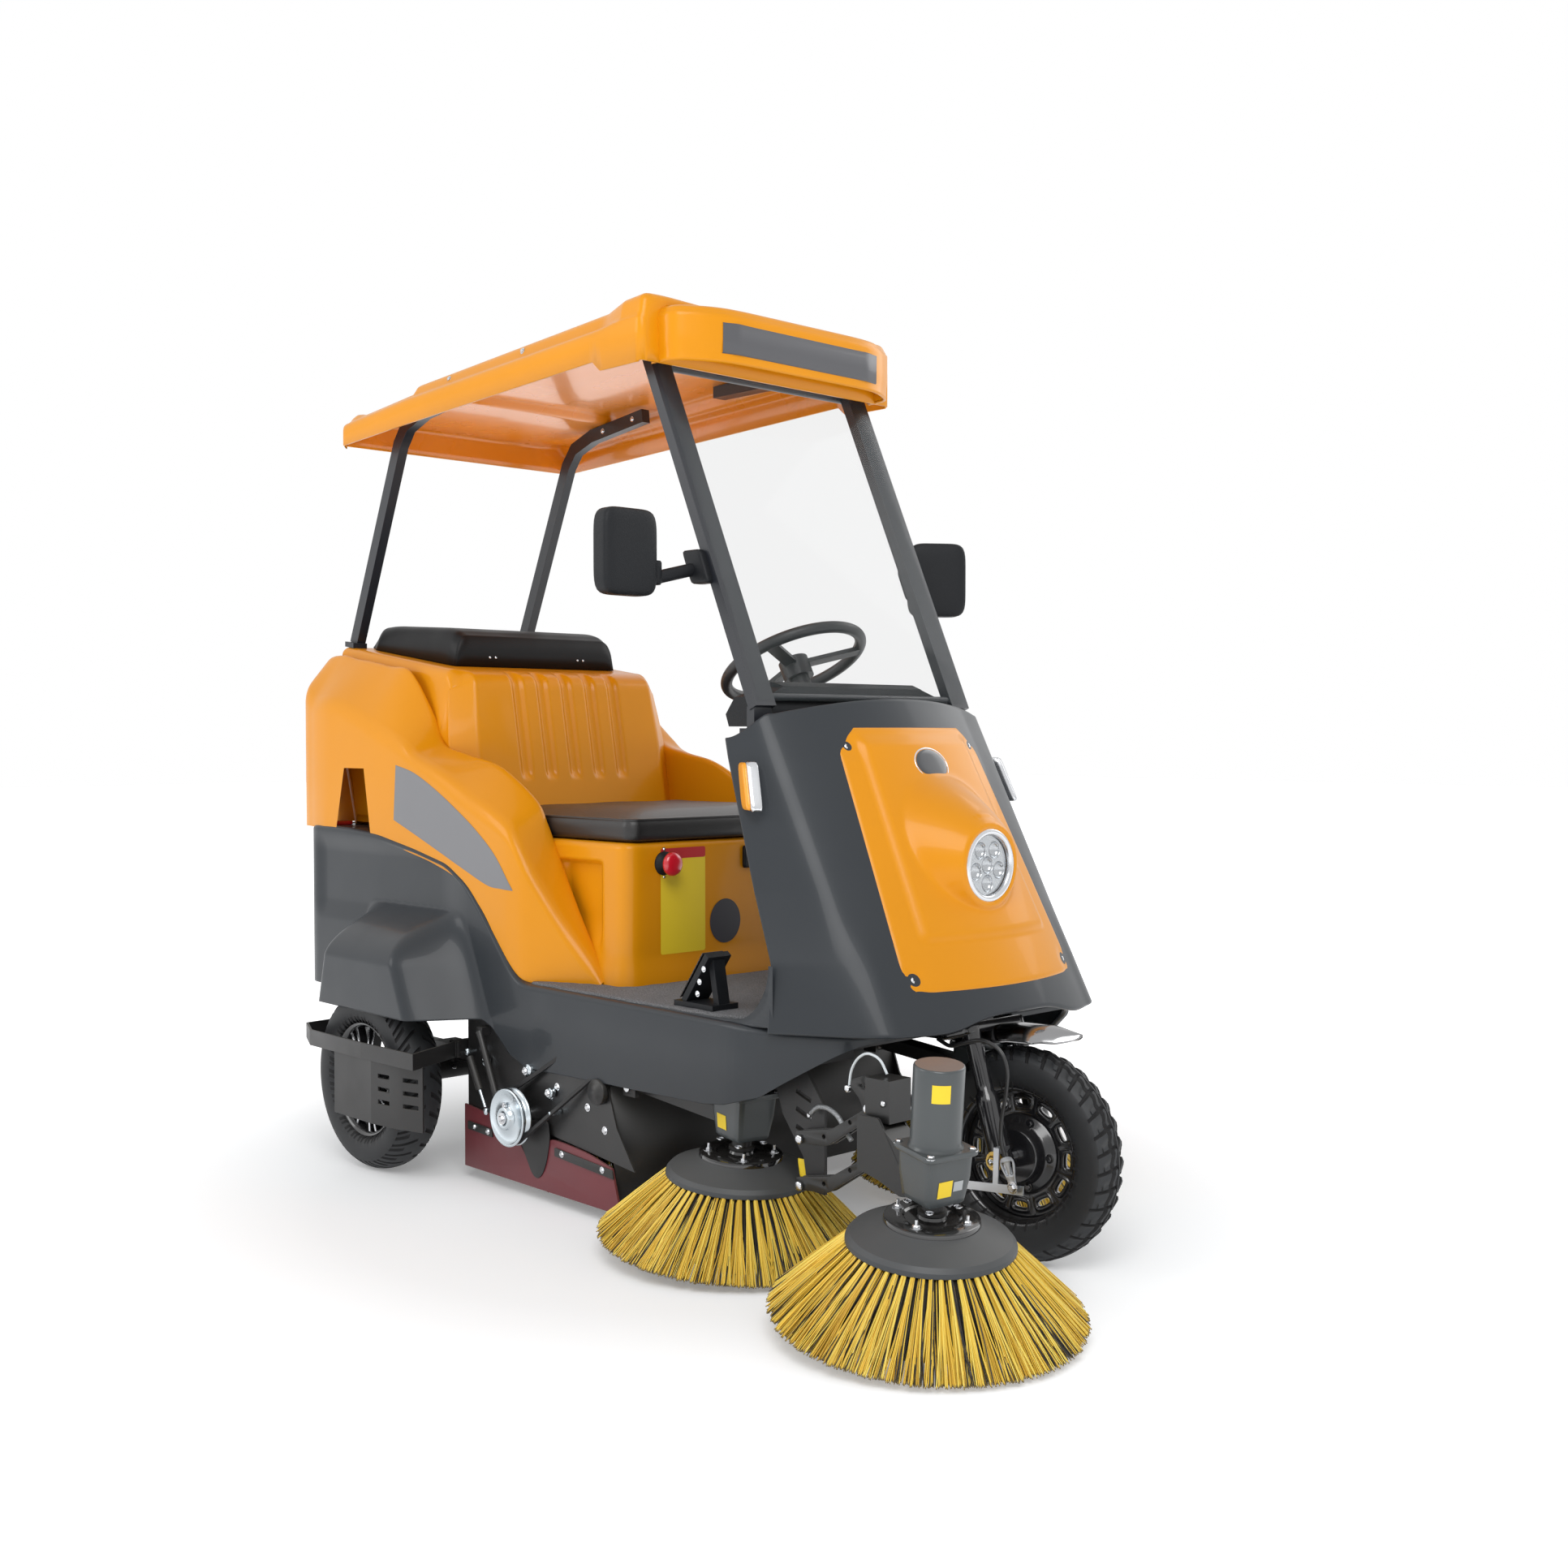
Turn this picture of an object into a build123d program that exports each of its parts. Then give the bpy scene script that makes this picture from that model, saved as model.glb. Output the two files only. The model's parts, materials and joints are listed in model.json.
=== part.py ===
from build123d import *
import math
import os

os.makedirs("parts", exist_ok=True)

# Millimetres. X runs forward from the rear axle, Y to the left, Z up from the ground.
# Every piece is moved at the end, so that the origin lies under the middle of the machine.

# Wheels
rear_wheel_radius = 218
rear_tyre_width = 110
rear_wheel_y = 540
front_wheel_radius = 212
front_tyre_width = 92
rim_radius = 138
front_wheel_x = 1532
steer_rake = 17.5
steer_rest = 8
steer_offset = 40

# Lower body
side_y = 455
shell_t = 8
floor_z = 480
tail_x = -510
tail_bulge = 50
floor_front_x = 1240
nose_x = 1400
nose_y = 350

# Front cowl
cowl_top_z = 1085
cowl_bottom_z = 470
cowl_top_x = 1215
cowl_slope = 0.53
cowl_corner_y = 333
cowl_corner_back = 96

# Rear housing
hood_y = 345
seat_z = 805
seat_front_x = 700
seat_y = 335
armrest_y = 350

# Canopy and its posts
roof_y = 386
roof_front_x = 816
roof_rear_x = -460
roof_front_z = 1833
post_y = 273
pillar_y = 303

# Brushes and broom
front_brush_x = 1683
front_brush_y = -452
mid_brush_x = 1095
mid_brush_y = 370
bristle_radius = 283
disc_radius = 150
disc_rise = 133
brush_clear = 4
front_tilt_x = 6
front_tilt_y = 3
mid_tilt = 5
broom_x = 476
broom_z = 190
broom_radius = 182
broom_y = 425

# Lifting arm of the front brush, an open parallelogram
arm_y = -390
arm_rear = (1307, 268)
arm_front = (1487, 355)
arm_drop = 90
pivot_radius = 7

# Lid, steering wheel
lid_front_x = -103
lid_rear_x = -540
lid_y = 256
lid_gap = 0.3
wheel_x = 880
wheel_z = 1205
column_rake = 28
steering_wheel_radius = 172

# Gap that a piece keeps to its seat
seat_gap = 0.3

pieces = []


def block(x0, x1, y0, y1, z0, z1, mode=Mode.ADD):
    """Box between two corners."""
    with Locations(((x0 + x1) / 2, (y0 + y1) / 2, (z0 + z1) / 2)):
        Box(abs(x1 - x0), abs(y1 - y0), abs(z1 - z0), mode=mode)


def outline(plane, points):
    """Flat face with straight sides on a plane."""
    with BuildSketch(plane) as face:
        with BuildLine():
            Polyline(*points, close=True)
        make_face()
    return face.sketch


def side_plate(points, y0, y1, mode=Mode.ADD):
    """Extrude an x-z outline from y0 to y1, with y1 the larger."""
    extrude(outline(Plane.XZ.offset(-y1), points), amount=y1 - y0, mode=mode)


def flat_plate(points, z0, z1, mode=Mode.ADD):
    """Extrude an x-y outline from z0 up to z1."""
    extrude(outline(Plane.XY.offset(z0), points), amount=z1 - z0, dir=(0, 0, 1), mode=mode)


def rod(start, end, radius, mode=Mode.ADD):
    """Round bar between two points."""
    run = Vector(*end) - Vector(*start)
    with BuildSketch(Plane(origin=start, z_dir=run)) as face:
        Circle(radius)
    extrude(face.sketch, amount=run.length, dir=run, mode=mode)


def beam(start, end, wide, deep, mode=Mode.ADD):
    """Square bar between two points; wide is its size along Y."""
    run = Vector(*end) - Vector(*start)
    across = run.cross(Vector(0, 1, 0)).cross(run)
    with BuildSketch(Plane(origin=start, x_dir=across, z_dir=run)) as face:
        Rectangle(wide, deep)
    extrude(face.sketch, amount=run.length, dir=run, mode=mode)


def ring(points, place=Plane.XZ):
    """Turn a radius-height outline round the height axis of the place."""
    revolve(outline(place, points), axis=Axis(place.origin, place.y_dir))


def sections(outlines):
    """Loft with straight sides through outlines, each a plane and its points."""
    loft([outline(plane, points) for plane, points in outlines], ruled=True)


def keep(part, name, place=None):
    """Name a finished piece and put it on the list."""
    solid = part.part if hasattr(part, "part") else part
    if place is not None:
        solid = place * solid
    pieces.append((name, solid))


# ---------------------------------------------------------------- steering geometry
rake = math.radians(steer_rake)
turn = math.radians(steer_rest)
# The axle leans when the wheel is steered, so the wheel centre sits where the tyre
# shoulder just touches the ground.
axle_lean = math.sin(turn) * math.sin(rake)
shoulder = [(front_wheel_radius, 24), (front_wheel_radius - 10, 38), (front_wheel_radius - 30, 46)]
front_wheel_z = max(r * math.sqrt(1 - axle_lean ** 2) + w * axle_lean for r, w in shoulder)
steer_up = Vector(-math.sin(rake), 0, math.cos(rake))
steer_fwd = Vector(math.cos(rake), 0, math.sin(rake))
steered_fwd = steer_fwd * math.cos(turn) + Vector(0, math.sin(turn), 0)
front_centre = Vector(front_wheel_x, steer_offset * math.sin(turn), front_wheel_z)
steer_point = front_centre - steered_fwd * steer_offset
straight_centre = steer_point + steer_fwd * steer_offset
steer_axis = Axis(tuple(steer_point), tuple(steer_up))
steer_plane = Plane(origin=tuple(steer_point), x_dir=tuple(steer_fwd), z_dir=tuple(steer_up))

# ---------------------------------------------------------------- body sections
def cowl_front(z):
    """Forward reach of the cowl on the centre line."""
    return cowl_top_x + cowl_slope * (cowl_top_z - z)


# z, rear edge x, rear edge y
cowl_edge = [
    (cowl_top_z + 35, 1036, 362),
    (1000, 1082, 380),
    (735, 1184, 402),
    (600, 1250, 420),
    (cowl_bottom_z, 1262, 440),
]


def cowl_solid(out, back):
    """Cowl body grown outwards by out and rearwards by back."""
    levels = []
    for z, edge_x, edge_y in cowl_edge:
        front = cowl_front(z) + out
        corner = front - cowl_corner_back
        rear_x = edge_x - back
        rear_y = edge_y + out + back * (edge_y - cowl_corner_y) / (corner - edge_x)
        with BuildSketch(Plane.XY.offset(z)) as level:
            with BuildLine():
                ThreePointArc((corner, -cowl_corner_y - out), (front, 0), (corner, cowl_corner_y + out))
                Polyline(
                    (corner, cowl_corner_y + out),
                    (rear_x, rear_y),
                    (rear_x, -rear_y),
                    (corner, -cowl_corner_y - out),
                )
            make_face()
        levels.append(level.sketch)
    loft(levels, ruled=True)


# ---------------------------------------------------------------- frame
rail_y = 230
mid_lean = math.radians(mid_tilt)
mid_tip_z = brush_clear + 2 + bristle_radius * math.sin(mid_lean)
mid_reach = 300
mid_rise = 110
mid_pivot_x = mid_brush_x - mid_reach * math.cos(mid_lean) + (disc_rise + mid_rise) * math.sin(mid_lean)
mid_pivot_z = mid_tip_z + mid_reach * math.sin(mid_lean) + (disc_rise + mid_rise) * math.cos(mid_lean)
head_low = steer_point + steer_up * 285
head_high = steer_point + steer_up * 395
with BuildPart() as frame:
    for side in (-1, 1):
        block(-430, 1250, side * rail_y - 25, side * rail_y + 25, 400, 460)
        for post_x in (mid_pivot_x, 960):
            block(post_x - 20, post_x + 20, side * (rail_y - 20), side * 440, 405, floor_z - 6 - seat_gap)
        for lug_y in (mid_brush_y - 49, mid_brush_y + 49):
            block(mid_pivot_x - 20, mid_pivot_x + 20, side * (lug_y - 5), side * (lug_y + 5), mid_pivot_z - 20, 410)
        # outriggers that carry the wheel guards
        for out_x in (221, -262):
            block(out_x - 10, out_x + 10, side * (rail_y - 10), side * 466, 300, 326)
            block(out_x - 10, out_x + 10, side * (rail_y - 10), side * (rail_y + 15), 300, 405)
    for cross_x in (-410, -90, 240, 700, 1120, 1225):
        block(cross_x - 20, cross_x + 20, -rail_y, rail_y, 405, 455)
    rod(tuple(head_low), tuple(head_high), 30)
    beam((1225, 0, 440), tuple(steer_point + steer_up * 345), 120, 56)
    rod(tuple(head_low - steer_up * 10), tuple(head_high + steer_up * 10), 17 + seat_gap, mode=Mode.SUBTRACT)
    rod((mid_pivot_x, -500, mid_pivot_z), (mid_pivot_x, 500, mid_pivot_z), 14 + seat_gap, mode=Mode.SUBTRACT)
    # bracket that carries the brush arm, with its slots
    side_plate(
        [(1180, 430), (1290, 400), (1345, 330), (1345, 161), (1314, 163), (1297, 178), (1288, 225), (1230, 300)],
        arm_y + 22,
        arm_y + 30,
    )
    block(1180, 1290, -rail_y, arm_y + 22, 400, 430)
    for slot_z in (275, 310, 345):
        with Locations(((1288, arm_y + 26, slot_z))):
            Box(44, 20, 10, rotation=(0, 20, 0), mode=Mode.SUBTRACT)
    for pivot_z in (arm_rear[1], arm_rear[1] - arm_drop):
        rod((arm_rear[0], arm_y + 24, pivot_z), (arm_rear[0], arm_y - 10, pivot_z), pivot_radius)
keep(frame, "frame")

# ---------------------------------------------------------------- lower body
seam = [
    (tail_x, 802),
    (-394, 802),
    (-161, 791),
    (10, 763),
    (155, 737),
    (241, 694),
    (291, 651),
    (357, 581),
    (430, 500),
    (460, floor_z),
]
sill = [(1150, 318), (1095, 311), (917, 306), (638, 300), (486, 296), (423, 317), (326, 388)]
with BuildPart() as lower_body:
    side_plate(
        [(tail_x - tail_bulge, 802)] + seam
        + [(1235, floor_z), (1262, cowl_bottom_z - seat_gap), (nose_x, cowl_bottom_z - seat_gap),
           (nose_x, 452), (1237, 343)]
        + sill + [(tail_x - tail_bulge, 392)],
        -side_y,
        side_y,
    )
    for side in (-1, 1):
        flat_plate(
            [
                (floor_front_x, side * side_y), (nose_x + 1, side * nose_y),
                (nose_x + 1, side * 600), (floor_front_x, side * 600),
            ],
            200, 600, mode=Mode.SUBTRACT,
        )
        flat_plate(
            [
                (tail_x + 15, side * side_y), (tail_x - tail_bulge, side * (side_y - 90)),
                (tail_x - tail_bulge, side * 600), (tail_x + 15, side * 600),
            ],
            200, 900, mode=Mode.SUBTRACT,
        )
    # hollow under the floor, and inside the raised rear
    inner_y = side_y - shell_t
    rear_x = tail_x - tail_bulge + shell_t
    flat_plate(
        [
            (rear_x, -inner_y + 90), (tail_x + 15, -inner_y),
            (floor_front_x - 3, -inner_y), (nose_x - shell_t, -nose_y + shell_t),
            (nose_x - shell_t, nose_y - shell_t), (floor_front_x - 3, inner_y),
            (tail_x + 15, inner_y), (rear_x, inner_y - 90),
        ],
        100, floor_z - 6, mode=Mode.SUBTRACT,
    )
    flat_plate(
        [
            (rear_x, -inner_y + 90), (tail_x + 15, -inner_y), (462, -inner_y),
            (462, inner_y), (tail_x + 15, inner_y), (rear_x, inner_y - 90),
        ],
        floor_z - 10, 794, mode=Mode.SUBTRACT,
    )
    block(-432, 462, -inner_y, inner_y, 700, 900, mode=Mode.SUBTRACT)
    # opening for the steering head
    block(1210, nose_x + 10, -130, 130, 300, 600, mode=Mode.SUBTRACT)
    # mudguards over the rear wheels
    for side in (-1, 1):
        wall = side * (side_y - 4)
        lip = side * 612
        sections([
            (Plane.XY.offset(392), [(-215, wall), (-215, lip), (330, lip), (390, wall)]),
            (Plane.XY.offset(500), [(-205, wall), (-190, lip), (285, lip), (350, wall)]),
            (Plane.XY.offset(572), [(-150, wall), (-130, side * 560), (215, side * 560), (300, wall)]),
        ])
    for side in (-1, 1):
        deep = side * (side_y - 40)
        lip = side * 604
        with BuildPart(mode=Mode.SUBTRACT):
            sections([
                (Plane.XY.offset(390), [(-207, deep), (-207, lip), (322, lip), (382, deep)]),
                (Plane.XY.offset(500), [(-197, deep), (-182, lip), (277, lip), (342, deep)]),
                (Plane.XY.offset(564), [(-142, deep), (-122, side * 552), (207, side * 552), (292, deep)]),
            ])
keep(lower_body, "lower_body")

# ---------------------------------------------------------------- front cowl and nose panel
with BuildPart() as front_cowl:
    cowl_solid(0, 0)
    with BuildPart(mode=Mode.SUBTRACT):
        cowl_solid(-shell_t, 200)
    # the rear edge falls away from the windscreen foot
    side_plate([(1000, 1150), (1112, 1150), (1112, 1086), (1045, 1015), (1000, 1015)], -500, 500,
               mode=Mode.SUBTRACT)
    # arched top edge
    with BuildSketch(Plane.YZ.offset(900)):
        with BuildLine():
            ThreePointArc((-cowl_corner_y, cowl_top_z), (0, cowl_top_z + 32), (cowl_corner_y, cowl_top_z))
            Polyline((cowl_corner_y, cowl_top_z), (500, cowl_top_z), (500, 1300), (-500, 1300),
                     (-500, cowl_top_z), (-cowl_corner_y, cowl_top_z))
        make_face()
    extrude(amount=500, mode=Mode.SUBTRACT)
    # lower edge rises towards the nose, clear of the fender
    side_plate([(1200, 460), (1310, 474), (1560, 510), (1600, 440), (1200, 440)], -120, 120,
               mode=Mode.SUBTRACT)
keep(front_cowl, "front_cowl")

lamp_z = 782
lamp_radius = 72
with BuildPart() as nose_panel:
    cowl_solid(9, 0)
    with BuildPart(mode=Mode.SUBTRACT):
        cowl_solid(seat_gap, 20)
    with BuildPart(mode=Mode.INTERSECT):
        with BuildSketch(Plane.YZ.offset(1000)):
            with BuildLine():
                Polyline(
                    (-258, 545), (258, 545), (212, 1020), (190, 1042), (100, 1060), (-100, 1060),
                    (-190, 1042), (-212, 1020), close=True,
                )
            make_face()
        extrude(amount=700)
    with BuildPart() as hump:
        with Locations(Location((1340, 0, lamp_z), (0, 90, 0))):
            Cone(150, lamp_radius + 16, 108, align=(Align.CENTER, Align.CENTER, Align.MIN))
    with BuildPart(mode=Mode.SUBTRACT):
        cowl_solid(seat_gap, 200)
    with BuildPart(mode=Mode.SUBTRACT):
        with Locations(Location((1340, 0, lamp_z), (0, 90, 0))):
            Cylinder(lamp_radius + seat_gap, 200, align=(Align.CENTER, Align.CENTER, Align.MIN))
keep(nose_panel, "nose_panel")

with BuildPart() as headlamp:
    with Locations(Location((1420, 0, lamp_z), (0, 90, 0))):
        Cylinder(lamp_radius, 22, align=(Align.CENTER, Align.CENTER, Align.MIN))
    with Locations(Location((1442, 0, lamp_z), (0, 90, 0))):
        Cylinder(lamp_radius - 8, 8, align=(Align.CENTER, Align.CENTER, Align.MIN))
keep(headlamp, "headlamp")

for side, name in ((-1, "indicator_right"), (1, "indicator_left")):
    with BuildPart() as indicator:
        with BuildPart(Location((1165, side * 378, 943), (0, 0, side * -32)) * Rotation(0, -22, 0)):
            Box(64, 26, 96)
        with BuildPart(mode=Mode.SUBTRACT):
            cowl_solid(seat_gap, 0)
    keep(indicator, name)

# ---------------------------------------------------------------- dash and windscreen
column = math.radians(column_rake)
wheel_place = Location((wheel_x, 0, wheel_z), (0, -column_rake, 0))


def column_point(reach):
    """Point on the steering column, measured upwards from the steering wheel."""
    return (wheel_x - reach * math.sin(column), 0, wheel_z + reach * math.cos(column))


with BuildPart() as dash:
    side_plate(
        [
            (1098, 1062), (1092, 1104), (1070, 1146), (1040, 1156), (985, 1132), (950, 1088), (960, 1062),
        ],
        -268, 268,
    )
    for side in (-1, 1):
        with Locations(Location((1020, side * 268, 1156), (side * -22, 0, 0))):
            Box(300, 90, 60, mode=Mode.SUBTRACT)
    flat_plate([(1090, -268), (1134, -268), (1170, -180), (1195, 0), (1170, 180), (1134, 268), (1090, 268)],
               1084, 1092)
    # knee panel down to the floor
    side_plate(
        [
            (1098, 1070), (1098, 1020), (1112, 960), (1162, 735), (1214, 590), (1222, floor_z + seat_gap),
            (1214, floor_z + seat_gap),
            (1206, 590), (1154, 735), (1104, 960), (1088, 1022), (1088, 1070),
        ],
        -268, 268,
    )
    side_plate(
        [
            (1098, 1020), (1112, 960), (1162, 735), (1214, 590), (1222, floor_z + seat_gap),
            (1214, floor_z + seat_gap),
            (1206, 590), (1154, 735), (1104, 960), (1090, 1020),
        ],
        -345, 345,
    )
    # steering column
    rod(column_point(-190), column_point(-70), 32)
    rod(column_point(-110 - seat_gap), column_point(-60), 22 + seat_gap, mode=Mode.SUBTRACT)
keep(dash, "dash")

pillar_foot = Vector(1109, 0, 1085)
pillar_top = Vector(770, 0, 1842)
pillar_run = (pillar_top - pillar_foot).normalized()
pillar_out = Vector(pillar_run.Z, 0, -pillar_run.X)
arm_end = (286, 1932)
with BuildPart() as windscreen_frame:
    for side in (-1, 1):
        shift = Vector(0, side * pillar_y, 0)
        foot = pillar_foot + pillar_run * 16 + shift
        head = pillar_top + pillar_run * 20 + shift
        beam(tuple(foot), tuple(head), 56, 24)
        # bend and arm under the roof
        beam(tuple(head - pillar_run * 8), (720, shift.Y, 1902), 50, 26)
        beam((729, shift.Y, 1896), (655, shift.Y, 1928), 44, 28)
        beam((664, shift.Y, 1930), (arm_end[0], shift.Y, arm_end[1]), 40, 30)
        block(1082, 1104, side * 280, side * 328, 1040, 1102)
        flat_plate([(1082, side * 280), (1104, side * 280), (1104, side * 337), (1082, side * 348)], 1030, 1058)
    rod((752, -pillar_y, 1850), (752, pillar_y, 1850), 12)
    rod((1094, -pillar_y, 1122), (1094, pillar_y, 1122), 8)
keep(windscreen_frame, "windscreen_frame")

with BuildPart() as windscreen:
    glass_low = pillar_foot + pillar_run * 26 + pillar_out * (14.5 + seat_gap)
    glass_high = pillar_top + pillar_out * (14.5 + seat_gap)
    beam(tuple(glass_low), tuple(glass_high), 640, 5)
keep(windscreen, "windscreen")

# ---------------------------------------------------------------- canopy
# x, half width, lower edge, shoulder, top
roof_stations = [
    (roof_rear_x, 372, 1808, 1862, 1893),
    (-150, 378, 1822, 1884, 1910),
    (-128, 378, 1823, 1885, 1927),
    (700, roof_y, 1857, 1925, 1984),
    (roof_front_x, roof_y, 1858, 1925, 1972),
]


def roof_body(inset, low, stations):
    """Canopy lofted through its stations, shrunk by inset with its lower edge at low if given."""
    sections([
        (
            Plane.YZ.offset(x),
            [
                (-half + inset, low or bottom), (half - inset, low or bottom),
                (half - inset, shoulder - inset / 2), (352 - inset, shoulder + 10 - inset / 2),
                (338 - inset, top - inset), (-338 + inset, top - inset),
                (-352 + inset, shoulder + 10 - inset / 2), (-half + inset, shoulder - inset / 2),
            ],
        )
        for x, half, bottom, shoulder, top in stations
    ])


with BuildPart() as canopy:
    roof_body(0, None, roof_stations)
    # ears at the front corners and the bulged front band
    block(652, roof_front_x, -roof_y, roof_y, roof_front_z, 1880)
    flat_plate(
        [(800, -roof_y), (roof_front_x, -roof_y), (862, -320), (902, -262), (912, -230), (912, 230),
         (902, 262), (862, 320), (roof_front_x, roof_y), (800, roof_y)],
        1836, 1956,
    )
    with BuildPart(mode=Mode.SUBTRACT):
        roof_body(8, 1780, [(roof_rear_x + 8, *roof_stations[0][1:])] + roof_stations[1:4]
                  + [(roof_front_x - 8, *roof_stations[4][1:])])
    flat_plate(
        [(760, -roof_y + 8), (roof_front_x - 3, -roof_y + 8), (857, -314), (895, -256), (904, -226), (904, 226),
         (895, 256), (857, 314), (roof_front_x - 3, roof_y - 8), (760, roof_y - 8)],
        1780, 1948, mode=Mode.SUBTRACT,
    )
keep(canopy, "canopy")

with BuildPart() as roof_sign:
    block(912.5, 915, -226, 226, 1856, 1920)
keep(roof_sign, "roof_sign")

# the top of the hood falls towards the front
hood_slope = (1284 - 1206) / (-572 + 14)


def hood_top(x):
    """Height of the hood top at x."""
    return 1206 + hood_slope * (x + 14)


post_path = [(-553, 1298), (-324, 1806), (-286, 1850), (-205, 1877), (16, 1904)]
for side, name in ((-1, "rear_post_right"), (1, "rear_post_left")):
    with BuildPart() as rear_post:
        for start, end in zip(post_path[:-1], post_path[1:]):
            run = (Vector(*end) - Vector(*start)).normalized() * 6
            beam(
                (start[0] - run.X, side * post_y, start[1] - run.Y),
                (end[0] + run.X, side * post_y, end[1] + run.Y),
                26, 36,
            )
        foot_y = sorted((side * (post_y - 12), side * (post_y + 30)))
        side_plate([(-570, hood_top(-570) + seat_gap), (-526, hood_top(-526) + seat_gap),
                    (-526, 1292), (-570, 1298)], *foot_y)
    keep(rear_post, name)

# ---------------------------------------------------------------- rear housing
# x, inner top z, outer y, outer top z, lower z
side_body = [
    (-560, 1270, 380, 1225, 1000),
    (-500, 1264, 436, 1128, 1000),
    (-430, 1260, 445, 1136, 795),
    (-361, 1250, 445, 1136, 788),
    (-164, 1224, 445, 1050, 780),
    (-60, 1210, 445, 1018, 765),
    (-8, 1004, 445, 1000, 755),
    (94, 998, 445, 963, 735),
    (209, 984, 445, 910, 700),
    (381, 897, 445, 838, 545),
    (412, 826, 445, 825, 500),
    (450, 768, 438, 768, 494),
    (490, 700, 415, 700, 494),
    (550, 600, 385, 600, 494),
    (632, 505, 362, 505, 494),
]
hood_outline = [
    (-495, 804), (-580, 1130), (-586, 1240), (-572, 1284), (-14, 1206), (22, 1190), (74, 915),
    (98, seat_z), (98, 780), (-14, 780), (-430, 790), (-430, 804),
]


def side_bodies(side, inset, drop):
    """One flank of the housing, shrunk by inset and lowered by drop."""
    sections([
        (
            Plane.YZ.offset(x),
            [
                (side * (seat_y + inset), inner_z - inset),
                (side * (outer_y - inset), outer_z - inset),
                (side * (outer_y - inset), lower_z - drop),
                (side * (seat_y + inset), lower_z - drop),
            ],
        )
        for x, inner_z, outer_y, outer_z, lower_z in side_body
    ])


with BuildPart() as rear_housing:
    for side in (-1, 1):
        side_bodies(side, 0, 0)
    side_plate(hood_outline, -hood_y, hood_y)
    block(60, seat_front_x, -seat_y, seat_y, 494, seat_z)
    for side in (-1, 1):
        with BuildPart(mode=Mode.SUBTRACT):
            side_bodies(side, 9, 20)
    side_plate(
        [(-421, 700), (-421, 795), (-486, 806), (-571, 1128), (-577, 1236), (-566, 1274), (-16, 1196),
         (12, 1182), (64, 912), (88, 795), (88, 700)],
        -hood_y + 9, hood_y - 9, mode=Mode.SUBTRACT,
    )
    block(40, seat_front_x - 9, -seat_y + 9, seat_y - 9, 400, seat_z - 9, mode=Mode.SUBTRACT)
    # grooves pressed into the backrest
    for groove_y in (-150, -75, 0, 75, 150):
        with BuildPart(Location((50, groove_y, 1060), (0, -11, 0)), mode=Mode.SUBTRACT):
            Cylinder(14, 230)
    # hatch under the lid
    block(-520, -150, -225, 225, 1190, 1300, mode=Mode.SUBTRACT)
keep(rear_housing, "rear_housing")

with BuildPart() as dust_bin:
    block(-412, -150, -215, 215, 460 + seat_gap, 1180)
    offset(amount=-4, openings=dust_bin.faces().sort_by(Axis.Z)[-1])
keep(dust_bin, "dust_bin")

# the lid starts above the hood by the gap
hinge_x = lid_front_x + 3
hinge_radius = 4.5
hinge_z = hood_top(hinge_x) + lid_gap + hinge_radius + 0.1
with BuildPart() as rear_lid:
    sections([
        (Plane.YZ.offset(lid_front_x), [(-lid_y, hood_top(lid_front_x) + lid_gap),
                                        (lid_y, hood_top(lid_front_x) + lid_gap),
                                        (lid_y - 12, 1292), (-lid_y + 12, 1292)]),
        (Plane.YZ.offset(lid_front_x - 60), [(-lid_y, hood_top(lid_front_x - 60) + lid_gap),
                                             (lid_y, hood_top(lid_front_x - 60) + lid_gap),
                                             (lid_y - 14, 1316), (-lid_y + 14, 1316)]),
        (Plane.YZ.offset(-430), [(-lid_y, hood_top(-430) + lid_gap), (lid_y, hood_top(-430) + lid_gap),
                                 (lid_y - 14, 1334), (-lid_y + 14, 1334)]),
        (Plane.YZ.offset(lid_rear_x), [(-lid_y + 6, hood_top(lid_rear_x) + lid_gap),
                                       (lid_y - 6, hood_top(lid_rear_x) + lid_gap),
                                       (lid_y - 20, 1320), (-lid_y + 20, 1320)]),
    ])
    # hinge barrels on the front edge
    for side in (-1, 1):
        barrel_y = sorted((side * 120, side * 200))
        rod((hinge_x, barrel_y[0], hinge_z), (hinge_x, barrel_y[1], hinge_z), hinge_radius)
keep(rear_lid, "rear_lid")

with BuildPart() as seat_cushion:
    block(108, 705, -330, 330, seat_z + seat_gap, seat_z + 55)
    fillet(seat_cushion.edges().filter_by(Axis.Z), 30)
    fillet(seat_cushion.faces().sort_by(Axis.Z)[-1].edges(), 12)
keep(seat_cushion, "seat_cushion")

with BuildPart() as battery_box:
    block(120, 640, -300, 300, floor_z + seat_gap, 760)
keep(battery_box, "battery_box")

mat_top = floor_z + 9
with BuildPart() as floor_mat:
    flat_plate(
        [
            (705, -300), (705, -345), (640, -375), (560, -396), (500, -425), (480, -440), (900, -440),
            (1160, -430), (1205, -330), (1205, 330), (1160, 430), (900, 440), (480, 440), (500, 425),
            (560, 396), (640, 375), (705, 345), (705, 300),
        ],
        floor_z + seat_gap, mat_top,
    )
keep(floor_mat, "floor_mat")

with BuildPart() as stop_button:
    rod((seat_front_x + seat_gap, -230, 757), (seat_front_x + 18, -230, 757), 16)
    rod((seat_front_x + 18, -230, 757), (seat_front_x + 42, -230, 757), 26)
keep(stop_button, "stop_button")

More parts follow.
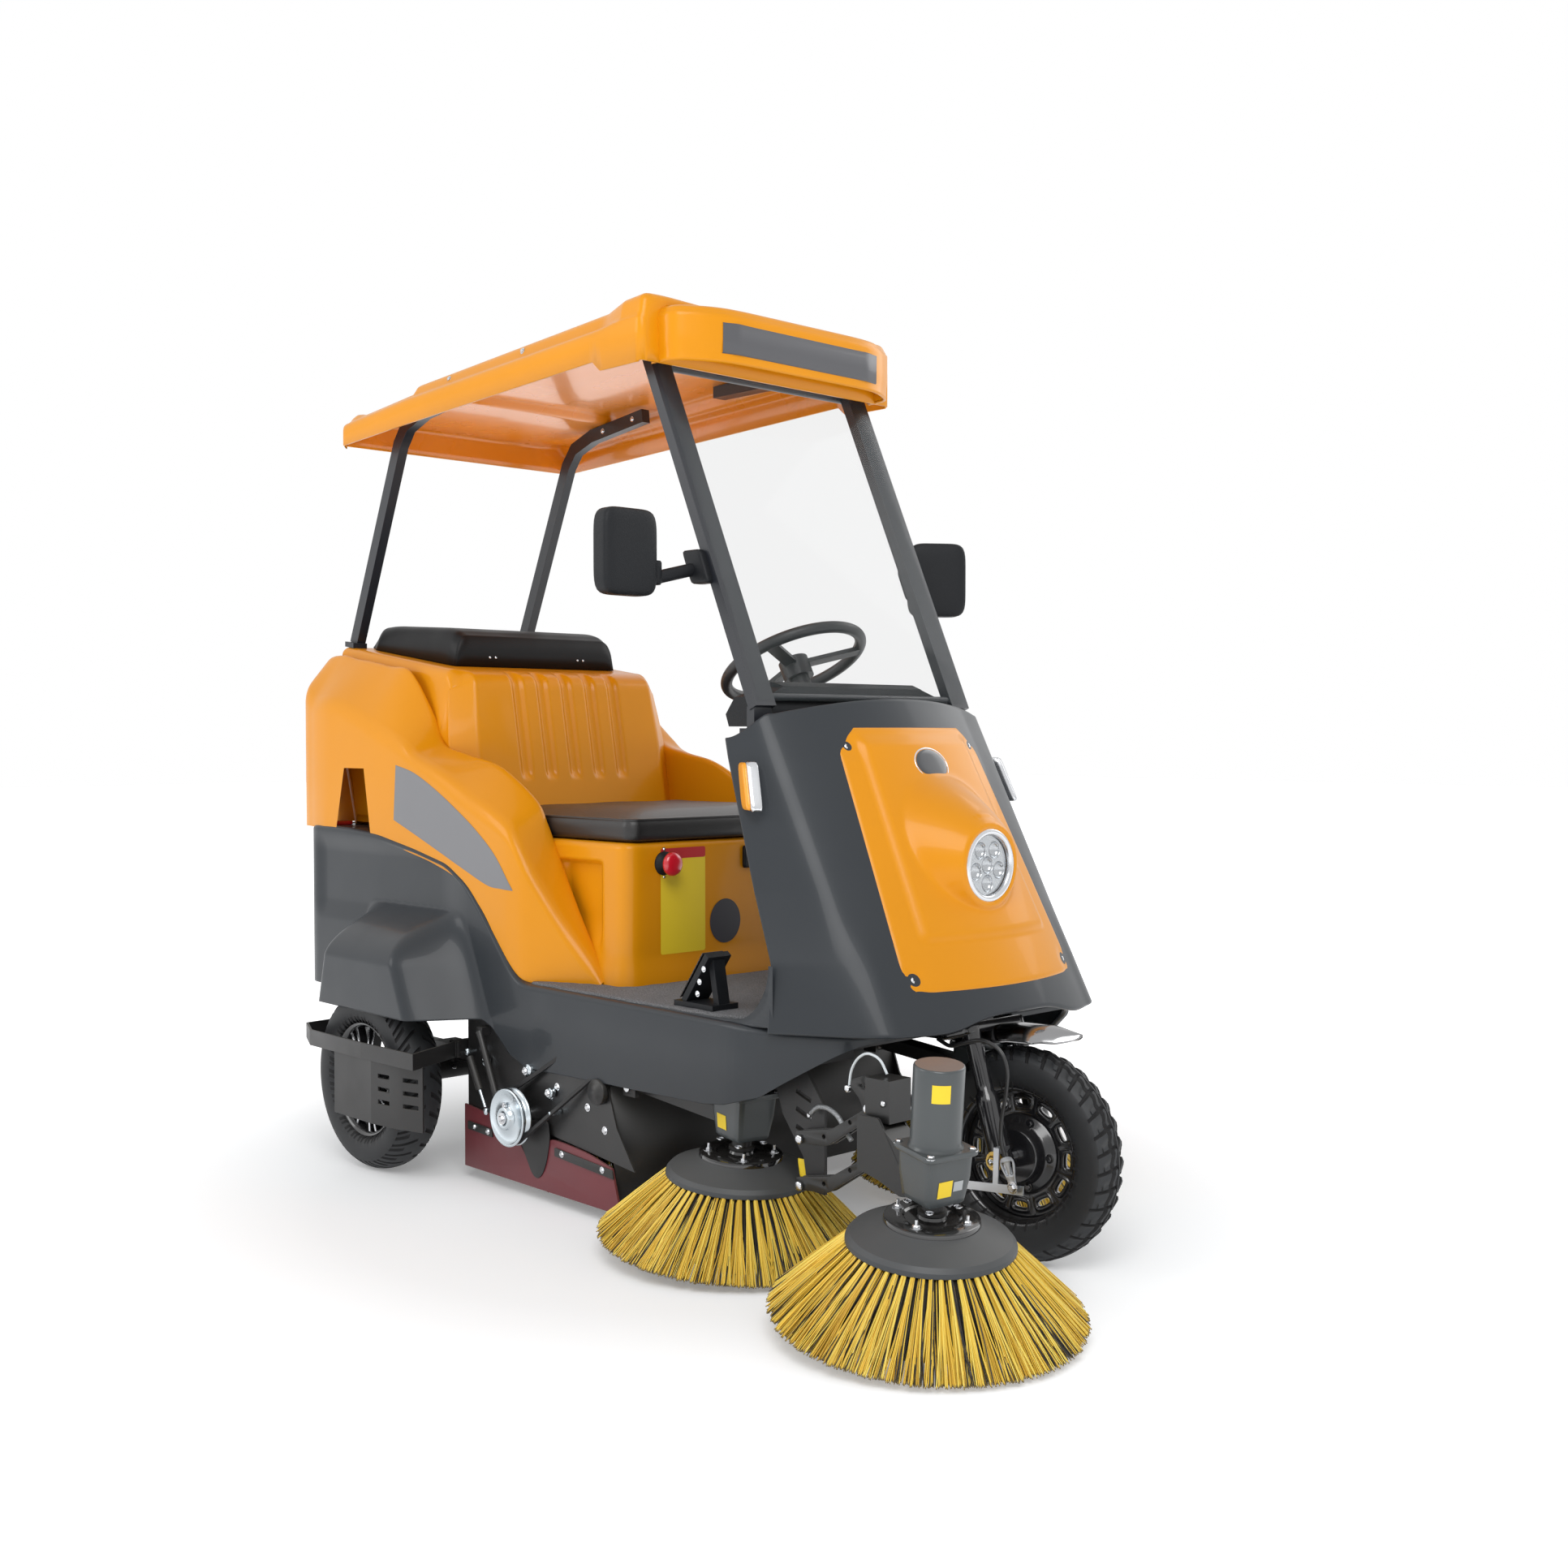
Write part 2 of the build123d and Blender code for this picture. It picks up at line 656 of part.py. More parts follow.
# floor pedal and hanging pedal
with BuildPart() as throttle_pedal:
    block(960, 1080, -420, -350, mat_top + seat_gap, mat_top + 12)
    beam((985, -385, floor_z + 20), (1058, -385, floor_z + 120), 62, 14)
    beam((1070, -385, floor_z + 16), (1052, -385, floor_z + 108), 30, 16)
keep(throttle_pedal, "throttle_pedal")
with BuildPart() as brake_pedal:
    beam((1010, -120, 560), (1030, -120, 620), 90, 12)
    beam((1024, -120, 590), (1180, -120, 525), 16, 18)
    block(1166, 1200, -150, -90, mat_top + seat_gap, 545)
keep(brake_pedal, "brake_pedal")

# ---------------------------------------------------------------- mirrors and lamps
# side, name, distance of the housing from the pillar bracket, swing of the housing
for side, name, reach, swing in ((-1, "mirror_right", 165, 0), (1, "mirror_left", 95, -35)):
    with BuildPart() as mirror:
        with BuildPart(Location((0, 0, 0), (0, 0, swing))):
            Box(50, 138, 176)
        fillet(mirror.edges().filter_by(lambda edge: edge.length < 51), 20)
    housing = Location((918, side * (345 + reach), 1414)) * mirror.part
    with BuildPart() as mirror_arm:
        rod((918, side * (345 + reach - 40), 1398), (930, side * 338, 1398), 13)
        clamp_y = sorted((side * 306, side * 346))
        side_plate([(916, 1366), (969.4, 1366), (942.6, 1426), (916, 1426)], *clamp_y)
    keep(housing + mirror_arm.part, name)

for side, name in ((-1, "tail_lamp_right"), (1, "tail_lamp_left")):
    with BuildPart() as tail_lamp:
        block(-506, -440, side * 350, side * 440, 802 + seat_gap, 816)
    keep(tail_lamp, name)

# ---------------------------------------------------------------- rear axle, springs, guards
hub_y = rear_wheel_y + 8 - seat_gap
with BuildPart() as rear_axle:
    rod((0, -478, rear_wheel_radius), (0, 478, rear_wheel_radius), 26)
    rod((0, -hub_y, rear_wheel_radius), (0, hub_y, rear_wheel_radius), 29 - seat_gap)
    rod((0, -90, rear_wheel_radius), (0, 70, rear_wheel_radius), 88)
    rod((0, 70, rear_wheel_radius), (0, 230, rear_wheel_radius), 66)
    for side in (-1, 1):
        block(-190, 190, side * 330 - 25, side * 330 + 25, 246, 262)
        block(-130, 130, side * 330 - 25, side * 330 + 25, 262, 270)
        block(-40, 40, side * 330 - 30, side * 330 + 30, 236, 280)
        for eye in (-190, 190):
            rod((eye, side * 330 - 30, 262), (eye, side * 330 + 30, 262), 15)
            beam((eye, side * 330, 262), (eye, side * 330, 396), 50, 12)
            block(eye - 14, eye + 14, side * (rail_y - 10), side * 356, 388, 400 - seat_gap)
keep(rear_axle, "rear_axle")

guard_path = [(226, 470), (300, 632), (90, 640), (-150, 640), (-250, 596), (-262, 470)]
for side, name in ((-1, "wheel_guard_right"), (1, "wheel_guard_left")):
    with BuildPart() as wheel_guard:
        with BuildSketch(Plane.XY.offset(288)):
            with BuildLine():
                Polyline(*[(x, side * y) for x, y in guard_path])
            trace(line_width=6)
        extrude(amount=38)
        with BuildSketch(Plane.XY.offset(140)):
            with BuildLine():
                Polyline(*[(x, side * y) for x, y in ((-45, 634), (125, 634), (225, 620), (292, 600))])
            trace(line_width=5)
        extrude(amount=150)
        for foot_x in (221, -262):
            block(foot_x - 18, foot_x + 18, side * (466 + seat_gap), side * 474, 288, 326)
        for slot_z in (190, 220, 250):
            block(150, 190, side * 560, side * 700, slot_z, slot_z + 10, mode=Mode.SUBTRACT)
            block(236, 280, side * 560, side * 700, slot_z, slot_z + 10, mode=Mode.SUBTRACT)
    keep(wheel_guard, name)

# ---------------------------------------------------------------- broom, skirts
plate_y = 442
box_top = 400 - seat_gap
with BuildPart() as broom_box:
    for side in (-1, 1):
        side_plate(
            [(238, 386), (238, 158), (560, 158), (860, 128), (800, 210), (770, 290), (650, box_top), (300, box_top)],
            side * plate_y - 2, side * plate_y + 2,
        )
    block(236, 240, -plate_y + 2, plate_y - 2, 158, 380)
    side_plate([(236, 376), (300, box_top), (650, box_top), (770, 290), (767, 286), (648, box_top - 5),
                (300, box_top - 5), (236, 371)],
               -plate_y + 2, plate_y - 2)
    for side in (-1, 1):
        rod((broom_x, side * 430, broom_z), (broom_x, side * 452, broom_z), 14 + seat_gap, mode=Mode.SUBTRACT)
        rod((320, side * 468, 360), (400, side * 468, 196), 8)
        block(308, 332, side * (plate_y + 2), side * 468, 352, 370)
        block(390, 410, side * (plate_y + 2), side * 468, 188, 204)
keep(broom_box, "broom_box")

for side, name in ((-1, "skirt_right"), (1, "skirt_left")):
    with BuildPart() as skirt:
        side_plate(
            [(231, 176), (231, 30), (820, 30), (790, 124), (620, 148), (560, 152), (520, 100),
             (470, 100), (420, 160)],
            side * (plate_y + 5 + seat_gap) - 3, side * (plate_y + 5 + seat_gap) + 3,
        )
    keep(skirt, name)

with BuildPart() as main_broom:
    rod((broom_x, -broom_y, broom_z), (broom_x, broom_y, broom_z), broom_radius)
    rod((broom_x, -broom_y + 12, broom_z), (broom_x, -broom_y - 1, broom_z), 120, mode=Mode.SUBTRACT)
    rod((broom_x, broom_y - 12, broom_z), (broom_x, broom_y + 1, broom_z), 120, mode=Mode.SUBTRACT)
    rod((broom_x, -506, broom_z), (broom_x, 446, broom_z), 14)
keep(main_broom, "main_broom")

with BuildPart() as broom_pulley:
    rod((broom_x, -502, broom_z), (broom_x, -478, broom_z), 65)
    rod((broom_x, -512, broom_z), (broom_x, -502, broom_z), 24)
    rod((broom_x, -512, broom_z), (broom_x, -478, broom_z), 14.2, mode=Mode.SUBTRACT)
    with BuildPart(mode=Mode.SUBTRACT):
        rod((broom_x, -496, broom_z), (broom_x, -484, broom_z), 66)
        rod((broom_x, -497, broom_z), (broom_x, -483, broom_z), 57, mode=Mode.SUBTRACT)
keep(broom_pulley, "broom_pulley")

# ---------------------------------------------------------------- rear wheels
def tyre(radius, width):
    """Tyre ring about the Y axis at the origin."""
    half = width / 2
    ring([
        (rim_radius + seat_gap, -half + 12), (rim_radius + 14, -half + 3), (radius - 40, -half), (radius - 16, -half + 5),
        (radius - 4, -half + 14), (radius, -half + 26), (radius, half - 26), (radius - 4, half - 14),
        (radius - 16, half - 5), (radius - 40, half), (rim_radius + 14, half - 3), (rim_radius + seat_gap, half - 12),
    ], Plane(origin=(0, 0, 0), x_dir=(1, 0, 0), z_dir=(0, 0, -1)))


for side, name in ((-1, "right"), (1, "left")):
    with BuildPart() as rear_tyre:
        tyre(rear_wheel_radius, rear_tyre_width)
    keep(rear_tyre, "rear_tyre_" + name, Location((0, side * rear_wheel_y, rear_wheel_radius)))
    with BuildPart() as rear_rim:
        rod((0, -42, 0), (0, 42, 0), rim_radius)
        rod((0, -43, 0), (0, 43, 0), rim_radius - 14, mode=Mode.SUBTRACT)
        rod((0, -36, 0), (0, 36, 0), 44)
        for index in range(9):
            with BuildPart(Rotation(0, 40 * index, 0)):
                block(36, rim_radius - 10, side * 10, side * 34, 6, 15)
                block(36, rim_radius - 10, side * 10, side * 34, -15, -6)
        rod((0, -side * 37, 0), (0, side * 8, 0), 29, mode=Mode.SUBTRACT)
    keep(rear_rim, "rear_rim_" + name, Location((0, side * rear_wheel_y, rear_wheel_radius)))

# ---------------------------------------------------------------- front wheel and fork
# The steering axis is upright in the plane the fork is built on; the wheel spins on Y.
straight = Location(tuple(straight_centre))
with BuildPart() as front_tyre:
    tyre(front_wheel_radius, front_tyre_width)
keep((straight * front_tyre.part).rotate(steer_axis, steer_rest), "front_tyre")

with BuildPart() as front_rim:
    rod((0, -36, 0), (0, 36, 0), rim_radius)
    rod((0, -37, 0), (0, 37, 0), rim_radius - 12, mode=Mode.SUBTRACT)
    rod((0, -2, 0), (0, 4, 0), rim_radius - 8)
    rod((0, -40, 0), (0, 40, 0), 52)
    rod((0, -44, 0), (0, 44, 0), 14, mode=Mode.SUBTRACT)
    for index in range(12):
        angle = math.radians(30 * index)
        with Locations(Location((102 * math.cos(angle), 0, 102 * math.sin(angle)), (0, -30 * index, 0))):
            Box(16, 20, 34, mode=Mode.SUBTRACT)
keep((straight * front_rim.part).rotate(steer_axis, steer_rest), "front_rim")

fork_y = 84
leaf_clear = 45
leaf_half = 54
with BuildPart() as fork:
    for side in (-1, 1):
        lower = tuple(straight_centre + Vector(0, side * fork_y, 0))
        middle = tuple(Vector(*lower) + steer_up * 130)
        upper = tuple(Vector(*lower) + steer_up * 262)
        rod(lower, middle, 24)
        rod(middle, upper, 17)
        rod((lower[0], side * 60, lower[2]), (lower[0], side * 108, lower[2]), 16)
    rod((straight_centre.X, -70, straight_centre.Z), (straight_centre.X, 70, straight_centre.Z), 14 - seat_gap)
    crown = steer_point + steer_up * 262
    with BuildSketch(Plane(origin=tuple(crown - steer_up * 14), x_dir=(0, 1, 0), z_dir=tuple(steer_up))):
        with Locations((0, -14)):
            Rectangle(2 * fork_y + 44, 84)
    extrude(amount=22)
    rod(tuple(crown), tuple(steer_point + steer_up * 405), 17)
    # mudguard leaf over the tyre, held by the crown
    leaf_x = straight_centre.X
    leaf_z = straight_centre.Z + front_wheel_radius + leaf_clear
    with BuildPart(mode=Mode.PRIVATE) as leaf:
        side_plate(
            [
                (leaf_x - 100, leaf_z - 14), (leaf_x - 12, leaf_z), (leaf_x + 58, leaf_z + 1), (leaf_x + 124, leaf_z - 9),
                (leaf_x + 124, leaf_z - 6), (leaf_x + 58, leaf_z + 5), (leaf_x - 12, leaf_z + 4), (leaf_x - 100, leaf_z - 10),
            ],
            -leaf_half, leaf_half,
        )
        for side in (-1, 1):
            flat_plate(
                [
                    (leaf_x + 50, side * (leaf_half + 1)), (leaf_x + 125, side * 8), (leaf_x + 125, side * (leaf_half + 9)),
                    (leaf_x + 50, side * (leaf_half + 9)),
                ],
                leaf_z - 60, leaf_z + 60, mode=Mode.SUBTRACT,
            )
    add(leaf.part)
    rod(tuple(straight_centre + steer_up * 232), tuple(straight_centre + steer_up * 252), 20)
keep(fork.part.rotate(steer_axis, steer_rest), "fork")

# brake lever beside the right leg, with the socket its cable ends in
lever_y = -fork_y - 38
cable_radius = 4
cable_end = straight_centre + Vector(35, lever_y - 1, 5)
cable_last = Vector(14, 1, -40).normalized()
with BuildPart() as brake_lever:
    foot = straight_centre
    side_plate(
        [
            (foot.X - 137, foot.Z - 70), (foot.X - 60, foot.Z - 60), (foot.X + 74, foot.Z - 52),
            (foot.X + 74, foot.Z - 34), (foot.X - 60, foot.Z - 44), (foot.X - 137, foot.Z - 58),
        ],
        lever_y - 2, lever_y + 2,
    )
    block(foot.X + 6, foot.X + 18, lever_y - 2, lever_y + 2, foot.Z - 50, foot.Z + 30)
    block(foot.X + 6, foot.X + 18, lever_y + 2, -fork_y, foot.Z + 18, foot.Z + 30)
    rod(
        tuple(foot + Vector(0, -fork_y, 0) - steer_up * 20), tuple(foot + Vector(0, -fork_y, 0) + steer_up * 60), 24 + seat_gap,
        mode=Mode.SUBTRACT,
    )
    rod(tuple(cable_end + cable_last * 0.2), tuple(cable_end + cable_last * 42), 7)
keep(brake_lever.part.rotate(steer_axis, steer_rest), "brake_lever")

# brake cable from the crown's side down to the lever
cable_start = Vector(straight_centre.X - 138, -fork_y - 26, straight_centre.Z + 222)
cable_turns = [
    (-100, -40, 212), (-69, -47, 223), (-19, -53, 238), (25, -54, 223), (41, -52, 185), (36, -48, 139), (24, -43, 94),
    (21, -40, 45),
]
cable_path = [tuple(cable_start)]
cable_path += [(straight_centre.X + x, y - fork_y, straight_centre.Z + z) for x, y, z in cable_turns]
cable_path += [tuple(cable_end)]
cable_radii = []
cable_length = 0
for index in range(1, len(cable_path) - 1):
    before = Vector(*cable_path[index]) - Vector(*cable_path[index - 1])
    after = Vector(*cable_path[index + 1]) - Vector(*cable_path[index])
    half_turn = math.radians(before.get_angle(after) / 2)
    cable_radii.append(0.45 * min(before.length, after.length) / math.tan(half_turn))
print("brake cable radii", [round(radius) for radius in cable_radii])
with BuildPart() as brake_cable:
    with BuildLine() as route:
        FilletPolyline(*cable_path, radius=cable_radii)
    with BuildSketch(Plane(origin=cable_path[0], z_dir=Vector(*cable_path[1]) - Vector(*cable_path[0]))):
        Circle(cable_radius)
    sweep()
cable_length = route.line.length if hasattr(route.line, "length") else sum(edge.length for edge in route.edges())
print("brake cable", round(cable_length), "volume ratio", round(brake_cable.part.volume / (math.pi * cable_radius ** 2 * cable_length), 4))
keep(brake_cable.part.rotate(steer_axis, steer_rest), "brake_cable")

# ---------------------------------------------------------------- steering wheel
with BuildPart() as steering_wheel:
    with Locations((0, 0, 0)):
        Torus(steering_wheel_radius - 13, 13)
    rod((0, 0, -40), (0, 0, 6), 34)
    for index in range(3):
        with BuildPart(Rotation(0, 0, 120 * index + 60)):
            block(20, steering_wheel_radius - 16, -14, 14, -12, -2)
    rod((0, 0, -110), (0, 0, -30), 22)
keep(steering_wheel, "steering_wheel", wheel_place)

# ---------------------------------------------------------------- rotating brushes
def brush_disc():
    """Black disc that holds the bristles, its rim at height zero."""
    ring([(0, 40), (84, 40), (84, 30), (disc_radius - 8, 8), (disc_radius, 0), (disc_radius, -8),
          (70, 12), (0, 12)])


def bristle_cone():
    """Cone of bristles that hangs below the disc."""
    ring([(disc_radius - 32, -seat_gap), (disc_radius - 2, -7.5 - seat_gap), (bristle_radius, -disc_rise),
          (bristle_radius - 30, -disc_rise - 2), (disc_radius - 40, -16)])


def brush_drive(height):
    """Gearbox and motor above the disc."""
    block(-42, 42, -42, 42, 66, 66 + 100)
    rod((0, 0, 40 + seat_gap), (0, 0, 66), 20)
    with Locations((0, 0, 66 + 100)):
        Cylinder(46, height, align=(Align.CENTER, Align.CENTER, Align.MIN))


tilt_total = math.atan(math.hypot(math.tan(math.radians(front_tilt_x)), math.tan(math.radians(front_tilt_y))))
front_tip_z = brush_clear + 2 + bristle_radius * math.sin(tilt_total)
front_brush_place = (
    Location((front_brush_x, front_brush_y, front_tip_z), (front_tilt_y, front_tilt_x, 0))
    * Location((0, 0, disc_rise))
)
with BuildPart() as front_brush_disc:
    brush_disc()
keep(front_brush_disc, "front_brush_disc", front_brush_place)
with BuildPart() as front_brush_bristles:
    bristle_cone()
keep(front_brush_bristles, "front_brush_bristles", front_brush_place)

for side, name in ((-1, "right"), (1, "left")):
    mid_place = Location((mid_brush_x, side * mid_brush_y, mid_tip_z), (0, mid_tilt, 0)) * Location((0, 0, disc_rise))
    with BuildPart() as mid_disc:
        brush_disc()
    keep(mid_disc, "mid_brush_disc_" + name, mid_place)
    with BuildPart() as mid_bristles:
        bristle_cone()
    keep(mid_bristles, "mid_brush_bristles_" + name, mid_place)
    with BuildPart() as mid_drive:
        brush_drive(70)
        beam((-30, 0, mid_rise), (-mid_reach, 0, mid_rise), 50, 30)
        rod((-mid_reach, -53, mid_rise), (-mid_reach, 53, mid_rise), 14)
    keep(mid_drive, "mid_brush_drive_" + name, mid_place)

# ---------------------------------------------------------------- front brush arm
def link(start, end, y0, y1):
    """Dog-leg link plate between two pivots."""
    mid = ((start[0] + end[0]) / 2 - 8, (start[1] + end[1]) / 2 - 26)
    side_plate(
        [
            (start[0] - 8, start[1] - 9), (mid[0] - 8, mid[1] - 16), (end[0] + 12, end[1] - 14),
            (end[0] + 14, end[1] + 12), (mid[0] + 4, mid[1] + 16), (start[0] - 12, start[1] + 14),
        ],
        y0, y1,
    )


for drop, name in ((0, "brush_arm_upper"), (arm_drop, "brush_arm_lower")):
    with BuildPart() as arm:
        start = (arm_rear[0], arm_rear[1] - drop)
        end = (arm_front[0], arm_front[1] - drop)
        link(start, end, arm_y - 6, arm_y)
        link(start, end, arm_y + 12, arm_y + 18)
        middle = ((start[0] + end[0]) / 2 - 8, (start[1] + end[1]) / 2 - 26)
        rod((middle[0], arm_y, middle[1]), (middle[0], arm_y + 12, middle[1]), 8)
        for pivot in (start, end):
            rod((pivot[0], arm_y - 8, pivot[1]), (pivot[0], arm_y + 19, pivot[1]), pivot_radius + seat_gap,
                mode=Mode.SUBTRACT)
    keep(arm, name)

with BuildPart() as brush_carrier:
    side_plate(
        [
            (arm_front[0] - 12, arm_front[1] - arm_drop - 20), (arm_front[0] + 30, arm_front[1] - arm_drop - 26),
            (1600, 250), (1600, 300), (arm_front[0] + 30, arm_front[1] + 60), (arm_front[0] - 30, arm_front[1] + 70),
            (arm_front[0] - 40, arm_front[1] + 56), (arm_front[0] - 12, arm_front[1] + 16),
        ],
        arm_y + 22, arm_y + 28,
    )
    for pivot_z in (arm_front[1], arm_front[1] - arm_drop):
        rod((arm_front[0], arm_y - 10, pivot_z), (arm_front[0], arm_y + 24, pivot_z), pivot_radius)
    block(1560, 1700, -480, arm_y + 28, 262, 300)
with BuildPart() as brush_motor:
    brush_drive(146)
brush_carrier_solid = brush_carrier.part + (front_brush_place * brush_motor.part)
keep(brush_carrier_solid, "brush_carrier")

# ---------------------------------------------------------------- output
origin_x = (front_brush_x + bristle_radius * math.cos(math.radians(front_tilt_x)) - 586) / 2
origin_y = (mid_brush_y + bristle_radius + front_brush_y - bristle_radius) / 2
for name, solid in pieces:
    moved = Pos(-origin_x, -origin_y, 0) * solid
    moved.label = name
    export_step(moved, "parts/" + name + ".step")
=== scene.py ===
import json
import math

import bmesh
import bpy
import numpy as np
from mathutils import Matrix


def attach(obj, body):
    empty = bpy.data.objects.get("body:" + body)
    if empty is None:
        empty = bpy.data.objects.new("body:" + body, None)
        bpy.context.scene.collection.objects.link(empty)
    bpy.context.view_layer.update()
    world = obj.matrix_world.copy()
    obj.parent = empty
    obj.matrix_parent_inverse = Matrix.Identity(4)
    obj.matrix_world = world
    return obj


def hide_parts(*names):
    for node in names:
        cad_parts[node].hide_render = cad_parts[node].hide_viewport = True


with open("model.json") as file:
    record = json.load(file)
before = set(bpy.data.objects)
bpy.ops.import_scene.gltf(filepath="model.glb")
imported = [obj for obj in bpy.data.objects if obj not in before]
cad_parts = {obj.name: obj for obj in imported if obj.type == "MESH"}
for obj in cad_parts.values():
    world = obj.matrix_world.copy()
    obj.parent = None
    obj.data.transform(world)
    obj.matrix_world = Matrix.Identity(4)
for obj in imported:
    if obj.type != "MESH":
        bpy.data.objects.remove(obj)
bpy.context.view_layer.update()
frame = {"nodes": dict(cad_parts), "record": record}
body_of_node = {node: body for body, nodes in frame["record"]["behaviour"]["bodies"].items() for node in nodes}

# ---------------------------------------------------------------- camera, floor and light
# The sweeper stands on a plain pale studio floor under a soft even sky, seen from its front right
# corner at chest height.
# Sizes below are in millimetres from the rear axle line on the ground; ORIGIN is where the
# model's own origin lies in those terms.
ORIGIN = np.array((689.226, -41.0, 0.0))


def metres(points):
    """Millimetres from the rear axle, turned into the model's own metres."""
    return (np.asarray(points, dtype=float) - ORIGIN) / 1000.0


eye = bpy.data.cameras.new("eye")
eye.lens = 39.37
eye.sensor_width = 36.0
eye_object = bpy.data.objects.new("eye", eye)
eye_object.location = metres((3652, -2682, 1050))
eye_object.rotation_euler = (math.radians(90 - 1.73), 0, math.radians(46.27))
bpy.context.scene.collection.objects.link(eye_object)
bpy.context.scene.camera = eye_object
bpy.context.scene.view_settings.view_transform = "Standard"

floor_mesh = bpy.data.meshes.new("studio_floor")
floor_mesh.from_pydata([(-30, -30, 0), (30, -30, 0), (30, 30, 0), (-30, 30, 0)], [], [(0, 1, 2, 3)])
studio_floor = bpy.data.objects.new("studio_floor", floor_mesh)
bpy.context.scene.collection.objects.link(studio_floor)
floor_paint = bpy.data.materials.new("floor_paint")
floor_paint.use_nodes = True
floor_shader = floor_paint.node_tree.nodes["Principled BSDF"]
floor_shader.inputs["Base Color"].default_value = (0.86, 0.86, 0.86, 1)
floor_shader.inputs["Roughness"].default_value = 0.7
# the floor brightens away from the machine, like a lit studio sweep
floor_place = floor_paint.node_tree.nodes.new("ShaderNodeTexCoord")
floor_reach = floor_paint.node_tree.nodes.new("ShaderNodeVectorMath")
floor_reach.operation = "LENGTH"
floor_fade = floor_paint.node_tree.nodes.new("ShaderNodeMapRange")
floor_fade.inputs["From Min"].default_value = 0.9
floor_fade.inputs["From Max"].default_value = 2.6
floor_fade.inputs["To Min"].default_value = 0.22
floor_fade.inputs["To Max"].default_value = 0.8
floor_paint.node_tree.links.new(floor_place.outputs["Object"], floor_reach.inputs[0])
floor_paint.node_tree.links.new(floor_reach.outputs["Value"], floor_fade.inputs["Value"])
floor_paint.node_tree.links.new(floor_fade.outputs["Result"], floor_shader.inputs["Emission Strength"])
floor_shader.inputs["Emission Color"].default_value = (1, 1, 1, 1)
floor_mesh.materials.append(floor_paint)

sky = bpy.data.worlds.new("sky")
bpy.context.scene.world = sky
sky.use_nodes = True
sky_nodes = sky.node_tree
sky_light = sky_nodes.nodes["Background"]
sky_light.inputs["Color"].default_value = (0.94, 0.97, 1.0, 1)
sky_light.inputs["Strength"].default_value = 0.5
sky_white = sky_nodes.nodes.new("ShaderNodeBackground")
sky_white.inputs["Color"].default_value = (1, 1, 1, 1)
sky_white.inputs["Strength"].default_value = 1.0
sky_rays = sky_nodes.nodes.new("ShaderNodeLightPath")
sky_mix = sky_nodes.nodes.new("ShaderNodeMixShader")
seen = sky_rays.outputs["Is Camera Ray"]
for ray in ("Is Glossy Ray", "Is Transmission Ray"):
    either = sky_nodes.nodes.new("ShaderNodeMath")
    either.operation = "MAXIMUM"
    sky_nodes.links.new(seen, either.inputs[0])
    sky_nodes.links.new(sky_rays.outputs[ray], either.inputs[1])
    seen = either.outputs[0]
sky_nodes.links.new(seen, sky_mix.inputs[0])
sky_nodes.links.new(sky_light.outputs[0], sky_mix.inputs[1])
sky_nodes.links.new(sky_white.outputs[0], sky_mix.inputs[2])
sky_nodes.links.new(sky_mix.outputs[0], sky_nodes.nodes["World Output"].inputs[0])

for lamp_name, place, aim, size, power in (
    ("key_lamp", (3.4, -3.0, 4.6), (0.2, 0, 0.8), 3.0, 150),
    ("side_lamp", (-2.6, -4.6, 3.2), (0, 0, 0.8), 2.6, 66),
    ("far_lamp", (1.0, 4.6, 3.6), (0, 0, 0.8), 3.0, 56),
):
    lamp = bpy.data.lights.new(lamp_name, "AREA")
    lamp.size = size
    lamp.energy = power
    lamp_object = bpy.data.objects.new(lamp_name, lamp)
    lamp_object.location = place
    run = np.array(aim) - np.array(place)
    lamp_object.rotation_euler = (
        math.acos(-run[2] / np.linalg.norm(run)), 0, math.atan2(run[1], run[0]) - math.pi / 2)
    bpy.context.scene.collection.objects.link(lamp_object)

# ---------------------------------------------------------------- orange rear housing
# Glass-fibre moulding in orange gelcoat: flanks that fall into armrests, the hood over the bin with
# ribs pressed into the backrest, and the seat box. It is bonded to the grey lower body.


def sheet(name, points, material, body, thickness=0.0, wrap=False, flip=False, cut=None):
    """Surface through a grid of points, rows by columns by xyz; wrap joins the last column to the first.

    cut marks the faces that are left open."""
    rows, columns = points.shape[:2]
    mesh = bpy.data.meshes.new(name)
    row, column = np.meshgrid(np.arange(rows - 1), np.arange(columns if wrap else columns - 1), indexing="ij")
    after = (column + 1) % columns
    faces = np.stack([row * columns + column, row * columns + after,
                      (row + 1) * columns + after, (row + 1) * columns + column], axis=-1).reshape(-1, 4)
    if cut is not None:
        faces = faces[~cut.ravel()]
    if flip:
        faces = faces[:, ::-1]
    mesh.vertices.add(rows * columns)
    mesh.vertices.foreach_set("co", metres(points.reshape(-1, 3)).astype(np.float32).ravel())
    mesh.loops.add(faces.size)
    mesh.loops.foreach_set("vertex_index", faces.ravel().astype(np.int32))
    mesh.polygons.add(len(faces))
    mesh.polygons.foreach_set("loop_start", np.arange(0, faces.size, 4, dtype=np.int32))
    mesh.polygons.foreach_set("loop_total", np.full(len(faces), 4, dtype=np.int32))
    mesh.update(calc_edges=True)
    mesh.validate()
    merge = bmesh.new()
    merge.from_mesh(mesh)
    bmesh.ops.remove_doubles(merge, verts=merge.verts, dist=2e-5)
    merge.to_mesh(mesh)
    merge.free()
    mesh.shade_smooth()
    piece = bpy.data.objects.new(name, mesh)
    bpy.context.scene.collection.objects.link(piece)
    mesh.materials.append(material)
    if thickness:
        wall = piece.modifiers.new("wall", "SOLIDIFY")
        wall.thickness = thickness / 1000.0
        wall.offset = -1
    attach(piece, body)
    return piece


